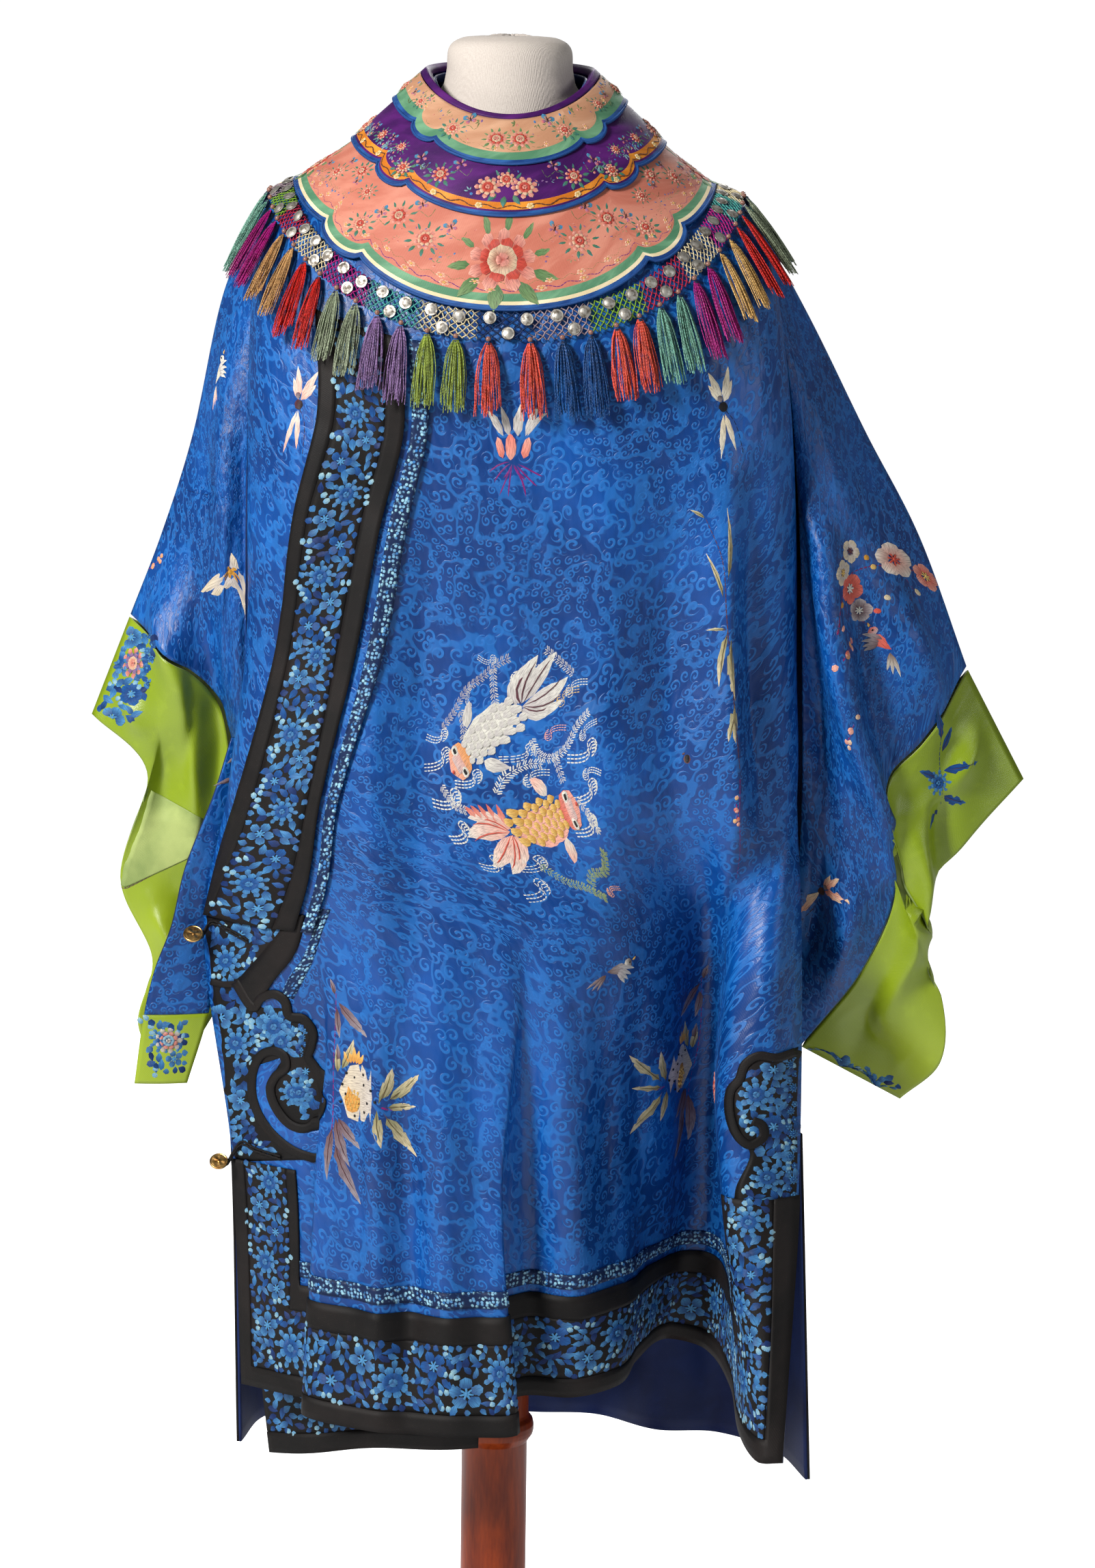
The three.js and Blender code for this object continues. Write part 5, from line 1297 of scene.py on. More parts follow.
# %% Petals
SILKS = {"night": (12, 34, 84), "deep": (16, 56, 118), "mid": (30, 92, 158), "sky": (78, 144, 194),
    "pale": (168, 206, 208), "white": (222, 220, 208), "cream": (222, 206, 172), "ash": (158, 150, 156),
    "grey": (190, 184, 184), "rose": (226, 118, 104), "pink": (236, 170, 152), "coral": (206, 84, 68),
    "blood": (158, 38, 34), "orange": (226, 150, 62), "amber": (206, 148, 56), "gold": (222, 186, 108),
    "plum": (92, 52, 62), "brown": (98, 62, 48), "magenta": (140, 22, 108), "violet": (104, 40, 120),
    "olive": (122, 124, 76), "leaf": (74, 116, 70), "fern": (126, 152, 104), "sage": (158, 166, 128),
    "ink": (18, 16, 20), "teal": (60, 128, 128), "lilac": (150, 126, 158)}
SILK = {name: colour(*value)[:3] for name, value in SILKS.items()}
ROUND, POINTED, FAN, EVEN = range(4)
COLUMNS = 15
GOLDEN_ANGLE = 137.5


def petal(x, y, angle, length, width, base, tip, bend=0.0, kind=ROUND, height=0.55, rise=0.0):
    """One padded petal: where it starts, its direction in degrees, its size and its two colours."""
    return [x, y, np.radians(angle), length, width, bend, kind, height, rise, *SILK[base], *SILK[tip]]


def moved(rows, x=0.0, y=0.0, angle=0.0, size=1.0, rise=0.0):
    """The same motif turned, scaled and shifted."""
    rows = np.array(rows, float)
    c = np.cos(np.radians(angle)) * size
    s = np.sin(np.radians(angle)) * size
    rows[:, 0], rows[:, 1] = x + c * rows[:, 0] - s * rows[:, 1], y + s * rows[:, 0] + c * rows[:, 1]
    rows[:, 2] += np.radians(angle)
    rows[:, 3:5] *= size
    rows[:, 8] += rise
    return rows


def mirrored(rows):
    """The same motif with left and right exchanged."""
    rows = np.array(rows, float)
    rows[:, 0] *= -1
    rows[:, 2] = np.pi - rows[:, 2]
    rows[:, 5] *= -1
    return rows


def stem(points, width, base, tip=None, step=4.0, height=0.35, rise=0.0):
    """A line of stem stitch: short even stitches, each lapping the next, along a curve through the points."""
    p = np.asarray(points, float)
    ways = ways_along(p)
    count = max(2, int(ways[-1] / step))
    at = np.linspace(0, ways[-1], count + 1)
    line = np.stack([through(ways, p[:, k], at) for k in range(2)], -1)
    d = np.diff(line, axis=0)
    length = np.hypot(*d.T)
    rows = np.zeros((count, COLUMNS))
    rows[:, :2] = line[:-1] - d * 0.12
    rows[:, 2] = np.arctan2(d[:, 1], d[:, 0])
    rows[:, 3] = length * 1.24
    rows[:, 4] = width
    rows[:, 6] = EVEN
    rows[:, 7] = height
    rows[:, 8] = rise
    rows[:, 9:12] = SILK[base]
    rows[:, 12:15] = SILK[tip or base]
    return rows


def lay(rows, place, along=5, over=3):
    """Points, faces, map and colours of petals: a bent midrib, a width by kind, highest on the midrib."""
    rows = np.asarray(rows, float)
    x, y, angle, length, width, bend, kind, height, rise = (rows[:, k][:, None, None] for k in range(9))
    a = np.linspace(0, 1, along)[None, :, None]
    b = np.linspace(-1, 1, over)[None, None, :]
    bend = np.where(np.abs(bend) < 1e-3, 1e-3, bend)
    start = angle - bend / 2
    turn = start + bend * a
    round_width = np.sqrt(np.clip(1 - (2 * a - 1) ** 2, 0, 1))
    pointed = np.sin(np.pi * a ** 0.8) ** 1.1
    fan = np.sin(np.pi * a ** 1.6) ** 0.7
    even = np.clip(1 - np.abs(2 * a - 1) ** 5, 0, 1)
    profile = np.choose(kind.astype(int), [round_width, pointed, fan, even])
    half = width / 2 * profile
    px = x + length * (np.sin(turn) - np.sin(start)) / bend - np.sin(turn) * b * half
    py = y - length * (np.cos(turn) - np.cos(start)) / bend + np.cos(turn) * b * half
    h = height * (1 - b ** 2) * np.sqrt(profile) + rise * profile - 0.2
    points = place(px, py, h)
    mix = (a * np.ones_like(b))[..., None]
    tint = rows[:, None, None, 9:12] * (1 - mix) + rows[:, None, None, 12:15] * mix
    tint = np.broadcast_to(tint, points.shape)
    chart = np.stack(np.broadcast_arrays(a * length, b * half + 0 * a), -1) / 1000
    count = len(rows)
    n, j, i = np.meshgrid(np.arange(count), np.arange(along - 1), np.arange(over - 1), indexing="ij")
    base = (n * along + j) * over + i
    faces = np.stack([base, base + over, base + over + 1, base + 1], -1).reshape(-1, 4)
    return points.reshape(-1, 3), faces, chart.reshape(-1, 2)[faces], tint.reshape(-1, 3)


stitched, tree, shader = material("stitched_silk", specular_ior_level=0.25)
place = cloth_map(tree)
parts = node(tree, "ShaderNodeSeparateXYZ", {0: place})
threads = maths(tree, "SINE", maths(tree, "MULTIPLY", parts.outputs[1], 11000.0))
streaks = noise(tree, node(tree, "ShaderNodeMapping", {"Vector": place,
    "Scale": (160.0, 1900.0, 1.0)}).outputs[0], 1.0)
share = maths(tree, "MULTIPLY_ADD", threads, 0.14, ramp(tree, streaks, 0.3, 0.62))
dress(tree, shader, base_color=thread_tone(tree, share, (0.5, 0.48, 0.5, 1)),
    roughness=maths(tree, "MULTIPLY_ADD", streaks, 0.25, 0.34))
bump(tree, shader, maths(tree, "MULTIPLY_ADD", threads, 0.5, streaks), 0.5, 0.0003)


def embroider(name, work):
    """One mesh from pairs of a motif and the rule that lays it on its cloth."""
    parts = [lay(rows, rule) for rows, rule in work]
    counts = np.cumsum([0] + [len(p[0]) for p in parts])
    faces = np.concatenate([p[1] + shift for p, shift in zip(parts, counts)])
    build(name, np.concatenate([p[0] for p in parts]), faces, np.concatenate([p[2] for p in parts]),
        [stitched], threads=np.concatenate([p[3] for p in parts]))
    print(name, "petals", sum(len(rows) for rows, rule in work), "triangles", 2 * len(faces))


# %% Flowers of the borders
def way_of(degrees):
    """Sideways and upward steps in a direction."""
    return np.cos(np.radians(degrees)), np.sin(np.radians(degrees))


def blossom(r, base, rim, heart="cream", petals=5, turn=90.0):
    """A plum blossom: five round petals, a heart and stamens."""
    rows = []
    for k in range(petals):
        angle = turn + 360 / petals * k
        c, s = way_of(angle)
        rows.append(petal(0.16 * r * c, 0.16 * r * s, angle, 0.86 * r, 4.6 * r / petals, base, rim,
            height=0.7))
    for k in range(petals + 2):
        angle = turn + 20 + 360 / (petals + 2) * k
        rows.append(petal(0, 0, angle, 0.4 * r, 0.09 * r + 0.25, heart, heart, kind=EVEN, rise=0.55,
            height=0.3))
    rows.append(petal(-0.12 * r, 0, 0, 0.24 * r, 0.24 * r, heart, heart, rise=0.75))
    return rows


def peony(r, tones, turn=0.0, flat=1.0):
    """A peony: rings of broad petals, each ring smaller, higher and in its own two tones."""
    rows = []
    for count, out, size, rise, (base, rim) in ((9, 0.44, 0.58, 0, tones[0]),
        (8, 0.22, 0.5, 0.35, tones[1]), (6, 0.05, 0.42, 0.7, tones[2]), (3, -0.06, 0.26, 1.0, tones[0])):
        for k in range(count):
            angle = turn + 360 / count * (k + 0.5 * (rise > 0.3))
            c, s = way_of(angle)
            rows.append(petal(out * r * c, out * r * s * flat, angle, size * r,
                0.62 * size * r * 9 / max(6, count) * 1.1, base, rim, kind=FAN, rise=rise, height=0.6))
    return rows


BLUE_TONES = [("night", "mid"), ("deep", "sky"), ("night", "deep"), ("deep", "mid"), ("deep", "sky"),
    ("mid", "sky")]
BLUE_PEONY = [("deep", "sky"), ("mid", "sky"), ("deep", "mid")]


def bed(x0, x1, y0, y1, seed, busy=5.4):
    """A packed border: peonies and blossoms on a zigzag, then leaves and crescent buds in what is left."""
    dice = np.random.default_rng(seed)
    tall = (y1 - y0) > (x1 - x0)
    length, width = max(x1 - x0, y1 - y0), min(x1 - x0, y1 - y0)
    rows = []
    taken = []
    s = 0.34 * width
    k = 0
    while s < length - 0.2 * width:
        large = k % 3 == 1
        r = width * (0.35 if large else 0.26) * dice.uniform(0.92, 1.08)
        d = width * (0.5 + (0.1 if large else 0.2) * (-1) ** k)
        x, y = (x0 + d, y0 + s) if tall else (x0 + s, y0 + d)
        flower = (peony(r, BLUE_PEONY, dice.uniform(0, 90)) if large
            else blossom(r, *(("deep", "sky"), ("mid", "pale"), ("deep", "mid"))[k % 3 if k % 3 != 1
            else 0], "sky", turn=dice.uniform(0, 72)))
        rows.append(moved(flower, x, y))
        taken.append((x, y, r))
        s += r + width * (0.3 if large else 0.25)
        k += 1
    tries = dice.uniform(0, 1, (int(length * width / 1.1), 2)) * [x1 - x0, y1 - y0] + [x0, y0]
    kept = []
    for x, y in tries:
        if any((x - a) ** 2 + (y - b) ** 2 < (r + 1.2) ** 2 for a, b, r in taken):
            continue
        if kept and (((np.array(kept) - (x, y)) ** 2).sum(1) < busy ** 2).any():
            continue
        kept.append((x, y))
    for n, (x, y) in enumerate(kept):
        angle = dice.uniform(0, 360)
        c, s = way_of(angle)
        base, tip = BLUE_TONES[dice.integers(len(BLUE_TONES))]
        length = dice.uniform(10, 14) * busy / 5.4
        margin = min(x - x0, x1 - x, y - y0, y1 - y)
        length = min(length, 2 * margin + 5.0)
        if n % 8 == 0:
            for side in (-1, 1):
                rows.append([petal(x + side * 1.6 * s, y - side * 1.6 * c, angle, 6.0, 4.2, "sky", "pale",
                    side * 1.3, ROUND, 0.7, 0.2)])
        else:
            rows.append([petal(x - c * length / 2, y - s * length / 2, angle, length,
                dice.uniform(5.2, 7.2), base, tip, dice.uniform(-0.9, 0.9), POINTED, 0.6, 0.1)])
    return np.concatenate(rows)


def on_front(lift):
    """Border drawings on the front: x from the left edge, y up from the hem."""
    return lambda x, y, h: front(x / FRONT_WIDTH, HEM - y, h + lift)


def on_back(lift):
    """Border drawings on the back."""
    return lambda x, y, h: rear(x / BACK_WIDTH, HEM - y, h + lift)


embroider("front_border_flowers", [(np.concatenate([bed(15, FRONT_WIDTH - 15, 19, 70.5, 3),
    bed(15, 54.5, 74, 189, 4), bed(FRONT_WIDTH - 54.5, FRONT_WIDTH - 15, 74, 189, 5)]),
    on_front(BAND_TOP))])
embroider("back_border_flowers", [(np.concatenate([bed(15, BACK_WIDTH - 15, 19, 70.5, 6, 6.0),
    bed(15, 54.5, 74, 189, 7, 6.0), bed(BACK_WIDTH - 54.5, BACK_WIDTH - 15, 74, 189, 8, 6.0)]),
    on_back(BAND_TOP))])
OVERLAP_WIDTH = 40.0
LAP_WIDTH = 188.0
overlap_band = overlap(2, 3)
embroider("overlap_flowers", [(bed(1.5, 38.5, -466, -3, 9), lambda x, y,
    h: overlap_band(x / OVERLAP_WIDTH, OVERLAP_TOP - y, h + 5.6))])
embroider("lap_flowers", [(bed(3, 185, 396, 447, 10), lambda x, y,
    h: under_lap(x / LAP_WIDTH, y, h + BAND_TOP))])

# %% [markdown]
# ## Motifs of the field
# Goldfish and waterweed, fruit, birds, insects and sprays are stitched in paler silks
# over the blue. Each is drawn here afresh in millimetres from its own centre, with the
# same petals and stems, and a rule lays its centre on the spot where it is seen.


# %% Laying a motif on a spot
def laid_at(surface, a0, b0, step_a, step_b, lift):
    """The rule that lays x to the right and y upwards from one spot, as seen from outside."""
    a = np.array([a0, a0 + step_a, a0])
    b = np.array([b0, b0, b0 + step_b])
    p = surface(a, b, 0.0)
    along_a = (p[1] - p[0]) / step_a
    along_b = (p[2] - p[0]) / step_b
    n = (surface(a, b, 1.0) - p)[0]
    n /= np.linalg.norm(n)
    top = np.array([0, 0, 1.0]) - n * n[2]
    top /= np.linalg.norm(top)
    right = np.cross(top, n)
    turn = np.linalg.inv([[along_a @ right, along_b @ right], [along_a @ top, along_b @ top]])
    return lambda x, y, h: surface(a0 + turn[0, 0] * x + turn[0, 1] * y,
        b0 + turn[1, 0] * x + turn[1, 1] * y, h + lift)


def seen_at(surface, pixel, range_a, range_b, lift=0.0):
    """The rule for the nearest spot of a surface that the picture shows at this pixel."""
    a, b = np.meshgrid(np.linspace(*range_a, 70), np.linspace(*range_b, 70))
    p = surface(a, b, 0.0)
    miss = np.hypot(*np.moveaxis(on_picture(p) - pixel, -1, 0)) + 0.06 * (p @ FORWARD)
    k = np.unravel_index(miss.argmin(), miss.shape)
    at = np.array([a[k], b[k]])
    step = np.array([range_a[1] - range_a[0], range_b[1] - range_b[0]]) * 1e-3
    for turn in range(6):
        around = on_picture(surface(at[0] + np.array([0, step[0], 0]), at[1] + np.array([0, 0, step[1]]),
            0.0))
        slope = np.stack([(around[1] - around[0]) / step[0], (around[2] - around[0]) / step[1]], -1)
        at = at + np.clip(np.linalg.lstsq(slope, pixel - around[0], rcond=None)[0], -20 * step, 20 * step)
    return laid_at(surface, at[0], at[1], step[0], step[1], lift)


def at_front(x, y):
    """On the front at a pixel."""
    return seen_at(front, (x, y), (0.02, 0.98), (190, 1000), SILK_TOP)


def at_right_sleeve(x, y):
    """On the front of the right sleeve at a pixel."""
    return seen_at(right_sleeve, (x, y), (0.02, 0.48), (0.05, 1.95), 1.0)


def at_left_sleeve(x, y):
    """On the front of the left sleeve at a pixel."""
    return seen_at(left_sleeve, (x, y), (0.02, 0.48), (0.05, 1.95), 1.0)


# %% Drawings of plants
def weed(points, base, tip, length=5.0, gap=3.4):
    """Waterweed: a thin stem with short needles in pairs."""
    rows = [stem(points, 1.6, base, tip)]
    for x, y, angle in rows[0][:, :3]:
        for side in (-55, 55):
            rows.append([petal(x, y, np.degrees(angle) + side, length, 1.8, base, tip, kind=EVEN,
                height=0.35)])
            rows.append([petal(x + gap / 2 * np.cos(angle), y + gap / 2 * np.sin(angle),
                np.degrees(angle) + side, length * 0.9, 1.8, base, tip, kind=EVEN, height=0.35)])
    return np.concatenate(rows)


def spray(points, leaves, base, tip, width=1.3, wood="magenta"):
    """A stem with pointed leaves: each leaf is x, y, direction, length and width."""
    rows = [stem(points, width, wood, wood)]
    for x, y, angle, length, wide in leaves:
        rows.append([petal(x, y, angle, length, wide, base, tip, 0.35, POINTED, 0.6, 0.15),
            petal(x, y, angle, length * 0.86, 0.5, "brown", base, 0.35, EVEN, 0.4, 0.75)])
    return np.concatenate(rows)


def ripple(x, y, size, tone, turn=0.0):
    """Water: three nested lines that curl at one end."""
    rows = []
    for k in range(3):
        d = 2.3 * k
        path = [(-16, -d), (-4, -d - 0.6), (5, -d + 1.6), (3 + d, 6 - d * 0.4), (9 + d, 9 - d),
            (14 - d * 0.6, 4 - d), (8, 2.4 - d)]
        rows.append(stem(path, 1.9, tone, tone, 3.6))
    return moved(np.concatenate(rows), x, y, turn, size)


def pomegranate():
    """A ripe fruit: cream skin with dark spots, split open on orange seeds, with a crown and leaves."""
    rows = [[petal(-18, 0, 0, 37, 36, "cream", "grey", height=1.1)]]
    for k in range(16):
        angle = np.radians(k * GOLDEN_ANGLE)
        r = 4.4 * np.sqrt(k + 1)
        x, y = -1 + r * np.cos(angle) * 0.86, r * np.sin(angle) * 0.82
        rows.append([petal(x - 1.1, y, 0, 2.3, 1.7, "ink", "ink", rise=1.15, height=0.2)])
    rows.append([petal(-11, -4, 0, 13, 17, "orange", "amber", rise=1.2, height=0.6)])
    for k in range(19):
        angle = np.radians(k * GOLDEN_ANGLE)
        r = 1.35 * np.sqrt(k)
        rows.append([petal(-5.4 + r * np.cos(angle) * 0.85, -4 + r * np.sin(angle) * 1.1, 0, 2.1, 2.2,
            "amber", "gold", rise=1.9, height=0.5)])
    for k, angle in enumerate((62, 78, 92, 106, 122)):
        rows.append([petal(-8 + 1.6 * k, 17, 180 - angle, 12 - abs(k - 2) * 1.4, 3.4, "orange", "gold", 0.2,
            POINTED, 0.7, 0.3)])
    rows.append(spray([(16, -6), (21, -8), (25, -7)], [(15, -4, 72, 26, 6.4), (17, -4, 44, 34, 6.6),
        (14, -8, -84, 25, 6.2), (17, -8, -58, 34, 7.0), (17, -6, 4, 20, 5.0), (-14, 12, 66, 25, 6.4),
        (-16, 10, 100, 17, 5.4)], "olive", "cream"))
    rows.append(spray([(-17, 60), (-19, 40), (-20, 18), (-18, -20), (-22, -40)],
        [(-17, 56, -40, 34, 7.4), (-17, 52, -84, 22, 6), (-18, 58, 110, 12, 5), (-16, -15, -72, 36, 8),
        (-15, -15, -50, 26, 7), (-17, -20, -96, 40, 7), (-16, -30, -68, 42, 8), (-17, 16, 92, 14, 5)],
        "plum", "ash"))
    return np.concatenate(rows)


def plum_branch():
    """A twig with open blossoms and round buds."""
    rows = [stem([(-30, -30), (-22, -8), (-8, 8), (12, 16), (34, 18), (52, 22)], 2.2, "magenta", "plum"),
        stem([(-22, -8), (-14, -20), (4, -30), (14, -36)], 1.2, "magenta", "plum"),
        stem([(34, 18), (46, 4), (50, -4)], 1.1, "magenta", "plum"),
        stem([(-16, 0), (-18, 18), (-12, 30)], 1.1, "plum", "magenta")]
    for x, y, r, base, tip, heart in ((-6, -2, 14, "coral", "rose", "white"),
        (-16, 13, 11, "grey", "cream", "gold"), (-4, 29, 10, "grey", "cream", "plum"),
        (33, 24, 15, "pink", "white", "coral"), (4, -22, 11, "plum", "grey", "white"),
        (56, 22, 9, "coral", "pink", "gold")):
        rows.append(moved(blossom(r, base, tip, heart, turn=x * 3), x, y, rise=0.4))
    for x, y, tone in ((9, 22, "amber"), (14, 14, "gold"), (-26, -30, "pink"), (22, -12, "cream"),
        (48, 2, "cream"), (15, -24, "coral"), (-24, -12, "amber")):
        rows.append([petal(x, y, 30 + x, 5.4, 4.6, tone, tone, rise=0.4)])
    return np.concatenate(rows)


def bud_cluster(tones):
    """A few buds on a short twig."""
    rows = [stem([(0, 0), (7, 9), (16, 14)], 1.2, "magenta")]
    for k, (x, y) in enumerate(((2, 6), (9, 13), (15, 10), (17, 17), (8, 3), (-3, -4))):
        rows.append([petal(x, y, 40 * k, 6.4, 5.4, tones[k % len(tones)], "pink", rise=0.3)])
    return np.concatenate(rows)


# %% Drawings of animals
def fish(scales, belly, face, tail):
    """A goldfish facing right: rows of scales like tiles, a round head with two eyes, a veil tail."""
    rows = []
    for k, (angle, length, wide, bend) in enumerate(((150, 34, 11, 0.9), (168, 40, 13, 0.5),
        (192, 42, 13, -0.5), (210, 34, 12, -0.9), (136, 24, 8, 1.2), (224, 24, 8, -1.2))):
        rows.append([petal(-20, 0, angle, length, wide, tail[0], tail[1], bend, POINTED, 0.7, 0.1 * (k % 2))])
        rows.append([petal(-22, 0, angle + 3, length * 0.8, 0.7, tail[2], tail[2], bend, EVEN, 0.3, 0.95)])
    rows.append([petal(-24, 0, 0, 50, 28, belly, belly, 0.3, ROUND, 0.9)])
    for j in range(9):
        x = -19 + 4.4 * j
        reach = 11.5 * np.sqrt(max(0.05, 1 - ((x + 1) / 26) ** 2))
        count = max(2, int(reach * 2 / 4.6))
        for i in range(count):
            y = -reach + (i + 0.5) * 2 * reach / count + (1.1 if j % 2 else -1.1)
            rows.append([petal(x + 3.4, y + 1, 180, 6.6, 5.2, *scales, kind=FAN, height=0.55,
                rise=0.9 + 0.03 * j)])
    for side in (-1, 1):
        rows.append([petal(10, side * 11, side * 125, 17, 8, tail[1], tail[0], side * 0.5, POINTED, 0.7,
            0.4)])
    rows.append([petal(14, 0, 0, 19, 22, face[0], face[1], height=1.2, rise=1.0),
        petal(19, 0, 0, 11, 13, face[1], "grey", height=0.6, rise=2.0)])
    for side in (-1, 1):
        rows.append([petal(20.4, side * 7.4, 0, 6.4, 6.4, "white", "white", rise=2.1),
            petal(21.8, side * 7.4, 0, 3.6, 3.6, "ink", "ink", rise=2.6)])
    rows.append([petal(31, 0, 90, 2.6, 2.0, "coral", "coral", rise=1.9)])
    return np.concatenate(rows)


def bird(body, wing, tail):
    """A small bird looking right and up: a round breast, layered wing feathers and a split tail."""
    rows = [[petal(-9, -4, 30, 22, 11, body[0], body[1], 0.4, FAN, 1.0),
        petal(6, 6, 40, 8, 7.6, wing[1], body[0], rise=0.6), petal(12.5, 11.6, 60, 4.6, 1.8, "gold",
        "amber", kind=POINTED, rise=0.6), petal(9, 9.4, 0, 1.7, 1.7, "ink", "ink", rise=1.4)]]
    for k in range(4):
        rows.append([petal(-1 + k, 2 - k * 1.4, 12 - k * 13, 20 - k * 2.5, 3.8, wing[0], wing[1], -0.4,
            POINTED, 0.5, 0.9 + 0.1 * k)])
    for k in range(3):
        rows.append([petal(-7, -5, -128 + k * 14, 22 - k * 3, 2.8, tail[0], tail[1], 0.1, POINTED, 0.5,
            0.2 + 0.1 * k)])
    return np.concatenate(rows)


def dragonfly(wing, body):
    """Four long wings from a knotted body, with a thin tail."""
    rows = []
    for angle, length in ((72, 27), (108, 25), (58, 18), (122, 17)):
        rows.append([petal(0, 2, angle, length, 5.2, wing[0], wing[1], 0.1, POINTED, 0.5, 0.2)])
    for angle, length in ((-78, 30), (-100, 34)):
        rows.append([petal(0, -2, angle, length, 5.2, wing[1], wing[0], -0.1, POINTED, 0.5, 0.1)])
    rows.append([petal(-3.4, 0, 0, 7, 6.4, body, "ink", rise=0.8),
        petal(-1.6, 3, 90, 5, 3.4, "ash", body, rise=0.9)])
    rows.append(stem([(1, -2), (7, -10), (10, -22), (11, -30)], 1.1, body, "ink"))
    return np.concatenate(rows)


def butterfly(upper, lower):
    """A butterfly: two pairs of rounded wings and feelers."""
    rows = []
    for side in (1, -1):
        pair = [petal(1, 1, 42, 17, 12, *upper, bend=0.4, kind=FAN, height=0.7),
            petal(1, -1, -38, 12, 9, *lower, bend=-0.4, kind=FAN, height=0.7),
            petal(1, 1, 44, 11, 5, lower[1], upper[0], 0.4, FAN, 0.5, 0.7)]
        rows.append(np.array(pair) if side > 0 else mirrored(pair))
    rows.append([petal(0, -6, 90, 12, 2.4, "plum", "ink", rise=0.8)])
    rows.append(stem([(0, 5), (3, 10), (6, 12)], 0.6, "ink"))
    return np.concatenate(rows)


def lotus():
    """A lotus bud with pale leaves above and threads of root below."""
    rows = [[petal(-7, -2, 112, 15, 6, "rose", "pink", kind=ROUND, rise=0.3),
        petal(-1.5, -3, 92, 17, 7, "pink", "rose", rise=0.6), petal(5, -2, 70, 15, 6, "rose", "pink",
        rise=0.3)]]
    for x, angle, length, wide, bend in ((-6, 138, 26, 6, 0.6), (-2, 112, 22, 6, 0.2), (2, 84, 22, 6, -0.1),
        (6, 50, 27, 6, -0.6), (7, 32, 30, 3.4, -0.9)):
        rows.append([petal(x, 10, angle, length, wide, "grey", "white", bend, POINTED, 0.6, 0.2)])
    for angle, length, bend in ((-160, 24, 0.6), (-140, 22, 0.4), (-118, 26, -0.2), (-98, 24, 0.2),
        (-72, 25, -0.3), (-42, 24, 0.5), (-22, 25, 0.3), (-128, 14, -0.8), (-56, 15, 0.8)):
        rows.append([petal(0, -3, angle, length, 1.3, "violet", "magenta", bend, EVEN, 0.4, 0.1)])
    return np.concatenate(rows)


def roundel():
    """Two goldfish circling among waterweed and ripples."""
    white = moved(fish(("grey", "white"), "white", ("orange", "pink"), ("grey", "white", "plum")), -22, 26,
        222, 1.22)
    gold = moved(fish(("amber", "gold"), "pink", ("coral", "pink"), ("pink", "white", "coral")), 16, -32,
        18, 1.22)
    flames = [petal(-12 - 5 * k, -38 + 1.5 * k, 96 + 11 * k, 19 - k, 5, "pink", "coral", 0.5, POINTED, 0.6,
        0.2) for k in range(5)]
    rows = [white, gold, flames]
    for path, base, tip in (([(-66, 28), (-56, 40), (-48, 54), (-34, 62), (-20, 72), (-10, 76)], "ash",
        "grey"), ([(-50, 40), (-44, 30), (-42, 20)], "ash", "white"),
        ([(-24, 68), (-22, 56), (-18, 44)], "grey", "white"), ([(8, 22), (16, 12), (28, 10), (42, 18),
        (50, 32), (62, 42)], "white", "white"), ([(-12, -14), (-4, 0), (8, 6), (20, 6)], "white", "white"),
        ([(30, 12), (36, 2), (40, -6)], "grey", "white"), ([(-4, -62), (8, -72), (24, -76), (38, -84)],
        "fern", "sage"), ([(-62, -10), (-52, -22), (-40, -26)], "grey", "white"),
        ([(40, 66), (26, 74), (12, 82)], "grey", "white"), ([(54, -16), (64, -26), (70, -38)], "grey",
        "white"), ([(30, -74), (38, -66), (54, -64), (66, -48)], "fern", "sage")):
        rows.append(weed(path, base, tip))
    for x, y, size, turn in ((-44, 48, 0.6, -100), (-66, 6, 1.0, 8), (-34, -6, 0.9, 0), (-58, -20, 1.1, -4),
        (2, 12, 0.8, 8), (60, 14, 1.1, 4), (64, -12, 1.0, 12), (62, 30, 0.7, -160), (-20, -80, 1.0, 6),
        (44, 58, 0.8, 186), (-58, -42, 1.0, 4), (-46, -62, 0.9, -6), (58, -34, 1.0, 8), (2, 66, 0.9, 186),
        (-70, 22, 0.8, -8), (14, -2, 0.8, 184), (-30, 74, 0.6, -20), (70, 2, 0.7, 170), (-8, -62, 0.8, 2)):
        rows.append(ripple(x, y, size, "white", turn))
    rows.append(ripple(36, 52, 0.8, "gold", 190))
    rows.append(ripple(28, 28, 0.7, "pink", 184))
    rows.append(ripple(50, -78, 0.6, "pink", 176))
    return np.concatenate(rows)


# %% Field of the front
seam = stem([(0, 98), (0, 0), (0, -110), (0, -226), (0, -330)], 0.55, "night", "night", 6.0, 0.15)
hole = [petal(-3.2, 0, 0, 6.4, 8.6, "brown", "plum", rise=0.1),
    petal(-2.3, 0.4, 0, 4.6, 6.2, "ink", "ink", rise=0.4), petal(-3.8, 3, 40, 3.4, 1.6, "plum", "brown",
    kind=POINTED, rise=0.2)]
ridge_spray = spray([(-14, 80), (-3, 50), (0, 10), (4, -30), (8, -66), (14, -110)],
    [(-14, 80, 150, 14, 3), (0, 30, 88, 60, 4.4), (2, 0, -96, 52, 4.6), (4, -10, -84, 54, 6),
    (-2, 20, 110, 40, 3.4), (1, -2, 190, 16, 3), (8, -60, -86, 34, 7), (8, -70, -100, 22, 4)], "olive",
    "cream", 1.2, "plum")
buds_down = np.concatenate([moved(bud_cluster(["pink", "coral", "gold"]), 10, -128, 230, 0.6),
    stem([(12, -110), (14, -140), (20, -170), (24, -190)], 1.2, "magenta", "violet")])
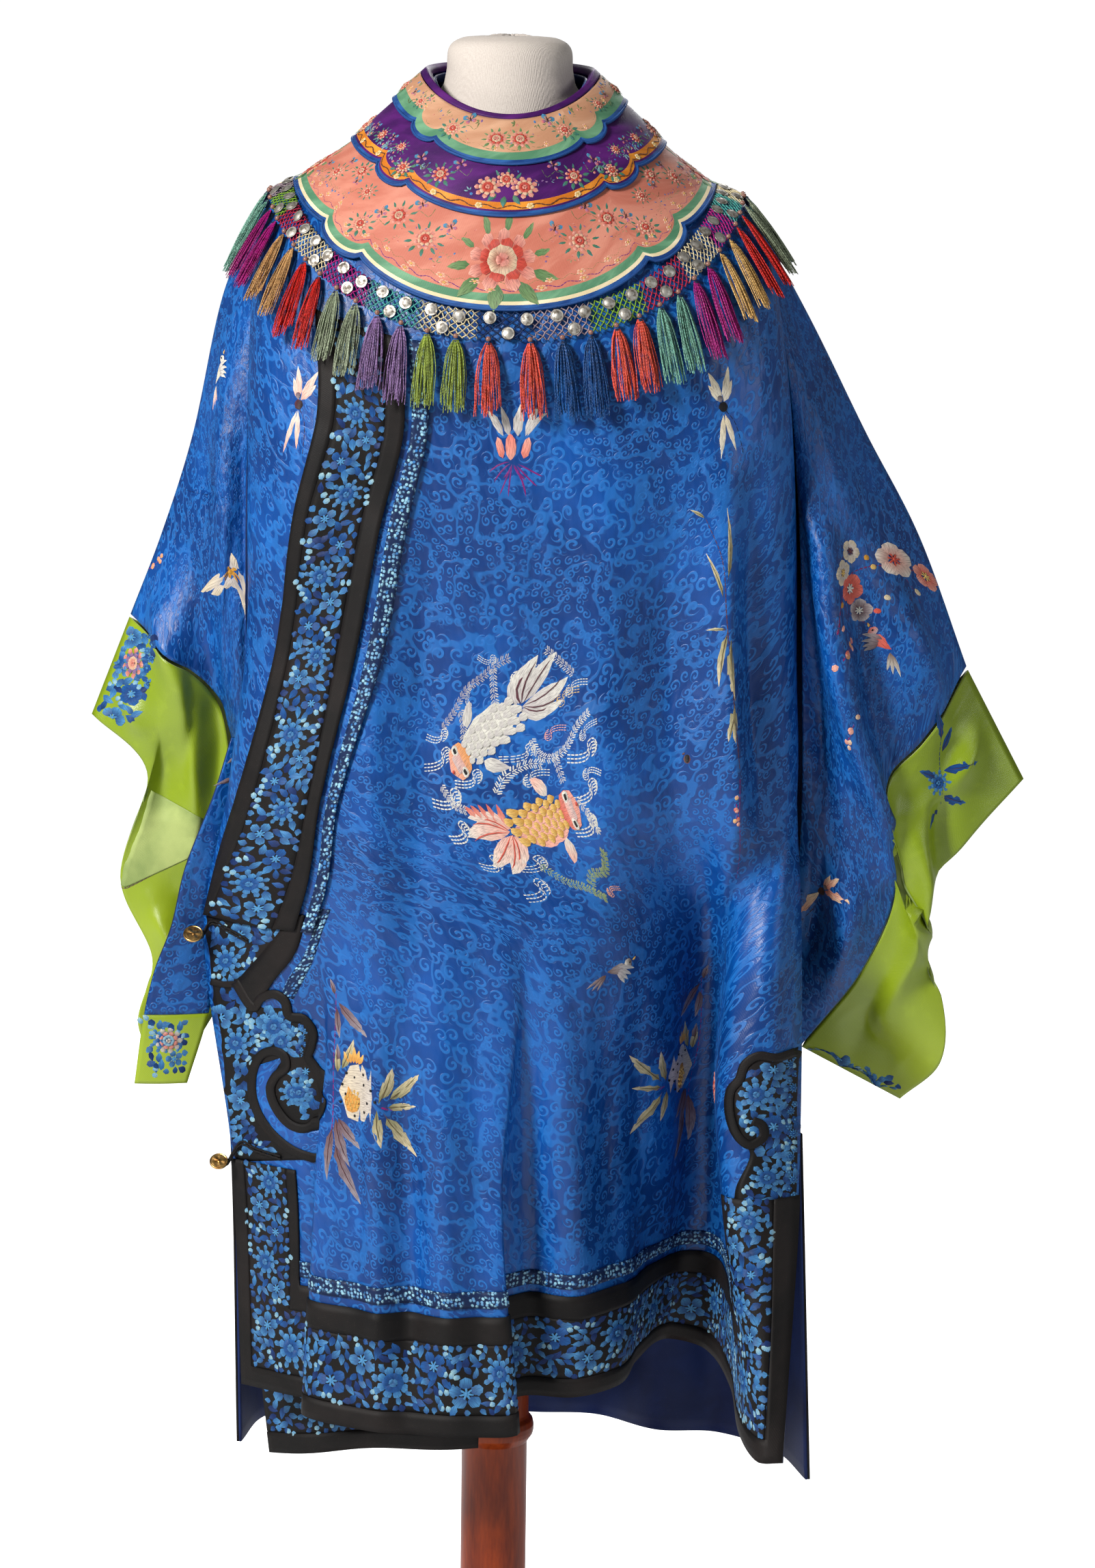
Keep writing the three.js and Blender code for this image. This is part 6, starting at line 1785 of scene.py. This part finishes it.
embroider("front_field_motifs", [(moved(roundel(), size=1.18), at_front(758, 1131)),
    (moved(lotus(), size=1.3), at_front(751, 668)), (seam, at_front(757, 1128)),
    (hole, at_front(1005, 1111)), (moved(dragonfly(("pink", "white"), "plum"), size=1.2, angle=-12),
    at_front(439, 592)), (moved(dragonfly(("white", "cream"), "ink"), size=1.2, angle=6),
    at_front(1057, 596)), (ridge_spray, at_front(1062, 917)), (buds_down, at_front(1066, 930)),
    (moved(pomegranate(), size=1.3), at_front(528, 1600)), (moved(mirrored(pomegranate()), size=1.25),
    at_front(990, 1567)), (moved(peony(15, [("coral", "pink"), ("rose", "pink"), ("blood", "coral")]),
    size=0.9), at_front(1046, 1600)), (moved(bird(("brown", "grey"), ("ash", "white"), ("brown", "ash")),
    angle=-20), at_front(900, 1420))])

# %% Field of the sleeves
embroider("right_sleeve_motifs", [(moved(plum_branch(), size=0.9), at_right_sleeve(1250, 858)),
    (moved(mirrored(bird(("coral", "rose"), ("plum", "grey"), ("brown", "white"))), angle=-14),
    at_right_sleeve(1290, 942)), (bud_cluster(["coral", "amber", "pink"]), at_right_sleeve(1234, 968)),
    (moved(dragonfly(("rose", "cream"), "brown"), angle=-60, size=1.1), at_right_sleeve(1204, 1304)),
    (moved(bud_cluster(["pink", "cream"]), size=0.8, angle=200), at_right_sleeve(1250, 1060)),
    (spray([(0, 34), (0, 14), (2, -8), (6, -30)], [(0, 30, 106, 24, 7), (2, 20, 70, 26, 7),
    (4, 6, 12, 30, 9), (-2, 0, 160, 22, 7), (4, -14, -20, 24, 8), (4, -26, -130, 18, 8)], "deep", "mid",
    1.5, "deep"), at_right_sleeve(1374, 1140)), (moved(peony(11, BLUE_PEONY), 0, 0),
    at_right_sleeve(1372, 1146))])
embroider("left_sleeve_motifs", [(blossom(15, "grey", "cream", "amber"), at_left_sleeve(339, 837)),
    (moved(bird(("white", "cream"), ("grey", "white"), ("white", "pink")), angle=40),
    at_left_sleeve(322, 548)), (moved(bud_cluster(["orange", "amber"]), size=0.7),
    at_left_sleeve(218, 832)), (moved(peony(13, [("blood", "pink"), ("violet", "lilac"),
    ("coral", "cream")]), 4, 8, rise=0.6), at_left_sleeve(190, 985))])
spray_leaves = spray([(0, 40), (2, 10), (-8, -14)], [(0, 38, -130, 26, 6), (2, 20, -150, 28, 7),
    (0, 10, -110, 34, 7), (-4, -6, -160, 24, 6), (2, 30, -60, 18, 5)], "plum", "ash")
embroider("sleeve_fold_motifs", [(moved(spray_leaves, size=0.8),
    seen_at(sleeve_fold, (362, 1040), (0.1, 0.9), (985, 760), 2.0)),
    (bed(-17, 14, -18, 24, 35, 4.8), laid_at(sleeve_fold, 0.5, 728, 0.01, 0.5, 2.0)),
    (moved(peony(11, [("brown", "white"), ("blood", "pink"), ("mid", "pale")]), 0, 8, rise=0.6),
    laid_at(sleeve_fold, 0.5, 728, 0.01, 0.5, 2.0))])

# %% Field of the back
def at_back(u, T):
    """On the back at a share of its width and a way down."""
    return laid_at(rear, u, T, 0.002, 2.0, SILK_TOP)


embroider("back_field_motifs", [(roundel(), at_back(0.5, 520)), (lotus(), at_back(0.5, 250)),
    (dragonfly(("pink", "rose"), "plum"), at_back(0.27, 330)),
    (dragonfly(("white", "pink"), "ink"), at_back(0.73, 330)), (pomegranate(), at_back(0.28, 720)),
    (mirrored(pomegranate()), at_back(0.74, 730)), (moved(plum_branch(), size=0.8), at_back(0.5, 790))])

# %% [markdown]
# ## Clouds at the slits
# A ruyi cloud ends each slit: a curl of black satin round an inlay of flowers, with a
# spiral of blue silk inside. The curl is a strip carried along a drawn path.

# %% Places drawn on the picture
def charted(surface, box, range_a, range_b):
    """The rule for places in pixels: a table of the surface's two ways, found by stepping to each pixel."""
    x0, x1, y0, y1 = box
    px, py = np.meshgrid(np.linspace(x0, x1, 26), np.linspace(y0, y1, 26))
    a, b = np.meshgrid(np.linspace(*range_a, 80), np.linspace(*range_b, 80))
    p = surface(a, b, 0.0)
    seen = on_picture(p).reshape(-1, 2)
    depth = 0.06 * (p @ FORWARD).ravel()
    want = np.stack([px.ravel(), py.ravel()], -1)
    first = (np.hypot(want[:, None, 0] - seen[:, 0], want[:, None, 1] - seen[:, 1]) + depth).argmin(1)
    at = np.stack([a.ravel()[first], b.ravel()[first]], -1)
    low, high = np.array([range_a[0], range_b[0]]), np.array([range_a[1], range_b[1]])
    step = (high - low) * 1e-3
    for turn in range(7):
        here = on_picture(surface(at[:, 0], at[:, 1], 0.0))
        by_a = (on_picture(surface(at[:, 0] + step[0], at[:, 1], 0.0)) - here) / step[0]
        by_b = (on_picture(surface(at[:, 0], at[:, 1] + step[1], 0.0)) - here) / step[1]
        flat = by_a[:, 0] * by_b[:, 1] - by_a[:, 1] * by_b[:, 0]
        flat = np.where(np.abs(flat) < 1e-6, 1e-6, flat)
        miss = want - here
        move = np.stack([(miss[:, 0] * by_b[:, 1] - miss[:, 1] * by_b[:, 0]) / flat,
            (miss[:, 1] * by_a[:, 0] - miss[:, 0] * by_a[:, 1]) / flat], -1)
        at = np.clip(at + np.clip(move, -15 * step, 15 * step), np.minimum(low, high), np.maximum(low, high))
    table = at.reshape(26, 26, 2)

    def rule(x, y, h):
        i = np.clip((np.asarray(x, float) - x0) / (x1 - x0) * 25, 0, 24.999)
        j = np.clip((np.asarray(y, float) - y0) / (y1 - y0) * 25, 0, 24.999)
        m, n = i.astype(int), j.astype(int)
        s, t = (i - m)[..., None], (j - n)[..., None]
        spot = ((table[n, m] * (1 - s) + table[n, m + 1] * s) * (1 - t)
            + (table[n + 1, m] * (1 - s) + table[n + 1, m + 1] * s) * t)
        return surface(spot[..., 0], spot[..., 1], h)

    return rule


PIXELS = 1.63  # of the picture, to a millimetre of the robe


def patch(name, chart, left, right, near, far, finishes):
    """Cloth between two lines drawn on the picture: w from the left line to the right one, t along both."""
    sides = []
    for line in (left, right):
        p = np.array(line, float)
        ways = ways_along(p)
        sides.append(lambda t, p=p, ways=ways: np.stack([through(ways, p[:, k], t * ways[-1])
            for k in range(2)], -1))

    def surface(w, t, h):
        one, two = (side(t) for side in sides)
        q = one + (two - one) * np.asarray(w)[..., None]
        return chart(q[..., 0], q[..., 1], h)

    reach = np.hypot(*(np.mean(right, 0) - np.mean(left, 0)))
    return sheet(name, surface, np.linspace(0, 1, max(4, int(reach / 7))), np.linspace(0, 1, 50), near, far,
        finishes)


def strip(path, width, chart):
    """A strip of cloth along a path on the picture: t from 0 to 1 along it, w from -1 to 1 across it."""
    p = np.asarray(path, float)
    ways = ways_along(p)

    def surface(w, t, lift):
        at = t * ways[-1]
        here = [through(ways, p[:, k], at) for k in range(2)]
        ahead = [through(ways, p[:, k], at + 1.0) - through(ways, p[:, k], at - 1.0) for k in range(2)]
        size = np.hypot(*ahead) + 1e-9
        return chart(here[0] - ahead[1] / size * w * width / 2, here[1] + ahead[0] / size * w * width / 2,
            lift)

    return surface


def inside(path, x, y):
    """Whether points lie within a closed outline, by counting the edges crossed on the way out."""
    p = np.asarray(path, float)
    q = np.roll(p, -1, axis=0)
    x = np.asarray(x)[..., None]
    y = np.asarray(y)[..., None]
    span = (p[:, 1] > y) != (q[:, 1] > y)
    rise = np.where(q[:, 1] == p[:, 1], 1e-9, q[:, 1] - p[:, 1])
    return (span & (x < p[:, 0] + (y - p[:, 1]) * (q[:, 0] - p[:, 0]) / rise)).sum(-1) % 2 == 1


def bed_within(outline, seed, busy=5.2, wide=44.0):
    """A bed of flowers kept inside an outline drawn on the picture, in millimetres of the picture."""
    p = np.array(outline, float) / PIXELS
    rows = []
    x = p[:, 0].min()
    while x < p[:, 0].max() - 8:
        rows.append(bed(x, min(x + wide, p[:, 0].max()), p[:, 1].min() - 4, p[:, 1].max() + 4, seed, busy))
        x += wide * 0.92
        seed += 1
    rows = np.concatenate(rows)
    reach = rows[:, 3:4] * np.stack([np.cos(rows[:, 2]), np.sin(rows[:, 2])], -1)
    keep = np.ones(len(rows), bool)
    for share in (0.15, 0.85):
        spot = rows[:, :2] + share * reach
        keep &= inside(p, spot[:, 0], spot[:, 1])
    return rows[keep]


def on_chart(chart, lift):
    """The rule for rows in millimetres of the picture, measured down from its top left corner."""
    return lambda x, y, h: chart(x * PIXELS, y * PIXELS, h + lift)


# %% Left slit: overlap's end, panel and cloud
slit = charted(front, (270, 520, 1300, 1730), (-0.02, 0.3), (560, 900))
GROUND = [[(300, 1340), (307, 1362), (313, 1436), (328, 1527), (334, 1622), (339, 1700)],
    [(450, 1340), (434, 1394), (380, 1470), (426, 1478), (460, 1515), (458, 1545), (474, 1600), (460, 1645),
    (440, 1668), (462, 1697)]]
patch("slit_panel_left", slit, *GROUND, 1.6, 2.3, [black_satin])
patch("cloud_inlay_left", slit, [(370, 1562), (371, 1601), (382, 1632), (403, 1661), (432, 1683),
    (466, 1698)], [(419, 1546), (402, 1576), (401, 1600), (411, 1626), (430, 1646), (468, 1652)], 2.3, 2.9,
    [blue_silk])
CURL = [(348, 1436), (374, 1474), (386, 1460), (405, 1454), (420, 1465), (426, 1486), (446, 1490),
    (460, 1510), (457, 1533), (453, 1546), (465, 1564), (474, 1593), (472, 1626), (452, 1650), (428, 1645),
    (407, 1620), (399, 1593), (407, 1574), (421, 1562), (419, 1545), (405, 1537), (386, 1543), (374, 1568),
    (373, 1601), (382, 1630), (403, 1660), (432, 1683), (466, 1696)]
curl = sheet("cloud_curl_left", strip(CURL, 12.5, slit), np.linspace(-1, 1, 4), np.linspace(0, 1, 170), 2.4,
    3.6, [black_satin])
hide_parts("cloud_left")
patch("overlap_end_satin", slit, [(427, 1338), (397, 1382), (361, 1423), (345, 1441)],
    [(448, 1338), (434, 1394), (407, 1431), (375, 1478)], 2.4, 3.5, [black_satin])
sheet("overlap_end_edge", strip([(312, 1436), (330, 1440), (350, 1441), (366, 1458)], 9, slit),
    np.linspace(-1, 1, 3), np.linspace(0, 1, 20), 2.4, 3.4, [black_satin])
patch("overlap_end_ribbon", slit, [(470, 1330), (459, 1365), (444, 1402), (424, 1431), (413, 1456)],
    [(486, 1330), (473, 1365), (461, 1402), (447, 1431), (431, 1462)], 1.6, 2.4, [woven_ribbon])
PANEL = [(305, 1350), (432, 1352), (396, 1390), (362, 1428), (352, 1450), (374, 1484), (400, 1464),
    (415, 1474), (424, 1494), (446, 1499), (453, 1515), (449, 1538), (440, 1552), (427, 1556), (404, 1530),
    (383, 1536), (366, 1562), (364, 1603), (374, 1636), (395, 1668), (420, 1692), (341, 1692), (337, 1622),
    (331, 1527), (316, 1436)]
HEART = [(428, 1568), (445, 1554), (460, 1572), (467, 1600), (464, 1624), (450, 1641), (431, 1634),
    (415, 1614), (408, 1593), (413, 1578)]
embroider("slit_flowers_left", [(bed_within(PANEL, 51), on_chart(slit, 2.4)),
    (bed_within(HEART, 57), on_chart(slit, 2.4)), (moved(peony(13, BLUE_PEONY), 440 / PIXELS,
    1598 / PIXELS), on_chart(slit, 2.6)), (moved(peony(16, BLUE_PEONY, 20), 404 / PIXELS, 1502 / PIXELS),
    on_chart(slit, 2.6))])

# %% Right slit: panel and cloud
slit_two = charted(front, (1040, 1190, 1500, 1830), (0.7, 1.02), (560, 900))
patch("slit_panel_right", slit_two, [(1134, 1545), (1100, 1556), (1074, 1600), (1084, 1660), (1100, 1690),
    (1080, 1740), (1078, 1790)], [(1172, 1530), (1172, 1570), (1171, 1620), (1170, 1680), (1169, 1720),
    (1168, 1760), (1167, 1790)], 1.6, 2.3, [black_satin])
curl_two = sheet("cloud_curl_right", strip([(1160, 1540), (1134, 1548), (1112, 1545), (1094, 1558),
    (1086, 1580), (1074, 1596), (1072, 1628), (1082, 1660), (1100, 1676), (1118, 1664), (1116, 1646),
    (1104, 1640)], 12, slit_two), np.linspace(-1, 1, 4), np.linspace(0, 1, 80), 2.4, 3.6, [black_satin])
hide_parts("cloud_right")
embroider("slit_flowers_right", [(bed_within([(1162, 1548), (1110, 1552), (1092, 1582), (1080, 1600),
    (1080, 1630), (1092, 1656), (1108, 1690), (1088, 1740), (1082, 1790), (1164, 1790), (1166, 1680)], 61),
    on_chart(slit_two, 2.4))])

# %% Brass buttons and their loops
brass, tree, shader = material("worn_brass", metallic=1.0)
worn = use(tree, wear, {"Place": place_of(tree), "Size": 260.0})
dress(tree, shader, base_color=blend(tree, worn.outputs["Faded"], colour(214, 170, 104),
    colour(150, 104, 56)), roughness=maths(tree, "MULTIPLY_ADD", worn.outputs["Rubbed"], 0.2, 0.28))
BUTTONS = [("underarm", 8.0, (-243, -66, 827), [(-230, 834), (-216, 831), (-198, 825)]),
    ("slit", 7.5, (-223, -63, 640), [(-206, 654), (-194, 651), (-172, 648)])]
DISC = [(0, -1.0), (0.55, -1.0), (0.94, -1.1), (1.0, -0.5), (1.0, 0.4), (0.95, 1.0), (0.88, 1.1),
    (0.84, 0.75), (0.8, 0.72), (0.7, 1.15), (0.6, 0.8), (0.45, 1.25), (0.3, 0.85), (0.16, 1.4), (0, 1.5)]
SHANK_TILT = 2.29
FACE = np.array([0, -0.6583, 0.7528])
ACROSS = np.array([1.0, 0, 0])
for label, r, centre, hold in BUTTONS:
    c, s = np.cos(SHANK_TILT), np.sin(SHANK_TILT)
    up = np.cross(FACE, ACROSS)
    profile = np.array([(a * r, b) for a, b in DISC])
    turn = np.linspace(0, 2 * np.pi, 40, endpoint=False)
    ring = profile[:, None, 0:1] * (np.cos(turn)[None, :, None] * ACROSS + np.sin(turn)[None, :, None] * up)
    relief = 0.22 * np.cos(turn * 5)[None, :, None] * np.exp(-((profile[:, None, 0:1] / r - 0.5)
        / 0.3) ** 2) * (profile[:, None, 1:2] > 0)
    points = np.array(centre, float) + ring + (profile[:, None, 1:2] + relief) * FACE
    made_points, faces, chart = many(points[None])
    piece = build("brass_button_" + label, made_points, faces, chart, [brass], weld=True)
    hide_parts("button_" + label)
    x, y, z = centre
    start = np.array([(x + 2, y - c * 2.9, z - s * 2.9), (x + 6, y - c * 6, z - s * 3.6)])
    held = []
    for hx, hz in hold:
        u, T = 0.06, HIP + HIP_Z - hz
        for nearer in range(40):
            p = front(np.array(u), np.array(T), BINDING_TOP)
            T += (p[2] - hz) * 0.9
            u += (hx - p[0]) / FRONT_WIDTH * 0.6
        held.append(front(np.array(u), np.array(T), 3.3))
    path = np.concatenate([start, held])
    ways = np.concatenate([[0], np.cumsum(np.linalg.norm(np.diff(path, axis=0), axis=1))])
    fine = np.linspace(0, ways[-1], 46)
    smooth = np.stack([through(ways, path[:, k], fine) for k in range(3)], -1)
    twist = fine[:, None] * 1.1
    pair = np.stack([smooth + np.array([0, 0, 1.15]) * side + np.array([0, -0.35, 0.3]) * np.cos(twist)
        * side for side in (-1, 1)])
    cords = np.concatenate([tube(one, np.r_[0, np.ones(44), 0], 8, (0.0, -1.0, 0.0))[None] for one in pair])
    cord_points, faces, chart = many(cords)
    piece = build("black_loop_" + label, cord_points, faces, chart, [black_satin], weld=True)
    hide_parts("loop_" + label)

# %% Cuffs: flowers, lining patch and seams
left_mouth = charted(left_sleeve, (120, 400, 560, 1420), (0.0, 0.5), (0.0, 2.0))
right_mouth = charted(right_sleeve, (1150, 1430, 980, 1640), (0.0, 0.5), (0.6, 2.0))
embroider("cuff_edge_flowers", [(bed_within([(1180, 1530), (1240, 1552), (1316, 1576), (1314, 1604),
    (1250, 1588), (1178, 1556)], 73), on_chart(right_mouth, 1.2))])
embroider("cuff_corner_flowers", [(bed_within([(190, 915), (232, 930), (226, 980), (204, 1062), (150, 1050),
    (144, 1040)], 71), on_chart(left_mouth, 1.2))])
patch("cuff_lining_patch", left_mouth, [(222, 1156), (206, 1210), (186, 1262), (174, 1304)],
    [(298, 1199), (292, 1222), (286, 1246), (280, 1254)], 1.0, 1.7, [cuff_lining])
embroider("cuff_patch_seam", [(stem([(px / PIXELS, py / PIXELS) for px,
    py in [(174, 1306), (210, 1288), (246, 1268), (282, 1254)]], 1.0, "olive", "plum"),
    on_chart(left_mouth, 1.4)), (stem([(px / PIXELS, py / PIXELS) for px,
    py in [(265, 716), (300, 724), (350, 734)]], 0.6, "night", "night"), on_chart(left_mouth, 1.0))])


# %% [markdown]
# ## Embroidery of the collar
# Each tier has a peony in the middle of its lobes, smaller flowers with leaves beside
# it and a wavy vine along its border. The drawings are simple flowers of the usual
# kind and repeat round the neck.


# %% Collar flowers
def on_tier(kind, degrees, down):
    """On a tier at an angle round the neck and a way down from the neckline."""
    lift = TIERS[kind][4] + 1.4
    return laid_at(lambda a, T, h: shoulder(a, T, h + lift + 0.7), np.radians(degrees), down, 0.01, 1.0, 0.0)


def leafy(r, base, tip):
    """Leaves all round a flower, partly under it."""
    return [petal(0.7 * r * np.cos(a), 0.55 * r * np.sin(a), np.degrees(a), 0.62 * r, 0.3 * r, base, tip,
        0.3, POINTED, 0.4) for a in np.radians(np.arange(0, 360, 36) + 12)]


def vine(kind, inset, base, flower, count):
    """A wavy line beside a tier's edge all the way round, with small flowers on it."""
    lift = TIERS[kind][4] + 1.9
    a = np.linspace(0, 2 * np.pi, count * 5 + 1)
    rows = stem(np.stack([a * 100, 1.3 * np.sin(a * count)], -1), 0.8, base, base,
        100 * 2 * np.pi / (count * 5), 0.25)
    small = [moved(blossom(2.3, flower, "cream", "gold"), 100 * b, 0.0)
        for b in np.linspace(0, 2 * np.pi, count // 2, endpoint=False)]
    rule = lambda x, y, h: shoulder(x / 100, tier_edge(kind, x / 100) - inset + y, h + lift)
    return [(rows, rule), (np.concatenate(small), rule)]


def sprigs(kind, top, inset, count, seed, leaf, tip):
    """Small sprigs strewn over a tier: three leaves and a bud each, turned this way and that."""
    dice = np.random.default_rng(seed)
    angles = dice.uniform(0, 2 * np.pi, count)
    down = top + (tier_edge(kind, angles) - inset - top) * dice.uniform(0, 1, count)
    rows = []
    for a, T, turn in zip(angles, down, dice.uniform(0, 360, count)):
        sprig = [petal(0, 0, 0, 4.6, 1.9, leaf, tip, 0.5, POINTED, 0.4),
            petal(0, 0, 48, 3.8, 1.7, leaf, tip, -0.4, POINTED, 0.4),
            petal(0, 0, -50, 3.8, 1.7, leaf, tip, 0.4, POINTED, 0.4),
            petal(-1.2, 0, 180, 2.6, 2.4, *(("blood", "pink"), ("violet", "lilac"),
            ("mid", "sky"))[int(turn) % 3])]
        rows.append(moved(sprig, 100 * a, T, turn))
    return [(np.concatenate(rows), lambda x, y, h: shoulder(x / 100, y, h + TIERS[kind][4] + 1.9))]


RED_PEONY = [("blood", "pink"), ("blood", "coral"), ("blood", "cream")]
PINK_PEONY = [("blood", "pink"), ("coral", "cream"), ("blood", "coral")]
work = vine("bottom", 15, "violet", "coral", 70) + vine("top", 10.5, "leaf", "rose", 30) + vine("middle",
    5.6, "brown", "gold", 44)
work += vine("bottom", 20, "olive", "rose", 90)
work += sprigs("bottom", 84, 26, 230, 81, "leaf", "sage") + sprigs("middle", 40, 12, 150, 82, "teal", "pale")
work += sprigs("top", 8, 13, 90, 83, "olive", "leaf")
for quarter in range(4):
    face = 90 * quarter + 90
    front_lobe = quarter % 2 == 0
    down = {"bottom": 108 if front_lobe else 82, "middle": 55 if front_lobe else 42,
        "top": 21 if front_lobe else 14}
    size = 1.0 if front_lobe else 0.72
    work.append((moved(leafy(36, "leaf", "fern"), size=size), on_tier("bottom", face, down["bottom"])))
    work.append((moved(np.array(peony(29, RED_PEONY, 8, 0.75)), size=size, rise=0.3),
        on_tier("bottom", face, down["bottom"])))
    work.append((moved(leafy(15, "leaf", "teal"), size=size), on_tier("middle", face, down["middle"])))
    for x in (-14, 14):
        work.append((moved(peony(10.5, PINK_PEONY, 20, 0.8), x, -1, size=size, rise=0.3),
            on_tier("middle", face, down["middle"])))
    work.append((moved(peony(8, PINK_PEONY, 0, 0.7), 0, 6, size=size, rise=0.5),
        on_tier("middle", face, down["middle"])))
    for x in (-9, 9):
        work.append((moved(leafy(9.5, "leaf", "fern"), x, 0, size=size), on_tier("top", face, down["top"])))
        work.append((moved(peony(8, RED_PEONY, 0, 0.8), x, 0, size=size, rise=0.3),
            on_tier("top", face, down["top"])))
    for side in (-1, 1):
        for kind, turn, way, r, tones in (("bottom", 21, 0.9, 9, PINK_PEONY),
            ("bottom", 32, 0.78, 8, RED_PEONY), ("middle", 25, 0.92, 7, RED_PEONY),
            ("top", 30, 0.9, 6, PINK_PEONY), ("bottom", 42, 0.92, 7, PINK_PEONY),
            ("middle", 41, 0.95, 6, PINK_PEONY)):
            rule = on_tier(kind, face + side * turn, down[kind] * way)
            work.append((moved(leafy(r * 1.5, "leaf", "teal"), size=size), rule))
            work.append((moved(peony(r, tones), size=size, rise=0.3), rule))
            twig = stem([(side * r, 0), (side * r * 2, 4), (side * r * 3, -2), (side * r * 3.6, 5)], 0.8,
                "olive", "leaf")
            work.append((moved(twig, size=size), rule))
            work.append((moved(butterfly(("teal", "sky"), ("mid", "rose")), side * r * 2.2, 9, 20 * side,
                0.42 * size), rule))
embroider("collar_embroidery", work)

# %% [markdown]
# ## What each sheet is cut from
# A table gives each sheet the cloth that it was cut from: what shows, with a sleeve
# measured all round. Each sheet's area is printed beside its cut.

# %% Slots and cut sizes
PIECES = {o.name: o for o in bpy.data.objects if o.type == "MESH" and "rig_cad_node" not in o and o != ground}


def cloth_area(piece):
    """Half of the mesh's surface, in square metres."""
    areas = np.empty(len(piece.data.polygons), np.float32)
    piece.data.polygons.foreach_get("area", areas)
    return float(areas.sum()) / 2


def named(*starts):
    """The pieces whose names begin so."""
    return [piece for name, piece in PIECES.items() if name.startswith(starts)]


front_extras = front_trim + overlap_trim + named("front_border", "overlap_flowers", "front_field", "slit_",
    "cloud_", "overlap_end")
front_extras = list({p.name: p for p in front_extras if p != robe_front}.values())
back_extras = back_trim + named("back_border", "back_field")
# The piece, its flat width and length in metres, its flat area, how it is held,
# what it is on and what is on it.
CUTS = [
    (robe_front, 0.8, 0.756, None, "hung", ["dress_form"], front_extras),
    (robe_back, 0.8, 0.816, None, "hung", ["dress_form"], back_extras),
    (left_upper, 0.55, 0.129, None, "hung", ["robe_front"], named("left_sleeve_motifs")),
    (left_cuff, 0.6, 0.096, None, "hung", ["sleeve_left"], named("cuff_corner", "cuff_lining", "cuff_patch")),
    (right_upper, 0.6, 0.218, None, "hung", ["robe_front"], named("right_sleeve_motifs")),
    (right_cuff, 0.6, 0.091, None, "hung", ["sleeve_right"], named("cuff_edge")),
    (fold_silk, 0.04, 0.23, None, "hung", ["sleeve_left"], named("sleeve_fold_motifs")),
    (fold_tip, 0.05, 0.058, None, "hung", ["sleeve_left_fold"], []),
    (lap_silk, 0.224, 0.365, None, "hung", ["robe_back"], [lap_band, lap_edge] + named("lap_flowers")),
    (collar["top"], 0.24, 0.2, 0.0191, "laid", ["dress_form"], named("piping_top", "neck_binding")),
    (collar["middle"], 0.36, 0.3, 0.042, "laid", ["collar_tier_bottom"], named("piping_middle")),
    (collar["bottom"], 0.5, 0.42, 0.0812, "laid", ["robe_front"],
     named("piping_bottom", "collar_embroidery", "net_", "silver", "tassel"))]
for piece, width, length, area, held, rests, on_it in CUTS:
    print("cloth area", piece.name, round(cloth_area(piece), 4), "cut", area or round(width * length, 4))
triangles = sum(len(face.vertices) - 2 for piece in PIECES.values() for face in piece.data.polygons)
print("pieces", len(PIECES), "triangles", triangles)
